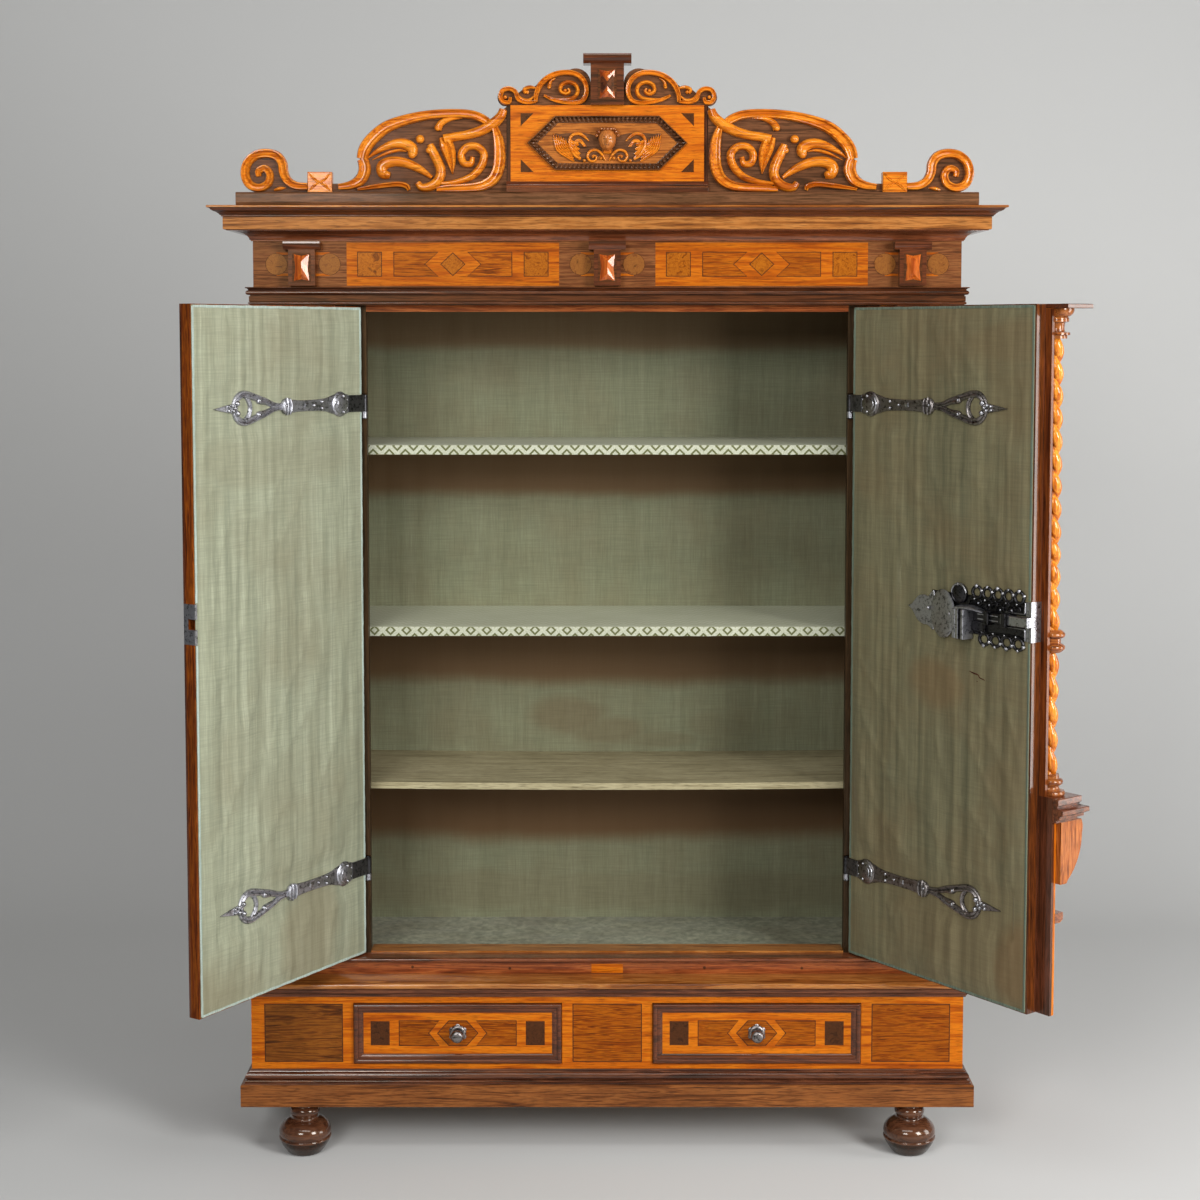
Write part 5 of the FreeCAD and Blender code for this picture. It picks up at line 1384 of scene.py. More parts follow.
def facet_point(sketch: Sketch, centre: Point, half: float, height: float, rise: float) -> None:
    """Diamond point with notched corners, cut from glossy cherry.

    Args:
        sketch: Sketch that gets it.
        centre: Its centre across and upwards.
        half: Half its width.
        height: Half its height.
        rise: How far its ridge stands out at most.
    """
    notch, border = 3.4, 3.0
    u, v = centre
    ring = [(-half, -height), (0, -(height - notch)), (half, -height), (half - notch, 0), (half, height),
            (0, height - notch), (-half, height), (-(half - notch), 0)]
    ridge = height - half * 0.9
    lift = min(rise, half * 0.42)
    foot = [(u + x, v + z, 0.3) for x, z in ring]
    top = [(u + x * 0.04, v + math.copysign(min(abs(z), ridge), z), lift) for x, z in ring]
    sketch.loft([foot, top], POINT)
    wide, tall = half + border, height + border
    sketch.slab(rectangle(u - wide, u + wide, v - tall, v + tall), -0.2, 0.5, STRINGING)


@dataclass(frozen=True)
class Carving:
    """Sawn board with scrolls carved on its face. Its outline and ribs are in shares of length and height."""

    start: float
    length: float
    bottom: float
    height: float
    board: float
    face: float
    relief: float = 7.0
    ground: float = 7.0
    seat: float = 2.0

    def at(self, a: float, b: float) -> Point:
        """Place in millimetres of a point given in shares."""
        return self.start + a * self.length, self.bottom + b * self.height

    def carve(self, sketch: Sketch, outline: Points, ribs: Sequence, balls: Points, sink: float) -> None:
        """Cut the board and lay its ribs and balls.

        Args:
            sketch: Sketch that gets them.
            outline: The board's steps in shares.
            ribs: Width, height over the ground, section and route of each rib.
            balls: Place and radius of each ball.
            sink: How far the balls' centres lie out of the plane.
        """
        steps = sized(outline, self.start, self.length, self.bottom, self.height)
        face = self.face - self.ground
        sketch.slab(traced(steps, 12), self.face - self.board, face, GROUND)
        for width, rise, section, points in ribs:
            route = [(*self.at(a, b), scale) for a, b, scale in points]
            lift = rise * (self.relief + self.ground) + self.seat
            sketch.band(route, width, face - self.seat, lift, CARVED, section, 7)
        for a, b, radius in balls:
            sketch.ball(*self.at(a, b), sink, radius, CARVED)


SCROLL_OUTLINE = (
    (0.0, 0.0), (0.0, 1.02), (0.02, 0.96, 0.05, 0.85), (0.11, 0.95, 0.19, 0.965), (0.36, 0.915, 0.46, 0.74),
    (0.525, 0.58, 0.548, 0.4), (0.565, 0.2, 0.625, 0.11), (0.655, 0.11), (0.655, 0.2), (0.74, 0.2),
    (0.74, 0.1), (0.775, 0.1), (0.81, 0.16, 0.825, 0.3), (0.85, 0.44, 0.9, 0.49), (0.955, 0.47, 0.985, 0.33),
    (0.985, 0.12, 0.93, 0.0),
)
SCROLL_RIBS = (
    (27, 1.0, RIM, ((0.54, 0.4, 0.9), (0.529, 0.52, 1.0), (0.5, 0.645, 1.0), (0.447, 0.78, 0.95),
                    (0.369, 0.87, 0.85),
                    (0.281, 0.925, 0.75), (0.189, 0.94, 0.72), (0.125, 0.922, 0.72), (0.081, 0.863, 0.7),
                    (0.05, 0.772, 0.6))),
    (27, 1.0, RIM, ((0.629, 0.07, 0.5), (0.585, 0.09, 0.7), (0.548, 0.15, 0.9), (0.531, 0.257, 1.0),
                    (0.533, 0.346, 0.95), (0.54, 0.399, 0.85))),
    (27, 1.0, RIM, ((0.045, 0.79, 0.5), (0.031, 0.642, 0.8), (0.026, 0.479, 0.95), (0.03, 0.302, 0.95),
                    (0.05, 0.164, 0.9), (0.09, 0.085, 0.8), (0.143, 0.06, 0.7), (0.217, 0.052, 0.6),
                    (0.262, 0.04, 0.4))),
    (24, 1.08, ROUND, ((0.012, 0.985, 0.75), (0.022, 0.905, 0.9), (0.05, 0.82, 1.0), (0.097, 0.735, 0.95),
                       (0.148, 0.687, 0.85), (0.199, 0.66, 0.85), (0.232, 0.63, 1.0))),
    (30, 1.05, GROOVED, ((0.236, 0.66, 0.7), (0.224, 0.568, 1.0), (0.213, 0.464, 0.95), (0.206, 0.346, 0.6),
                         (0.202, 0.222, 0.05))),
    (22, 1.0, ROUND, ((0.285, 0.571, 0.7), (0.274, 0.479, 0.95), (0.257, 0.37, 1.0), (0.246, 0.257, 1.0),
                      (0.256, 0.145, 1.0), (0.286, 0.074, 0.95), (0.318, 0.064, 0.8), (0.333, 0.12, 0.6))),
    (17, 0.95, ROUND, ((0.246, 0.109, 0.45), (0.185, 0.133, 0.7), (0.13, 0.198, 0.95), (0.094, 0.322, 1.05),
                       (0.085, 0.459, 1.05), (0.111, 0.547, 1.0), (0.148, 0.541, 1.0), (0.169, 0.453, 1.0),
                       (0.16, 0.352, 0.95), (0.134, 0.346, 0.85), (0.127, 0.423, 0.6))),
    (22, 0.95, ROUND, ((0.518, 0.411, 0.15), (0.482, 0.494, 0.5), (0.43, 0.571, 0.85), (0.384, 0.583, 1.05),
                       (0.353, 0.524, 1.15), (0.353, 0.441, 0.9))),
    (8, 0.6, ROUND, ((0.502, 0.388, 0.2), (0.447, 0.47, 0.9), (0.401, 0.503, 0.8), (0.373, 0.488, 0.3))),
    (24, 0.95, ROUND, ((0.436, 0.204, 0.6), (0.461, 0.228, 1.0), (0.465, 0.311, 1.05), (0.436, 0.364, 1.0),
                       (0.387, 0.361, 0.9), (0.332, 0.293, 0.75), (0.279, 0.18, 0.35))),
    (15, 0.85, ROUND, ((0.164, 0.885, 0.15), (0.212, 0.873, 0.7), (0.243, 0.825, 1.0), (0.257, 0.754, 1.15))),
    (13, 0.85, GROOVED, ((0.557, 0.04, 0.5), (0.483, 0.075, 0.9), (0.41, 0.1, 1.0), (0.375, 0.078, 1.0),
                         (0.366, 0.03, 0.6))),
    (23, 1.0, RIM, ((0.744, 0.075, 0.7), (0.787, 0.085, 0.8), (0.818, 0.145, 0.85), (0.833, 0.243, 0.9),
                    (0.837, 0.346, 0.9), (0.857, 0.435, 0.9), (0.895, 0.468, 0.88), (0.936, 0.445, 0.85),
                    (0.968, 0.352, 0.85), (0.977, 0.213, 0.85), (0.96, 0.095, 0.85), (0.925, 0.058, 0.8),
                    (0.893, 0.109, 0.75), (0.884, 0.213, 0.7), (0.902, 0.287, 0.7), (0.926, 0.257, 0.65),
                    (0.926, 0.192, 0.5))),
    (10, 0.6, ROUND, ((0.824, 0.056, 0.2), (0.847, 0.05, 0.9), (0.869, 0.03, 0.5))),
)
SCROLL_BALLS = ((0.322, 0.633, 9.5), (0.352, 0.45, 8.5), (0.289, 0.5, 7.0), (0.447, 0.215, 8.0),
                (0.256, 0.765, 7.0))
CREST_OUTLINE = (
    (0.0, 0.0), (0.0, 0.62), (0.04, 0.88, 0.22, 0.985), (0.4, 0.9, 0.56, 0.62), (0.6, 0.52, 0.665, 0.535),
    (0.72, 0.44, 0.775, 0.32), (0.82, 0.5, 0.88, 0.5), (0.955, 0.43, 0.985, 0.27), (0.97, 0.08, 0.92, 0.0),
)
CREST_RIBS = (
    (13, 1.0, RIM, ((0.582, 0.09, 0.6), (0.574, 0.333, 0.85), (0.516, 0.62, 0.95), (0.399, 0.83, 0.95),
                    (0.251, 0.9, 0.9), (0.127, 0.815, 0.9), (0.055, 0.593, 0.85), (0.047, 0.313, 0.85),
                    (0.1, 0.11, 0.8), (0.22, 0.07, 0.75), (0.378, 0.14, 0.7), (0.495, 0.27, 0.4))),
    (9, 0.95, ROUND, ((0.431, 0.193, 0.3), (0.299, 0.16, 0.8), (0.182, 0.213, 1.0), (0.137, 0.393, 1.0),
                      (0.165, 0.57, 1.0), (0.241, 0.637, 1.0), (0.31, 0.553, 1.0), (0.32, 0.393, 0.95),
                      (0.267, 0.31, 0.9), (0.225, 0.38, 0.8), (0.241, 0.46, 0.6))),
    (12, 1.0, RIM, ((0.582, 0.1, 0.5), (0.683, 0.08, 0.75), (0.765, 0.167, 0.85), (0.796, 0.367, 0.85),
                    (0.86, 0.455, 0.85), (0.93, 0.41, 0.85), (0.955, 0.247, 0.85), (0.929, 0.1, 0.85),
                    (0.865, 0.085, 0.75), (0.849, 0.22, 0.6))),
    (9, 0.85, ROUND, ((0.574, 0.46, 0.6), (0.643, 0.5, 0.95), (0.704, 0.433, 1.0), (0.685, 0.327, 0.8))),
    (8, 0.7, ROUND, ((0.786, 0.393, 0.4), (0.743, 0.193, 0.9), (0.659, 0.14, 1.0), (0.59, 0.273, 0.5))),
    (8, 0.8, ROUND, ((0.373, 0.753, 0.3), (0.426, 0.647, 0.8), (0.437, 0.513, 1.1))),
)
CREST_BALLS = ((0.44, 0.5, 4.0), (0.67, 0.36, 4.0), (0.905, 0.22, 4.0), (0.27, 0.4, 4.0))

# Ripple moulding's section: share across, share of its height, and 1 where the ripples are.
RIPPLE_SECTION = (
    (0.0, 0.0, 0), (0.0, 0.75, 0), (0.06, 1.0, 0), (0.16, 1.0, 0), (0.2, 0.72, 1), (0.32, 0.88, 1),
    (0.5, 0.8, 1), (0.68, 0.62, 1), (0.84, 0.42, 1), (0.88, 0.3, 0), (1.0, 0.22, 0), (1.0, 0.0, 0),
)
FOOT_SECTION = ((0.3, 0.0), (0.3, 11.0), (-1.2, 14.5), (-0.6, 17.0), (-3.4, 20.5), (-5.4, 24.2), (-9.0, 24.4),
                (-9.0, 0.0))


@dataclass(frozen=True)
class Pediment:
    """Scroll pediment: inlaid panel with its ripple hexagon and cherub, two scrolls and the crest."""

    triangle_reach: float = 188.0
    triangle_leg: float = 28.0
    fillet_width: float = 9.0
    ripples_per_mm: float = 0.1
    ripple_depth: float = 0.66
    steps_per_ripple: int = 8
    hexagon_corner_share: float = 0.65
    hexagon_band: float = 15.0
    scroll_face: float = -447.0
    crest_half: float = 36.0
    crest_ground: float = 6.0

    def build(self) -> None:
        """Dress the CAD nodes and make the carved pieces."""
        dress(ORANGE, "pediment_panel")
        dress(DARK_WALNUT, "crest_block")
        frame = Extent.of("hexagon_frame")
        self.lay_panel(frame)
        self.build_foot()
        self.build_hexagon(frame)
        Cherub().build(frame.middle.z)
        self.build_scrolls()
        self.build_crest()

    def lay_panel(self, frame: Extent) -> None:
        """Corner triangles and the ground inside the hexagon.

        Args:
            frame: Box of the hexagon's frame.
        """
        sketch = Inlay(front_place(frame.high.y))
        for side in (-1, 1):
            corner = side * self.triangle_reach
            for v, leg in ((frame.low.z - 4, self.triangle_leg), (frame.high.z + 6, -self.triangle_leg)):
                sketch.lay([(corner, v), (corner - side * self.triangle_leg, v), (corner, v + leg)], 1,
                           DARK_BURL)
        tip = frame.high.x
        flat = tip * self.hexagon_corner_share - 3
        sketch.hexagon((0.0, frame.middle.z), tip - 6, flat, frame.half.z - 4, 1, HEXAGON_GROUND)
        sketch.piece("panel_inlay", "cabinet", "pediment_panel")

    def build_foot(self) -> None:
        """Dark skin over the moulded foot and the fillets beside the panel."""
        panel, bottom = Extent.of("pediment_panel"), Extent.of("pediment_ledge").high.z
        sketch = Sketch(front_place(panel.low.y, bottom))
        sketch.prism(FOOT_SECTION, panel.high.x + 0.3, DARK_WALNUT)
        for side in (-1, 1):
            left, right = sorted((side * (panel.high.x - self.fillet_width + 0.1),
                                  side * (panel.high.x + 0.2)))
            sketch.slab(rectangle(left, right, 24.0, panel.high.z - bottom + 0.2), -18.0, -15.6, DARK_UPRIGHT)
        sketch.piece("panel_foot", "cabinet", "pediment_panel", bevel=0.6)

    def build_hexagon(self, frame: Extent) -> None:
        """Ripple moulding: close cross ribs between two fillets, in place of the plain frame.

        Args:
            frame: Box of the hexagon's frame.
        """
        level, tall, tip = frame.middle.z, frame.half.z, frame.high.x
        slope = math.atan2(tall, tip - tip * self.hexagon_corner_share)
        edges = []
        for reach in (0.0, self.hexagon_band):
            far, rise = tip - reach / math.sin(slope), tall - reach
            near = far - rise / math.tan(slope)
            edges.append([(-far, level), (-near, level - rise), (near, level - rise), (far, level),
                          (near, level + rise), (-near, level + rise)])
        outer, inner = edges
        rings = []
        for index in range(6):
            after = (index + 1) % 6
            ribs = round(math.dist(outer[index], outer[after]) * self.ripples_per_mm)
            stations = ribs * self.steps_per_ripple
            for share in (station / stations for station in range(stations)):
                wave = 0.5 + 0.5 * math.cos(2 * math.pi * ribs * share)
                row = []
                for across, height, rippled in RIPPLE_SECTION:
                    start, end = (
                        [a + (b - a) * across for a, b in zip(outer[corner],
                                                              inner[corner])] for corner in (index, after)
                    )
                    u, v = (a + (b - a) * share for a, b in zip(start, end))
                    lift = 2 * frame.half.y * height * (1.0 - self.ripple_depth * rippled * (1 - wave) ** 2)
                    row.append((u, v, lift if height else -0.3))
                rings.append(row)
        sketch = Sketch(front_place(frame.high.y))
        sketch.loft(rings, RIPPLE, joined=True)
        sketch.piece("ripple_hexagon", "cabinet", "hexagon_frame", ["hexagon_frame"])

    def build_scrolls(self) -> None:
        """The two main scrolls, carved in relief."""
        for side in Side:
            node = f"scroll_{side.word}"
            box = Extent.of(node)
            near, far = sorted((abs(box.low.x), abs(box.high.x)))
            front = box.low.y
            carving = Carving(near, far - near, box.low.z, 2 * box.half.z / 1.02, 28.0,
                              self.scroll_face - front)
            sketch = Sketch(front_place(front + carving.relief))
            sketch.turn = side.value
            carving.carve(sketch, SCROLL_OUTLINE, SCROLL_RIBS, SCROLL_BALLS, -1.0)
            self.carve_block(sketch, carving)
            sketch.piece(f"carved_scroll_{side.word}", "cabinet", node, [node])

    def carve_block(self, sketch: Sketch, carving: Carving) -> None:
        """Small square block with crossed leaves between the scroll and its end volute.

        Args:
            sketch: Sketch that gets it.
            carving: The carved board.
        """
        (left, low), (right, high) = carving.at(0.652, 0.0), carving.at(0.743, 0.245)
        sketch.slab(rectangle(left, right, low, high), -24.0, 3.0, CARVED, 1.5)
        reach = (right - left) / 2 - 3
        u, v = (left + right) / 2, (low + high) / 2
        for rise in (-reach, reach):
            route = [(u - reach, v - rise * 0.8, 0.4), (u - reach / 2, v - rise * 0.3, 1.0), (u, v, 0.6),
                     (u + reach / 2, v + rise * 0.3, 1.0), (u + reach, v + rise * 0.8, 0.4)]
            sketch.band(route, 7.0, 2.0, 3.4, CARVED, GROOVED, 5)

    def build_crest(self) -> None:
        """Scrolls beside the crest block, and its diamond point."""
        box, block = Extent.of("crest_scrolls"), Extent.of("crest_block")
        length = (box.high.x - self.crest_half) / 1.01
        carving = Carving(self.crest_half, length, box.low.z, 2 * box.half.z, 22.0, 0.0,
                          ground=self.crest_ground)
        sketch = Sketch(front_place(box.low.y + carving.relief))
        for side in Side:
            sketch.turn = side.value
            carving.carve(sketch, CREST_OUTLINE, CREST_RIBS, CREST_BALLS, -1.5)
        sketch.piece("carved_crest", "cabinet", "crest_scrolls", ["crest_scrolls"])
        sketch = Sketch(front_place(block.low.y + 14.0))
        facet_point(sketch, (0.0, block.low.z + 44.0), 17.0, 31.0, 10.4)
        sketch.piece("crest_point", "cabinet", "crest_block", soft=False)


# Rises of the face over a ball: height, place across and up, and reach across and up. A place
# off the middle counts on both sides.
FACE = (
    (0.17, 0, -0.16, 0.11, 0.2), (0.08, 0, -0.26, 0.15, 0.08), (0.06, 0.34, 0.2, 0.2, 0.08),
    (-0.1, 0.32, 0.04, 0.17, 0.1), (0.06, 0.32, 0.03, 0.1, 0.06), (0.06, 0.42, -0.3, 0.22, 0.2),
    (0.06, 0, -0.46, 0.2, 0.035), (0.06, 0, -0.55, 0.16, 0.04), (-0.05, 0, -0.505, 0.2, 0.02),
    (0.07, 0, -0.74, 0.2, 0.12),
)


@dataclass(frozen=True)
class Cherub:
    """Small winged head of plain, calm proportions, with curls and three rows of feathers."""

    head_radius: float = 22.0
    head_rise: float = 12.0
    head_up: float = 7.0
    head_shape: Point = (0.86, 1.08, 0.72)
    feather: float = 7.0
    long_feathers: int = 6
    short_feathers: int = 4
    face_strength: float = 1.4

    def build(self, level: float) -> None:
        """Carve the wings, the lower curls and the head.

        Args:
            level: Height of the hexagon's middle.
        """
        sketch = Sketch(front_place(Extent.of("cherub_relief").high.y))
        sketch.home = (0.0, level)
        for way in (-1, 1):
            sketch.turn = way
            self.build_wing(sketch)
        sketch.home = (0.0, level + self.head_up)
        self.build_head(sketch)
        self.build_features(sketch)
        sketch.piece("carved_cherub", "cabinet", "cherub_relief", ["cherub_relief"])

    def build_wing(self, sketch: Sketch) -> None:
        """One wing: long feathers, short feathers over their roots, and the scroll that bears them.

        Args:
            sketch: Sketch that gets it.
        """
        sheet = [(14, 8), (40, 20), (70, 22), (100, 20), (114, 19), (108, -2), (96, -24), (76, -38),
                 (44, -40),
                 (20, -30), (12, -12)]
        sketch.slab(smooth(sheet, 4, True), -0.3, 1.6, GROUND)
        for share in (index / (self.long_feathers - 1) for index in range(self.long_feathers)):
            tip = (117 - 27 * share, 20 - 12 * share ** 2)
            root = (72 + 6 * share, -39 + 30 * share)
            bow = ((tip[0] + root[0]) / 2 + 10 - 6 * share, (tip[1] + root[1]) / 2 - 8 + 3 * share)
            route = [(*root, 0.6), (*bow, 1.1), ((bow[0] + tip[0]) / 2 + 1.5, (bow[1] + tip[1]) / 2, 0.9),
                     (*tip, 0.15)]
            sketch.band(route, self.feather, 1.0, 4.2 + share, CARVED, GROOVED, 8)
        for share in (index / (self.short_feathers - 1) for index in range(self.short_feathers)):
            route = [(58 + 4 * share, -34 + 30 * share, 0.7), (70 + 3 * share, -22 + 22 * share, 1.1),
                     (80 + share, -6 + 14 * share, 0.3)]
            sketch.band(route, self.feather, 2.4, 3.0, CARVED, GROOVED, 8)
        scroll = [(40, 4, 0.4), (50, 14, 0.9), (62, 20, 1), (75, 17.5, 1), (82, 6, 1), (80, -10, 1),
                  (71, -26, 1),
                  (58, -35, 0.8)]
        sketch.band(scroll, 7.0, 2.0, 5.0, CARVED, ROUND, 8)
        for share in (1.0, 0.68, 0.4):
            fold = [(46 + 8 * (1 - share), -8, 0.5), (58, 6 * share, 1.0),
                    (69 * (0.9 + 0.1 * share), 4 * share, 1.0),
                    (70, -9, 0.9), (61, -22, 0.4)]
            sketch.band(fold, 4.6, 1.6, 3.4, CARVED, ROUND, 6)
        curl = [(4, -38, 0.5), (12, -24, 1.0), (24, -15, 1.0), (38, -18, 1.0), (43, -30, 1.0), (36, -39, 0.9),
                (26, -37, 0.8), (24, -29, 0.7), (31, -26, 0.5)]
        sketch.band(curl, 6.0, 1.2, 5.0, CARVED, ROUND, 7)
        for u, v in ((31, -29), (50, -38), (14, -33)):
            sketch.ball(u, v, 4.0, 3.2, CARVED, 12)

    def build_head(self, sketch: Sketch) -> None:
        """Round head with its face, under rows of curls.

        Args:
            sketch: Sketch that gets it.
        """
        level, radius = sketch.home[1], self.head_radius
        wide, tall, deep = self.head_shape
        rows, sides = 26, 36
        rings = []
        for tilt in (math.pi * row / rows for row in range(rows + 1)):
            ring = []
            for turn in (2 * math.pi * step / sides for step in range(sides)):
                x, y, z = math.sin(tilt) * math.sin(turn), -math.cos(tilt), math.sin(tilt) * math.cos(turn)
                reach = radius * (1.0 + self.feature(x, y, z))
                ring.append((x * reach * wide, level + y * reach * tall, self.head_rise + z * reach * deep))
            rings.append(ring)
        sketch.loft(rings, CHERUB)
        for row, (up, count, wide) in enumerate(((0.98, 7, 0.72), (0.72, 9, 0.98), (0.38, 8, 1.08))):
            for angle in (math.pi * (step + 0.5) / count for step in range(count)):
                x = math.cos(angle) * radius * wide
                z = self.head_rise + math.sin(angle) * radius * (0.62 - 0.2 * up)
                if not row or abs(x) >= radius * (0.66 + 0.12 * row):
                    sketch.ball(x, radius * up, z, 4.2, RING, 12)
        for angle in (math.pi * (step + 0.5) / 5 for step in range(5)):
            z = self.head_rise + 5 * math.sin(angle)
            sketch.ball(math.cos(angle) * radius * 0.6, radius * 1.02, z, 4.6, RING, 12)

    def build_features(self, sketch: Sketch) -> None:
        """Lids, brows, closed lips and the collar under the head. The lids and lips are laid in the dark
        ground wood, as painted shade in their creases.

        Args:
            sketch: Sketch that gets them.
        """
        for way in (-1, 1):
            lid = [(way * 3.2, 0.6, 0.5), (way * 6.2, -0.4, 1.0), (way * 9.2, 0.8, 0.5)]
            brow = [(way * 2.6, 4.4, 0.5), (way * 6.4, 6.2, 1.0), (way * 10.0, 4.2, 0.5)]
            # Painted shade: the lids are laid in the dark ground wood.
            sketch.band(lid, 2.4, 24.4, 2.8, GROUND, ROUND, 4)
            sketch.band(brow, 2.8, 25.2, 3.8, CHERUB, ROUND, 4)
        # Painted shade: the lips are laid in the dark ground wood.
        sketch.band([(-4.4, -11.6, 0.5), (0, -12.4, 1.0), (4.4, -11.6, 0.5)], 2.2, 24.6, 2.8, GROUND, ROUND,
                    4)
        low, high = -self.head_radius * 1.35, -self.head_radius * 0.7
        sketch.slab([(-9, low), (9, low), (7, high), (-7, high)], 0.5, 8.0, CARVED, 2.0)

    def feature(self, x: float, y: float, z: float) -> float:
        """Rise of the face over a ball, on plain proportions: eyes half-way, nose and mouth below.

        Args:
            x: Across the face, from -1 to 1.
            y: Up the face.
            z: Out of the face.

        Returns:
            The rise as a share of the head's radius.
        """
        if z < 0.1:
            return 0.0
        return self.face_strength * sum(
            rise * math.exp(-((x - place * way) / wide) ** 2 - ((y - up) / tall) ** 2)
            for rise, place, up, wide, tall in FACE for way in ((-1, 1) if place else (1,))
        )


RING_SHARES = (
    (0.0, 0.0), (1.1, 0.0), (1.16, 0.1, 1.1, 0.22), (0.86, 0.26), (0.7, 0.36, 0.74, 0.48),
    (0.94, 0.54), (1.0, 0.64, 0.94, 0.76), (0.7, 0.82), (0.66, 1.0), (0.0, 1.0),
)
MIDDLE_SHARES = (
    (0.0, 0.0), (0.68, 0.0), (0.94, 0.12), (1.0, 0.22, 0.94, 0.32), (0.66, 0.4), (0.66, 0.6),
    (0.94, 0.68), (1.0, 0.78, 0.94, 0.88), (0.68, 1.0), (0.0, 1.0),
)
CAPITAL_SHARES = (
    (0.0, 0.0), (0.78, 0.0), (0.78, 0.1), (1.0, 0.12), (1.0, 0.2), (0.6, 0.24), (0.56, 0.38, 0.6, 0.52),
    (0.9, 0.56), (0.9, 0.68), (0.82, 0.72), (1.16, 0.8, 1.3, 1.0), (0.0, 1.0),
)
BRACKET_SHARES = (
    (0.0, 0.0), (0.3, 0.0), (0.36, 0.05), (0.84, 0.4, 0.98, 0.78), (1.0, 0.9, 0.94, 1.0), (0.0, 1.0),
)
BLOCK_SHARES = (
    (0.7, 0.0), (0.7, 0.1), (0.78, 0.13), (0.86, 0.16), (0.86, 0.28), (0.92, 0.31), (1.0, 0.36),
    (1.0, 0.54), (0.97, 0.57), (0.8, 0.6), (0.74, 0.66), (0.76, 0.72), (0.8, 0.75), (0.8, 0.98), (0.78, 1.0),
)


@dataclass(frozen=True)
class Column:
    """Twisted column on a bracket: plinth block, turned rings, two corkscrew lengths and a capital."""

    x: float
    seat: float
    back: float
    axis: float
    half: float
    reach: float
    ring: float
    bottom: float
    block_bottom: float
    top: float
    bracket_back: float
    bracket_half: float
    bracket_reach: float
    shaft: float = 10.0
    wander: float = 4.6
    lower_turns: int = 5
    upper_turns: int = 13
    stations: int = 22
    sides: int = 26
    block_height: float = 49.0
    base_height: float = 43.0
    lower_length: float = 249.0
    middle_height: float = 46.0
    capital_height: float = 60.0
    abacus_height: float = 9.0
    abacus_share: float = 0.89
    sunk: float = 3.0

    def build(self, sketch: Sketch) -> None:
        """Draw the whole column on a plane whose w is measured outwards from its backing.

        Args:
            sketch: Sketch that gets it.
        """
        block_top = self.block_bottom + self.block_height
        base_top = block_top + self.base_height
        middle_low = base_top + self.lower_length
        middle_high = middle_low + self.middle_height
        abacus_low = self.top - self.abacus_height
        capital_low = abacus_low - self.capital_height
        climb = block_top - self.block_bottom
        sketch.loft([self.square(share, self.block_bottom + up * climb) for share, up in BLOCK_SHARES], BLOCK)
        for shares, low, high in ((RING_SHARES, block_top, base_top),
                                  (MIDDLE_SHARES, middle_low, middle_high),
                                  (CAPITAL_SHARES, capital_low, abacus_low)):
            self.turn(sketch, shares, low, high)
        self.twist(sketch, base_top - self.sunk, middle_low + self.sunk, self.lower_turns)
        self.twist(sketch, middle_high - self.sunk, capital_low + self.sunk, self.upper_turns)
        ease = 1.2
        sketch.loft([
            self.square(self.abacus_share, v, draw)
            for v, draw in ((abacus_low, ease), (abacus_low + ease, 0), (self.top - ease, 0),
                            (self.top, ease))
        ], DARK_WALNUT)
        self.build_bracket(sketch)

    def square(self, share: float, v: float, draw: float = 0.0) -> list[Point]:
        """Level square from the seat to the front."""
        half, front = share * self.half - draw, self.back + self.axis + share * self.reach - draw
        return [(u, v, w) for u, w in rectangle(self.x - half, self.x + half, self.seat, front)]

    def turn(self, sketch: Sketch, shares: Points, low: float, high: float) -> None:
        """Turned ring that stops at the backing.

        Args:
            sketch: Sketch that gets it.
            shares: Radius and height in shares.
            low: Its bottom.
            high: Its top.
        """
        centre, stop = self.back + self.axis, self.back + 0.2
        sketch.loft([
            [(u, v, max(w, stop)) for u, w in around(self.x, centre, max(radius, THINNEST), 44)]
            for radius, v in traced(sized(shares, 0, self.ring, low, high - low), 6)
        ], RING)

    def twist(self, sketch: Sketch, low: float, high: float, turns: int) -> None:
        """Corkscrew length: one round strand that winds round the axis, with narrow valleys between its turns.

        Args:
            sketch: Sketch that gets it.
            low: Its bottom.
            high: Its top.
            turns: Number of turns.
        """
        centre = self.back + self.axis
        rings = []
        for share in (index / (turns * self.stations) for index in range(turns * self.stations + 1)):
            ring = []
            for angle in (2 * math.pi * side / self.sides for side in range(self.sides)):
                strand = 2 * abs(math.cos(angle / 2 - math.pi * turns * share)) ** 0.8 - 1
                reach = self.shaft + self.wander * strand
                ring.append((self.x + reach * math.cos(angle), low + (high - low) * share,
                             centre + reach * math.sin(angle)))
            rings.append(ring)
        sketch.loft(rings, SHAFT)

    def build_bracket(self, sketch: Sketch) -> None:
        """Bracket with a double-curved front.

        Args:
            sketch: Sketch that gets it.
        """
        height = self.block_bottom - self.bottom
        side = traced(sized(BRACKET_SHARES, self.bracket_back, self.bracket_reach, self.bottom, height), 12)
        half, ease = self.bracket_half, 1.5
        sketch.loft([
            [(self.x + u, v, w - draw if w > self.bracket_back + 3 else w) for w, v in side]
            for u, draw in ((-half, ease), (ease - half, 0), (half - ease, 0), (half, ease))
        ], BRACKET)


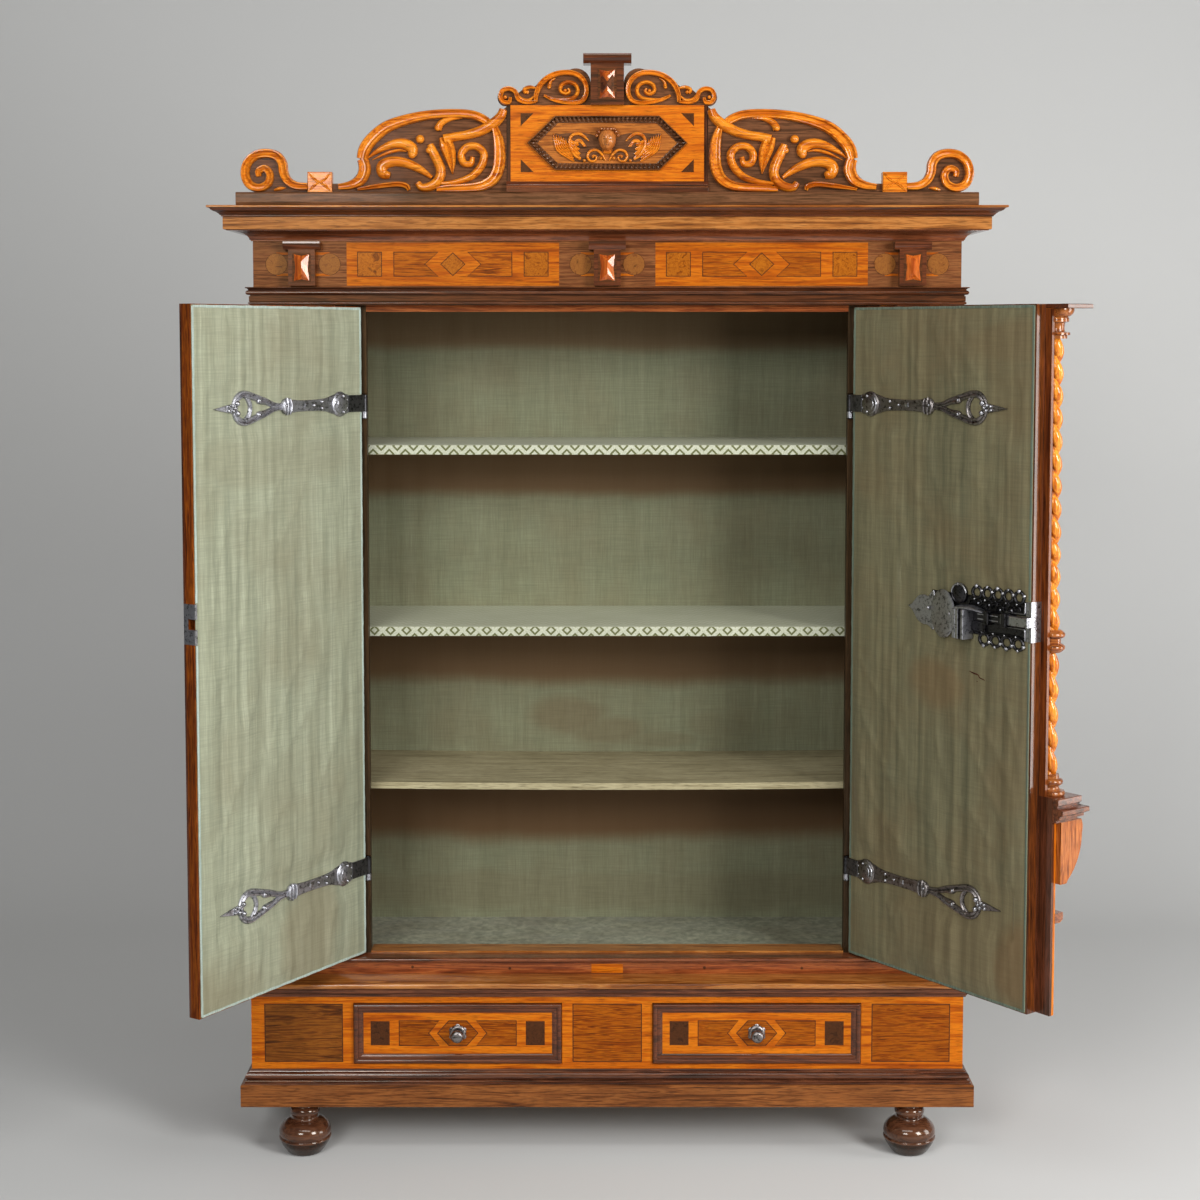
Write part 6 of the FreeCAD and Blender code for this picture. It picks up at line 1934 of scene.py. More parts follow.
@dataclass(frozen=True)
class Leaf:
    """One open door: where it turns and how far it stands open, read from its joint."""

    side: Side
    pivot: Vector
    angle: float

    @classmethod
    def of(cls, side: Side) -> "Leaf":
        """Leaf on a side of the cabinet, as it stands open."""
        joint = next(item for item in FRAME["joints"] if item["name"] == f"door_{side.word}_hinge")
        return cls(side, Vector(joint["pos_m"]) / MM, math.radians(-max(joint["range_deg"], key=abs)))

    def carried(self, x: float, y: float) -> Vector:
        """Direction given for the closed leaf, carried round with the open one."""
        c, s = math.cos(self.angle), math.sin(self.angle)
        return Vector((x * c - y * s, x * s + y * c, 0.0))

    def place(self, x: float, y: float, right: Vector, out: Vector) -> Place:
        """Working plane whose origin is carried round from a way off the pivot."""
        return Place(Vector((self.pivot.x, self.pivot.y, 0)) + self.carried(x, y), right, out)

    def closed_place(self, forward: float = 0.0) -> Place:
        """Working plane of the closed cabinet's front, u along X, carried round with the leaf."""
        y = CARCASS_FRONT - forward - self.pivot.y
        return self.place(-self.pivot.x, y, self.carried(1, 0), self.carried(0, -1))

    def inner_place(self) -> Place:
        """Working plane of the leaf's inner face: u from the pivot along the leaf, w into the room."""
        y = CARCASS_FRONT - LEAF_BEHIND - self.pivot.y
        return self.place(0, y, self.carried(-self.side.value, 0), self.carried(0, 1))


@dataclass(frozen=True)
class Columns:
    """The columns on the stiles and the one on the right door, with the astragal behind it."""

    door_face: float = 30.4
    bracket: float = 127.0
    foot: float = 176.0

    def build(self) -> None:
        """Build the three columns and dress the astragal."""
        dress(ORANGE_UPRIGHT, "astragal")
        for side in Side:
            name = f"column_{side.word}"
            box = Extent.of(name)
            sketch = Sketch(front_place(CARCASS_FRONT))
            Column(box.middle.x, 12.0, 12.0, 18.0, 40.0, 32.0, 20.5, box.low.z, box.low.z + self.bracket,
                   box.high.z,
                   12.0, 27.0, 34.0, 9.6, 3.8).build(sketch)
            sketch.piece("twisted_" + name, "cabinet", name, [name])
        box = Extent.of("column_door")
        place = Leaf.of(Side.RIGHT).closed_place()
        sketch = Sketch(place)
        back = self.door_face
        Column(0.0, back, back + 6.0, 20.0, 56.0, 56.0, 26.0, box.low.z, box.low.z + self.bracket, box.high.z,
               back + 13.0, 42.0, 67.0).build(sketch)
        sketch.piece("twisted_column_door", "door_right", "column_door", ["column_door"])
        self.back_column(Sketch(place), box.low.z + self.foot)

    def back_column(self, sketch: Sketch, split: float) -> None:
        """Dark skins that paint shade on the astragal's back face, and the moulded ledge under the column's
        block.

        Args:
            sketch: Sketch that gets them.
            split: Height where the astragal's foot ends.
        """
        strip = Extent.of("astragal")
        low, high = strip.low.z + 0.4, strip.high.z - 0.4
        # Painted shade: dark skins over the astragal's back face and edges, below and behind the column.
        for left, right, bottom, top, front, finish in (
            (-28.6, 5.6, low, split, 30.5, DARK_UPRIGHT), (-9.6, 5.6, split, high, 30.5, SHADED_EDGE),
            (-10.4, -9.8, split, high, 36.6, SHADED_EDGE), (-29.6, -28.8, low, split, 36.6, DARK_UPRIGHT),
        ):
            sketch.slab(rectangle(left, right, bottom, top), 29.8, front, finish)
        front, low = 43.4, strip.low.z + 190.0
        sketch.prism([(front - 1, low - 0.6), (front + 8.0, low - 0.6), (front + 23.6, low + 4.4),
                      (front + 23.6, low + 19.6), (front - 1, low + 19.6)], 29.8, GLOSSY)
        sketch.piece("astragal_back", "door_right", "astragal")


@dataclass(frozen=True)
class Strap:
    """Forged strap hinge: barrel, tapering band, boss, knop, pierced heart loop, balls and spear tip."""

    level: float
    metal: Iron
    shift: float = 0.0
    pin_w: float = -0.5
    pin: float = 3.6
    barrel: float = 7.0
    barrel_half: float = 18.5
    boss_u: float = 86.0
    plate: float = 3.5

    def build(self, sketch: Sketch) -> None:
        """Draw the strap on a leaf's inner place, u from the pivot.

        Args:
            sketch: Sketch that gets it.
        """
        sketch.home = (0.0, self.level)
        self.build_barrel(sketch)
        sketch.home = (self.shift, self.level)
        near = 7 - self.shift
        edge = smooth([(near, 18.5), (56, 18.5), (64, 21), (88, 23.5), (110, 20), (128, 15), (150, 12.6),
                       (190, 11.6),
                       (222, 12), (240, 13.5), (258, 12), (274, 8)], 5)
        end = [(near, -18.5), (near - 0.8, -10), (near - 0.8, 10)]
        sketch.slab([*end, *edge, *((u, -half) for u, half in reversed(edge))], 0.0, self.plate, self.metal,
                    1.0)
        self.build_boss(sketch)
        self.build_knop(sketch)
        for way in (-1, 1):
            self.build_arm(sketch, way)
        bar = [(383, 25), (373, 12), (370, -1), (374, -14), (385, -26)]
        sketch.band(bar, 11.0, 0.0, 4.8, self.metal, GROOVED, 7)
        self.build_tip(sketch)

    def build_barrel(self, sketch: Sketch) -> None:
        """Bored barrel with rounded rims, and the leaf that is forged to it.

        Args:
            sketch: Sketch that gets them.
        """
        low, high, rim = self.level - self.barrel_half, self.level + self.barrel_half, 0.8
        profile = [(self.pin, low), (self.barrel - rim, low), (self.barrel, low + rim),
                   (self.barrel, high - rim),
                   (self.barrel - rim, high), (self.pin, high)]
        rings = [[(x, v, w) for x, w in around(0.0, self.pin_w, radius, 28)] for radius, v in profile]
        sketch.loft(rings, DARK_IRON, joined=True)
        sketch.cuboid((3.0, 60.0 + self.shift), (-18.3, 18.3), (0.2, self.plate + 0.5), BLUED_IRON)

    def build_boss(self, sketch: Sketch) -> None:
        """Round boss with crescent ridges, and punched dots on the band beyond it.

        Args:
            sketch: Sketch that gets them.
        """
        base, u = self.plate, self.boss_u
        dome = [(27, 0), (27, base - 0.6), (25.5, base + 0.6), (20, base + 3.2), (11, base + 5.2),
                (0, base + 5.8)]
        sketch.button(dome, u, 0, self.metal, 36)
        for radius, wide, lift in ((21.0, 4.2, 6.6), (14.0, 3.4, 7.8)):
            points = []
            for share in (step / 16 for step in range(17)):
                angle = math.pi * (0.42 + 1.16 * share)
                scale = 0.35 + 0.65 * math.sin(math.pi * share)
                points.append((u - radius * math.cos(angle), radius * math.sin(angle), scale))
            sketch.band(points, wide, 2.0, lift, BRIGHT_IRON, ROUND)
        for way in (-1, 1):
            sketch.ball(u - 6, way * 17, base + 3.4, 3.6, BRIGHT_IRON, 14)
            sketch.ball(u - 21, way * 9, base + 1.6, 2.2, BRIGHT_IRON, 12)
            sketch.ball(146, way * 7, base - 0.4, 3.8, BRIGHT_IRON, 14)
        sketch.ball(172, 0, base - 0.6, 3.4, BRIGHT_IRON, 14)
        sketch.cuboid((190, 202), (-5, 6), (base - 0.5, base + 1.6), BRIGHT_IRON, 2.0)

    def build_knop(self, sketch: Sketch) -> None:
        """Knop with three cross ridges.

        Args:
            sketch: Sketch that gets it.
        """
        sketch.button([(16.5, 0), (16.5, 3.0), (14, 5.4), (8, 6.6), (0, 7.0)], 260, 0, self.metal, 30)
        for u, half, bow in ((249.0, 16.5, -3.0), (259.5, 18.0, 0.0), (270.0, 15.0, 3.0)):
            route = [(u - bow, -half, 0.5), (u, -half * 0.5, 1.0), (u + bow * 0.3, 0, 1.1),
                     (u, half * 0.5, 1.0),
                     (u - bow, half, 0.5)]
            sketch.band(route, 8.0, 2.0, 8.2, self.metal, ROUND, 5)
        sketch.ball(266, 2, 8.4, 3.2, BRIGHT_IRON, 14)

    def build_arm(self, sketch: Sketch, way: int) -> None:
        """One arm of the loop with its small inner curl.

        Args:
            sketch: Sketch that gets it.
            way: 1 for the upper arm and -1 for the lower.
        """
        arm = [(248, 1.5, 0.9), (264, 2.5, 0.85), (281, 5.5, 0.85), (303, 12, 1.0), (325, 17.5, 1.05),
               (345, 22.5, 1.05),
               (365, 27, 1.1), (381, 28.5, 1.1), (395, 25.5, 1.1), (406, 17.5, 1.05), (413, 8, 0.9),
               (418, 1, 0.7)]
        curl = [(300, 6, 0.4), (313, 9.5, 0.9), (326, 11, 1.0), (333, 13.5, 1.0), (331, 18, 0.8)]
        for points, width, rise, section, fine in ((arm, 14.0, 5.6, GROOVED, 7), (curl, 8.0, 6.6, ROUND, 6)):
            route = [(self.stretched(u), way * half, scale) for u, half, scale in points]
            sketch.band(route, width, 0.0, rise, self.metal, section, fine)
        sketch.ball(self.stretched(329), way * 14.5, 4.6, 3.8, BRIGHT_IRON, 12)

    @staticmethod
    def stretched(u: float) -> float:
        """Place along the loop, moved to where the photograph has it."""
        return 274 + (u - 248) * 0.87

    def build_tip(self, sketch: Sketch) -> None:
        """Spear tip behind a cluster of balls.

        Args:
            sketch: Sketch that gets it.
        """
        blade = [(408, 7), (424, 9.5), (440, 7.2), (455, 4.4), (477, 0.2)]
        sketch.slab([*blade, *((u, -half) for u, half in reversed(blade))], 0.0, 3.6, self.metal, 0.5)
        for u, rise, radius in ((411, 10, 6.0), (410, -10, 6.0), (424, 5.5, 4.2), (422, -5, 4.6),
                                (434, 4, 3.6),
                                (435, -4, 3.8), (417, 1, 4.0)):
            sketch.ball(u, rise, 4.4, radius, BRIGHT_IRON, 16)


@dataclass(frozen=True)
class Lock:
    """Iron lock on the right leaf: shield, round cover, spring plates, bolt and pierced cresting."""

    level: float
    end: float
    cover: Point = (292.0, -6.0, 39.0, 51.0)
    dome: Point = (336.0, 41.0)
    guides: Point = (423.0, 469.0)

    def build(self, place: Place) -> None:
        """Make the lock and its bolt.

        Args:
            place: Working plane of the right leaf's inner face.
        """
        sketch = Sketch(place)
        sketch.home = (0.0, self.level)
        self.build_plate(sketch)
        self.build_cover(sketch)
        self.build_springs(sketch)
        self.build_guides(sketch)
        self.build_leaves(sketch)
        self.build_cresting(sketch, -1, 388.0, 30.5, 4)
        self.build_cresting(sketch, 1, 368.0, 28.5, 5)
        edge_plate(sketch, self.end)
        sketch.piece("iron_lock", "door_right", "lock", ["lock"])
        sketch = Sketch(place)
        sketch.home = (0.0, self.level)
        tip = self.end - 0.6
        sketch.cuboid((393, tip), (-9.7, 9.7), (7.2, 14.8), DARK_IRON, 1.2)
        sketch.cuboid((456, tip), (-9.9, 9.9), (5.2, 15.0), BRIGHT_IRON, 1.0)
        sketch.cuboid((493.2, tip), (-9.8, 9.8), (-16.4, 14.4), BRIGHT_IRON, 1.0)
        for rise in (-5, 5):
            sketch.cuboid((396, 450), (rise - 1.2, rise + 1.2), (14.0, 15.4), IRON, 0.4)
        sketch.piece("iron_bolt", "bolt", "lock_bolt", ["lock_bolt"])

    def build_plate(self, sketch: Sketch) -> None:
        """Shield with its lobes, and the plate that leaves room for the bolt.

        Args:
            sketch: Sketch that gets them.
        """
        lobes = [(186, 0), (196, 4), (206, 14), (217, 24), (232, 27), (244, 25), (262, 36), (262, -40),
                 (244, -36),
                 (228, -35), (213, -27), (203, -14), (194, -5)]
        sketch.slab(smooth(lobes, 5, True), 0.0, 3.2, IRON, 0.8)
        sketch.cuboid((255, 489), (-40, 40), (0.0, 2.0), DARK_IRON)
        for span in ((-40.0, -11.0), (11.0, 40.0)):
            sketch.cuboid((488, 514.6), span, (0.0, 2.0), DARK_IRON)
            sketch.cuboid((514, 520.6), span, (0.3, 2.6), BRIGHT_IRON)

    def build_cover(self, sketch: Sketch) -> None:
        """Round cover, raised at the bolt's side, a smaller dome above it and their rivets.

        Args:
            sketch: Sketch that gets them.
        """
        u, v, wide, tall = self.cover
        turns = around(0.0, 0.0, 1.0, 40)
        sketch.loft([
            [(u + wide * share * x, self.level + v + tall * share * y, 6.5 + 5.5 * share * x + lift) for x,
             y in turns]
            for share, lift in ((1.0, 0.0), (1.0, 1.6), (0.96, 2.4), (0.7, 4.2), (0.35, 5.2), (0.02, 5.5))
        ], IRON)
        profile = [(21, 2), (21, 7.5), (19.5, 8.6), (18, 7.0), (14, 8.8), (7, 10.6), (0, 11.2)]
        u, v = self.dome
        sketch.button(profile, u, v, DARK_IRON, 32)
        turns = [math.pi * index / 16 for index in range(17)]
        crescent = [(u + 20 * math.cos(a), v + 20 * math.sin(a),
                     0.4 + 0.8 * math.sin(a / 1.1)) for a in turns]
        sketch.band(crescent, 4.4, 6.0, 4.0, BRIGHT_IRON, ROUND)
        for u, rise, w in ((250, 2, 8.0), (315, -4, 12.0), (334, 60, 7.0)):
            sketch.ball(u, rise, w, 3.8, BRIGHT_IRON, 14)

    def build_springs(self, sketch: Sketch) -> None:
        """Upright spring plates, the bar over them and the box behind the bolt.

        Args:
            sketch: Sketch that gets them.
        """
        for u, wide, w, finish in ((342, 9, 30, IRON), (353, 8, 33, BRIGHT_IRON), (362, 5, 31, DARK_IRON),
                                   (369, 7, 34, IRON)):
            sketch.cuboid((u - wide / 2, u + wide / 2), (-50, 12), (2.0, w), finish, 1.4)
        bar = [(340, 12, 1.0), (368, 15, 1.0), (392, 13, 0.8), (410, 9, 0.4)]
        sketch.band(bar, 10.0, 4.0, 24.0, IRON, ROUND, 6)
        sketch.cuboid((372, 409), (-32, -12), (2.0, 8.0), DARK_IRON)

    def build_guides(self, sketch: Sketch) -> None:
        """The two staples that guide the bolt, and the beads beside it.

        Args:
            sketch: Sketch that gets them.
        """
        for u in self.guides:
            for span in ((-14.4, -10.6), (10.6, 14.4)):
                sketch.cuboid((u - 6, u + 6), span, (2.0, 21.5), DARK_IRON, 0.8)
            sketch.cuboid((u - 6, u + 6), (-14.4, 14.4), (17.8, 22.0), DARK_IRON, 1.2)
        for way in (-1, 1):
            line = [(463, 15.5, 1.0), (505, 15.5, 1.0), (512, 17, 1.0), (513, 24, 1.0), (513, 39, 0.7)]
            line = [(u, way * v, scale) for u, v, scale in line]
            sketch.band(line, 3.0, 1.6, 4.0, BRIGHT_IRON, ROUND, 6)

    def build_leaves(self, sketch: Sketch) -> None:
        """Leaf-work over the bolt, with a ball at every second leaf.

        Args:
            sketch: Sketch that gets it.
        """
        for index in range(9):
            u, rise = 372 + index * 15, 24 + 5 * math.sin(index * 2.3)
            leaf = [(u - 9, rise - 7, 0.4), (u - 3, rise + 3, 1.0), (u + 6, rise + 5, 1.0),
                    (u + 11, rise - 3, 0.4)]
            sketch.band(leaf, 8.0, 1.6, 6.5, DARK_IRON, GROOVED, 6)
            if index % 2:
                sketch.ball(u + 2, rise - 2, 5.5, 2.6, IRON, 12)

    def build_cresting(self, sketch: Sketch, way: int, start: float, pitch: float, holes: int) -> None:
        """Row of pierced rings with balls on its outer edge.

        Args:
            sketch: Sketch that gets it.
            way: 1 above the plate and -1 below.
            start: Where the row starts.
            pitch: Distance between two rings.
            holes: Number of rings.
        """
        for index in range(holes):
            u = start + (index + 0.5) * pitch
            ring = [(u + 0.42 * pitch * x, way * 47.5 + 11.5 * y) for x, y in around(0.0, 0.0, 1.0, 24)]
            sketch.band(ring, 7.4, 1.2, 4.6, DARK_IRON, ROUND, closed=True)
            sketch.ball(u + pitch / 2, way * 52, 4.4, 4.2, BRIGHT_IRON, 14)
            sketch.ball(u, way * 60.5, 3.8, 3.6 if index % 2 else 4.6, IRON, 14)
            sketch.ball(u - 5, way * 33, 4.0, 3.0, BRIGHT_IRON, 12)
        foot = [(start, way * 35, 1.0), (start + 2.5 * pitch, way * 33, 1.0),
                (start + holes * pitch, way * 35, 1.0)]
        sketch.band(foot, 6.0, 1.6, 4.4, DARK_IRON, GROOVED, 8)


def edge_plate(sketch: Sketch, end: float) -> None:
    """Worn iron plate in a leaf's meeting edge, with a lip on the lining and a slot for the bolt.

    Args:
        sketch: Sketch that gets it, its home at the lock.
        end: Distance of the leaf's edge from its pivot.
    """
    for low, high in ((-41.0, -10.6), (10.6, 41.0)):
        sketch.cuboid((end - 2.0, end - 0.05), (low, high), (-28.5, 0.4), BRIGHT_IRON, 0.4)
        sketch.cuboid((end - 7.0, end - 0.2), (low, high), (-0.2, 2.0), BRIGHT_IRON, 0.5)
        sketch.ball(end - 3.2, (low + high) / 2, -8.0, 3.6, IRON, 12)
    sketch.cuboid((end - 2.0, end - 0.05), (-10.6, 10.6), (-28.5, -17.4), BRIGHT_IRON, 0.4)


@dataclass(frozen=True)
class Lining:
    """Cloth on a leaf's inner face, tacked under a pale ribbon, with soft folds between its edges."""

    leaf: Leaf
    levels: tuple[float, ...]
    lock: float
    far: float
    seed: float
    rep: Rep
    trim: Finish
    near: float = 11.0
    fold: float = 5.4
    back: float = -1.4
    ribbon: float = 5.5
    step: float = 5.0
    soft_edge: float = 45.0
    strap_reach: float = 490.0
    strap_half: float = 30.0
    strap_gap: float = 20.0
    lock_start: float = 160.0
    lock_half: float = 68.0
    lock_edge: float = 40.0
    lock_gap: float = 43.0
    stitch: float = 12.0

    def build(self) -> None:
        """Make the cloth and its ribbon."""
        word = self.leaf.side.word
        name = f"door_{word}_lining"
        box = Extent.of(name)
        low, high = box.low.z, box.high.z
        sketch = Sketch(self.leaf.inner_place())
        columns = round((self.far - self.near) / self.step)
        rows = round((high - low) / (self.step * 1.6))
        line = [self.near + (self.far - self.near) * index / columns for index in range(columns + 1)]
        rings = []
        for v in (low + (high - low) * row / rows for row in range(rows + 1)):
            front = [(u, v, self.rise(u, v, low, high)) for u in line]
            rings.append(front + [(u, v, self.back) for u in reversed(line)])
        sketch.loft(rings, self.rep)
        cloth = sketch.piece(f"{name}_cloth", f"door_{word}", name, [name])
        sketch = Sketch(self.leaf.inner_place())
        self.build_ribbon(sketch, low, high)
        edge = sketch.piece(f"{name}_ribbon", f"door_{word}", name)

    def rise(self, u: float, v: float, low: float, high: float) -> float:
        """Rise of the cloth over the leaf, nothing along its edges and under the irons.

        Args:
            u: Place from the pivot.
            v: Height.
            low: Lower end of the cloth.
            high: Upper end of the cloth.

        Returns:
            The rise in millimetres.
        """
        ways = [u - self.near, self.far - u, v - low, high - v]
        if u < self.strap_reach:
            ways += [abs(v - level) - self.strap_half for level in self.levels]
        limits = [1.0, *(way / self.soft_edge for way in ways)]
        if self.leaf.side is Side.RIGHT and u > self.lock_start:
            limits.append((abs(v - self.lock) - self.lock_half) / self.lock_edge)
        free = max(0.0, min(limits))
        free = free * free * (3 - 2 * free)
        slack = 0.45 + 0.55 * min(1.0, max(0.0, (high - v) / (high - low) * 1.5))
        wide = noise.noise(Vector((u / 62 + v / 900, v / 330, self.seed)))
        fine = noise.noise(Vector((u / 20 - v / 420, v / 150, self.seed + 4)))
        crease = 1 - abs(noise.noise(Vector((u / 95 + v / 260, v / 210, self.seed + 9)))) * 5
        return 0.15 + free * slack * self.fold * (0.75 + 0.9 * wide + 0.35 * fine + 0.45 * max(0.0, crease))

    def build_ribbon(self, sketch: Sketch, low: float, high: float) -> None:
        """Ribbon along the edges, cut away at the irons on its way.

        Args:
            sketch: Sketch that gets it.
            low: Lower end of the cloth.
            high: Upper end of the cloth.
        """
        half = self.ribbon / 2
        left, right, bottom, top = self.near + half, self.far - half, low + half, high - half
        gap = self.strap_gap
        stops = [bottom, *(v for level in sorted(self.levels) for v in (level - gap, level + gap)), top]
        runs = [((left, a), (left, b)) for a, b in zip(stops[::2], stops[1::2])]
        runs += [((left, top), (right, top)), ((left, bottom), (right, bottom)),
                 ((right, bottom), (right, self.lock - self.lock_gap)),
                 ((right, self.lock + self.lock_gap), (right, top))]
        for start, end in runs:
            steps = max(2, round(math.dist(start, end) / self.stitch))
            line = [
                (start[0] + (end[0] - start[0]) * i / steps + 0.35 * math.sin(i * 2.1),
                 start[1] + (end[1] - start[1]) * i / steps + 0.35 * math.cos(i * 1.7),
                 1 + 0.08 * math.sin(i * 1.3))
                for i in range(steps + 1)
            ]
            sketch.band(line, self.ribbon, 0.0, 1.3, self.trim, STITCHED)


STRAP_MAKE = {Side.LEFT: (IRON, 0.0), Side.RIGHT: (BROWNED_IRON, -20.0)}
LINING_MAKE = {Side.LEFT: (534.0, 3.0, LINING, RIBBON), Side.RIGHT: (524.0, 11.0, SHADED_RIGHT_LINING, GREEN_RIBBON)}
TEARS = (
    ((362, 1124, 0.5), (374, 1121, 1.0), (388, 1119, 1.1), (392, 1114, 1.0), (404, 1111, 1.0),
     (411, 1109, 0.4)),
    ((382, 1106, 0.4), (386, 1105, 0.8), (390, 1106, 0.3)),
    ((375, 1098, 0.3), (377, 1090, 0.7), (374, 1080, 0.3)),
)


@dataclass(frozen=True)
class Door:
    """One door: veneered outer face, cloth lining, straps, and on the right the lock."""

    side: Side
    levels: tuple[float, ...] = (638.0, 1670.0)
    lock: float = 1243.0
    left_end: float = 538.0
    right_end: float = 528.0
    face: float = 30.0
    hinge_edge: float = 525.0
    left_meeting: float = 4.0
    right_meeting: float = 6.0
    middle_rail: float = 0.36
    rail: float = 104.0
    stile: float = 92.0
    clear: float = 34.0
    string: float = 2.0
    field_in: float = 14.0
    field_gap: float = 42.0
    field_rise: float = 22.0
    band_in: float = 20.0
    band_rise: float = 12.0
    widest_narrow: float = 60.0

    def build(self) -> None:
        """Dress the leaf and make what lies on it."""
        word = self.side.word
        body = f"door_{word}"
        dress(RED_EDGE if self.side is Side.LEFT else WAXED_EDGE, f"door_{word}_leaf")
        dress(DARK_UPRIGHT, f"door_{word}_face")
        leaf = Leaf.of(self.side)
        Lining(leaf, self.levels, self.lock, *LINING_MAKE[self.side]).build()
        self.lay_face(leaf)
        place = leaf.inner_place()
        sketch = Sketch(place)
        for level in self.levels:
            Strap(level, *STRAP_MAKE[self.side]).build(sketch)
        if self.side is Side.LEFT:
            sketch.home = (0.0, self.lock)
            edge_plate(sketch, self.left_end)
            sketch.piece("forged_irons_left", body, "door_left_irons", ["door_left_irons"])
            return
        sketch.piece("forged_straps_right", body, "door_right_straps", ["door_right_straps"])
        Lock(self.lock, self.right_end).build(place)
        sketch = Sketch(place)
        for points in TEARS:
            sketch.band(points, 3.2, 0.2, 3.2, TEAR, fine=4)
        sketch.piece("lining_tear", body, "door_right_lining")

    def lay_face(self, leaf: Leaf) -> None:
        """Burl fields in stringing and orange hexagons on the framed outer face.

        Args:
            leaf: The leaf.
        """
        box = Extent.of(f"door_{self.side.word}_leaf")
        sketch = Inlay(leaf.closed_place(self.face))
        way = self.side.value
        edge, end = way * self.hinge_edge, self.right_meeting if self.side is Side.RIGHT else self.left_meeting
        low, high = box.low.z, box.high.z
        split = low + self.middle_rail * (high - low)
        rails = [(low, low + self.rail), (split - self.rail / 2, split + self.rail / 2),
                 (high - self.rail, high)]
        inner_edge, inner_end = edge - way * self.stile, end + way * self.stile
        left, right = sorted((inner_edge, inner_end))
        middle = (left + right) / 2
        for bottom, top in rails:
            for start, stop in ((left + self.field_in, middle - self.field_gap),
                                (middle + self.field_gap, right - self.field_in)):
                sketch.edged((start, stop, bottom + self.field_rise, top - self.field_rise), 1, self.string,
                             BURL)
            sketch.hexagon((middle, (bottom + top) / 2), 36, 18, 30, 1, ORANGE)
        for span in ((edge, inner_edge), (inner_end, end)):
            a, b = sorted(span)
            for (_, bottom), (top, _) in zip(rails, rails[1:]):
                inner, outer = (a + self.band_in, b - self.band_in) if b - a > self.widest_narrow else (a, b)
                if min(abs(a), abs(b)) < self.widest_narrow:
                    inner, outer = (max(inner, self.clear), outer) if way > 0 else (inner,
                                                                                    min(outer, -self.clear))
                sketch.edged((inner, outer, bottom + self.band_rise, top - self.band_rise), 1, self.string,
                             BURL)
        word = self.side.word
        sketch.piece(f"door_{word}_inlay", f"door_{word}", f"door_{word}_face")


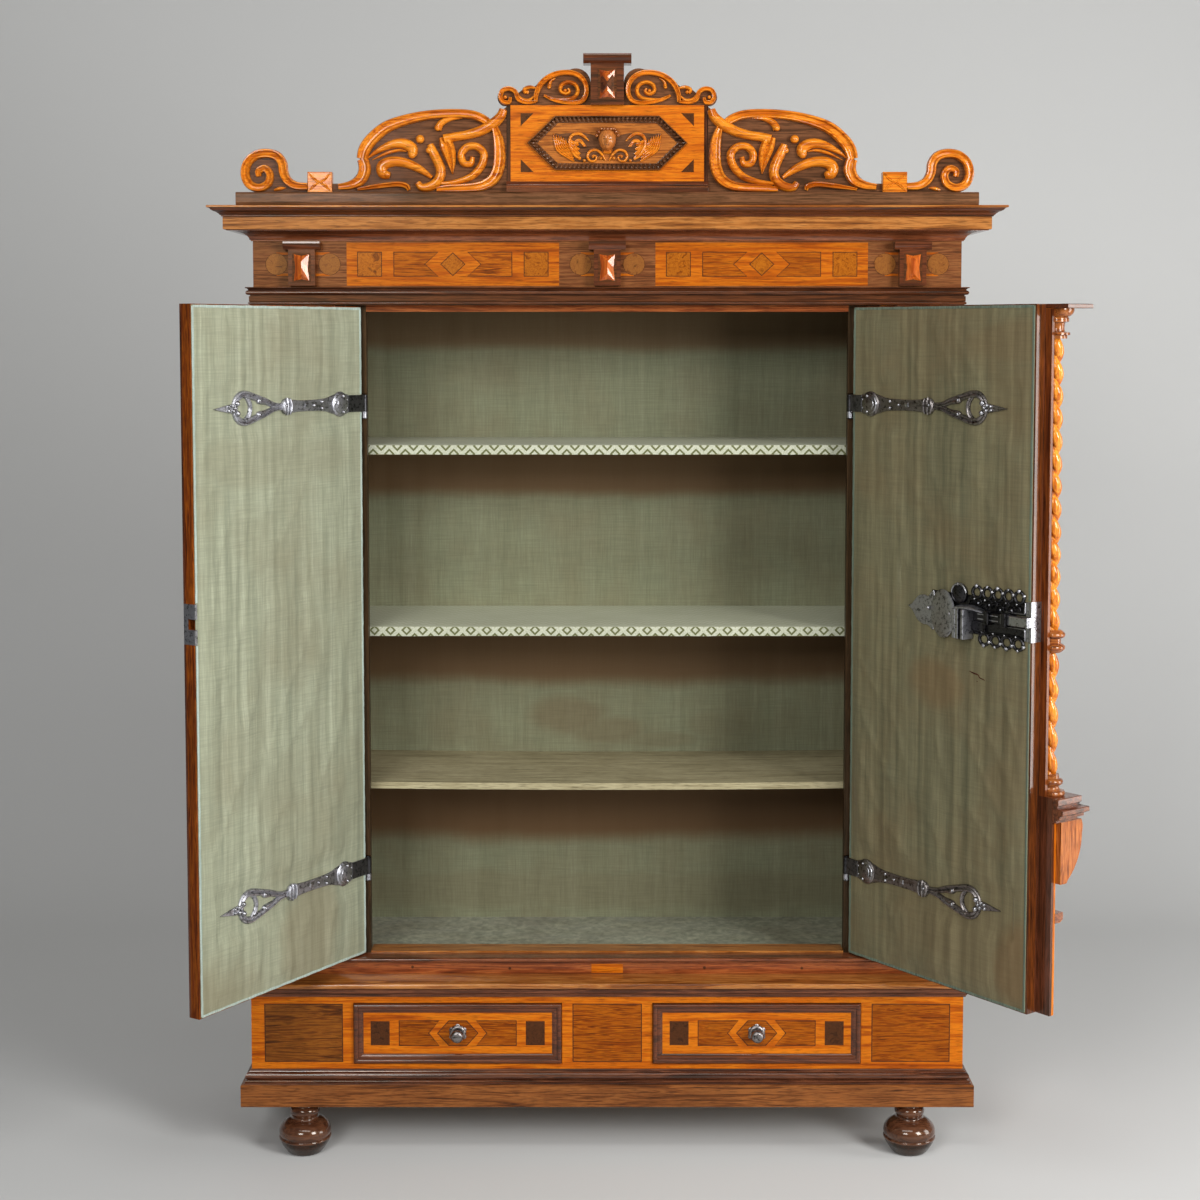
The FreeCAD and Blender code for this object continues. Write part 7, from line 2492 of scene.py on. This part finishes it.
@dataclass(frozen=True)
class Interior:
    """Cloth on the back and floor, the printed shelf covers and the bare lower shelf."""

    thick: float = 1.0
    back_columns: int = 210
    back_rows: int = 120
    floor_columns: int = 150
    floor_rows: int = 40
    cover_steps: int = 240
    shelf_levels: Point = (806.0, 1157.0, 1565.0)
    shelf_half: float = 14.0
    soft_edge: float = 30.0

    def build(self) -> None:
        """Dress the shelves and make the cloths."""
        dress(SHELF_WOOD, "shelf_upper", "shelf_middle", "shelf_lower")
        self.line_back()
        self.line_floor()
        for name in ("upper", "middle"):
            self.cover(name)

    def line_back(self) -> None:
        """Cloth on the back wall with faint upright creases, held tight along the edges and the shelves."""
        box = Extent.of("lining_back")
        sketch = Sketch(front_place(box.high.y))
        left, right, low, high = box.low.x, box.high.x, box.low.z, box.high.z
        line = [left + (right - left) * index / self.back_columns for index in range(self.back_columns + 1)]
        rings = []
        for v in (low + (high - low) * row / self.back_rows for row in range(self.back_rows + 1)):
            tight = [v - low, high - v, *(abs(v - level) - self.shelf_half for level in self.shelf_levels)]
            front = []
            for u in line:
                free = max(0.0, min(1.0, min(u - left, right - u, *tight) / self.soft_edge))
                narrow, broad = noise.noise(Vector((u / 34, v / 420, 2.0))), noise.noise(Vector((u / 90,
                                                                                                 v / 160,
                                                                                                 7.0)))
                front.append((u, v, 1.5 + free * (0.6 + 1.4 * (0.9 * narrow + 0.8 * broad))))
            rings.append(front + [(u, v, 0.1) for u in reversed(line)])
        sketch.loft(rings, BACK_LINING)
        cloth = sketch.piece("back_cloth", "cabinet", "lining_back", ["lining_back"])

    def line_floor(self) -> None:
        """Cloth on the floor board, a little uneven."""
        box = Extent.of("lining_floor")
        sketch = Sketch(front_place(0))
        left, right, near, far = box.low.x, box.high.x, -box.high.y, -box.low.y
        line = [left + (right - left) * index / self.floor_columns for index in range(self.floor_columns + 1)]
        rings = []
        for w in (near + (far - near) * row / self.floor_rows for row in range(self.floor_rows + 1)):
            top = []
            for u in line:
                free = max(0.0, min(1.0, (u - left) / 40, (right - u) / 40, (w - near) / 40, (far - w) / 25))
                wave = noise.noise(Vector((u / 130, w / 60, 4.0))) + 0.5 * noise.noise(Vector((u / 40, w / 90,
                                                                                               9.0)))
                top.append((u, box.high.z + free * (0.8 + 1.6 * wave), w))
            rings.append(top + [(u, box.low.z, w) for u in reversed(line)])
        sketch.loft(rings, FLOOR_LINING)
        cloth = sketch.piece("floor_cloth", "cabinet", "lining_floor", ["lining_floor"])

    def cover(self, name: str) -> None:
        """Printed cloth over a shelf, turned down over its front edge.

        Args:
            name: The shelf's name.
        """
        node = f"shelf_cover_{name}"
        shelf, box = Extent.of(f"shelf_{name}"), Extent.of(node)
        sketch = Sketch(Place(Vector((0, 0, 0)), Vector((0, -1, 0)), Vector((1, 0, 0))))
        back, front = -box.high.y + 0.5, -shelf.low.y
        top, drop, wide = shelf.high.z, box.low.z, box.high.x - box.low.x
        seed = shelf.high.z / 100
        rings = []
        for index in range(self.cover_steps + 1):
            x = box.low.x + 0.4 + (wide - 0.8) * index / self.cover_steps
            lift = 0.5 * noise.noise(Vector((x / 70, seed, 0.0))) + 0.5
            hem = 1.2 * noise.noise(Vector((x / 55, seed, 5.0)))
            swell = 0.7 * max(0.0, noise.noise(Vector((x / 38, seed, 8.0))))
            ring = [(back, top + self.thick)]
            for share in (0.2, 0.4, 0.6, 0.8, 0.93):
                wave = noise.noise(Vector((x / 90, share * 5 + seed, 3.0)))
                ring.append((back + (front - back) * share, top + self.thick + lift * (0.6 + wave)))
            ring += [(front - 1.0, top + self.thick), (front + 0.8, top + 0.4),
                     (front + self.thick + 0.3, top - 1.2)]
            for share in (0.35, 0.7, 1.0):
                ring.append((front + self.thick + swell * math.sin(math.pi * share),
                             top + (drop - hem - top) * share + (0.0 if share < 1 else 0.4)))
            ring += [(front + 0.1, drop - hem + 0.4), (front + 0.1, top + 0.1), (back, top + 0.1)]
            rings.append([(u, v, x) for u, v in ring])
        sketch.loft(rings, COVER)
        cloth = sketch.piece(f"shelf_cloth_{name}", "cabinet", node, [node])


def main() -> None:
    """Build the classes in order."""
    logging.basicConfig(level=logging.INFO, format="%(name)s: %(message)s")
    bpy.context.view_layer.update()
    for made in (Studio(), Base(), Drawer(Side.LEFT), Drawer(Side.RIGHT), Carcass(), Entablature(),
                 Pediment(),
                 Columns(), Interior(), Door(Side.LEFT), Door(Side.RIGHT)):
        made.build()


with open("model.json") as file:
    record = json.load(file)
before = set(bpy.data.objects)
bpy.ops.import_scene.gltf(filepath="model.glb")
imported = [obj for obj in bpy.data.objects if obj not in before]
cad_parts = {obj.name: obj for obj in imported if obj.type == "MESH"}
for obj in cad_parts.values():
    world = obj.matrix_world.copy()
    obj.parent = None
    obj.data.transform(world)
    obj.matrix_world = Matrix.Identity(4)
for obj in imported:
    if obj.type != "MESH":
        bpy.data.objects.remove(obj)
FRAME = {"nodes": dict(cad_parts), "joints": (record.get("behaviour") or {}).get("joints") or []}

if __name__ == "__main__":
    main()
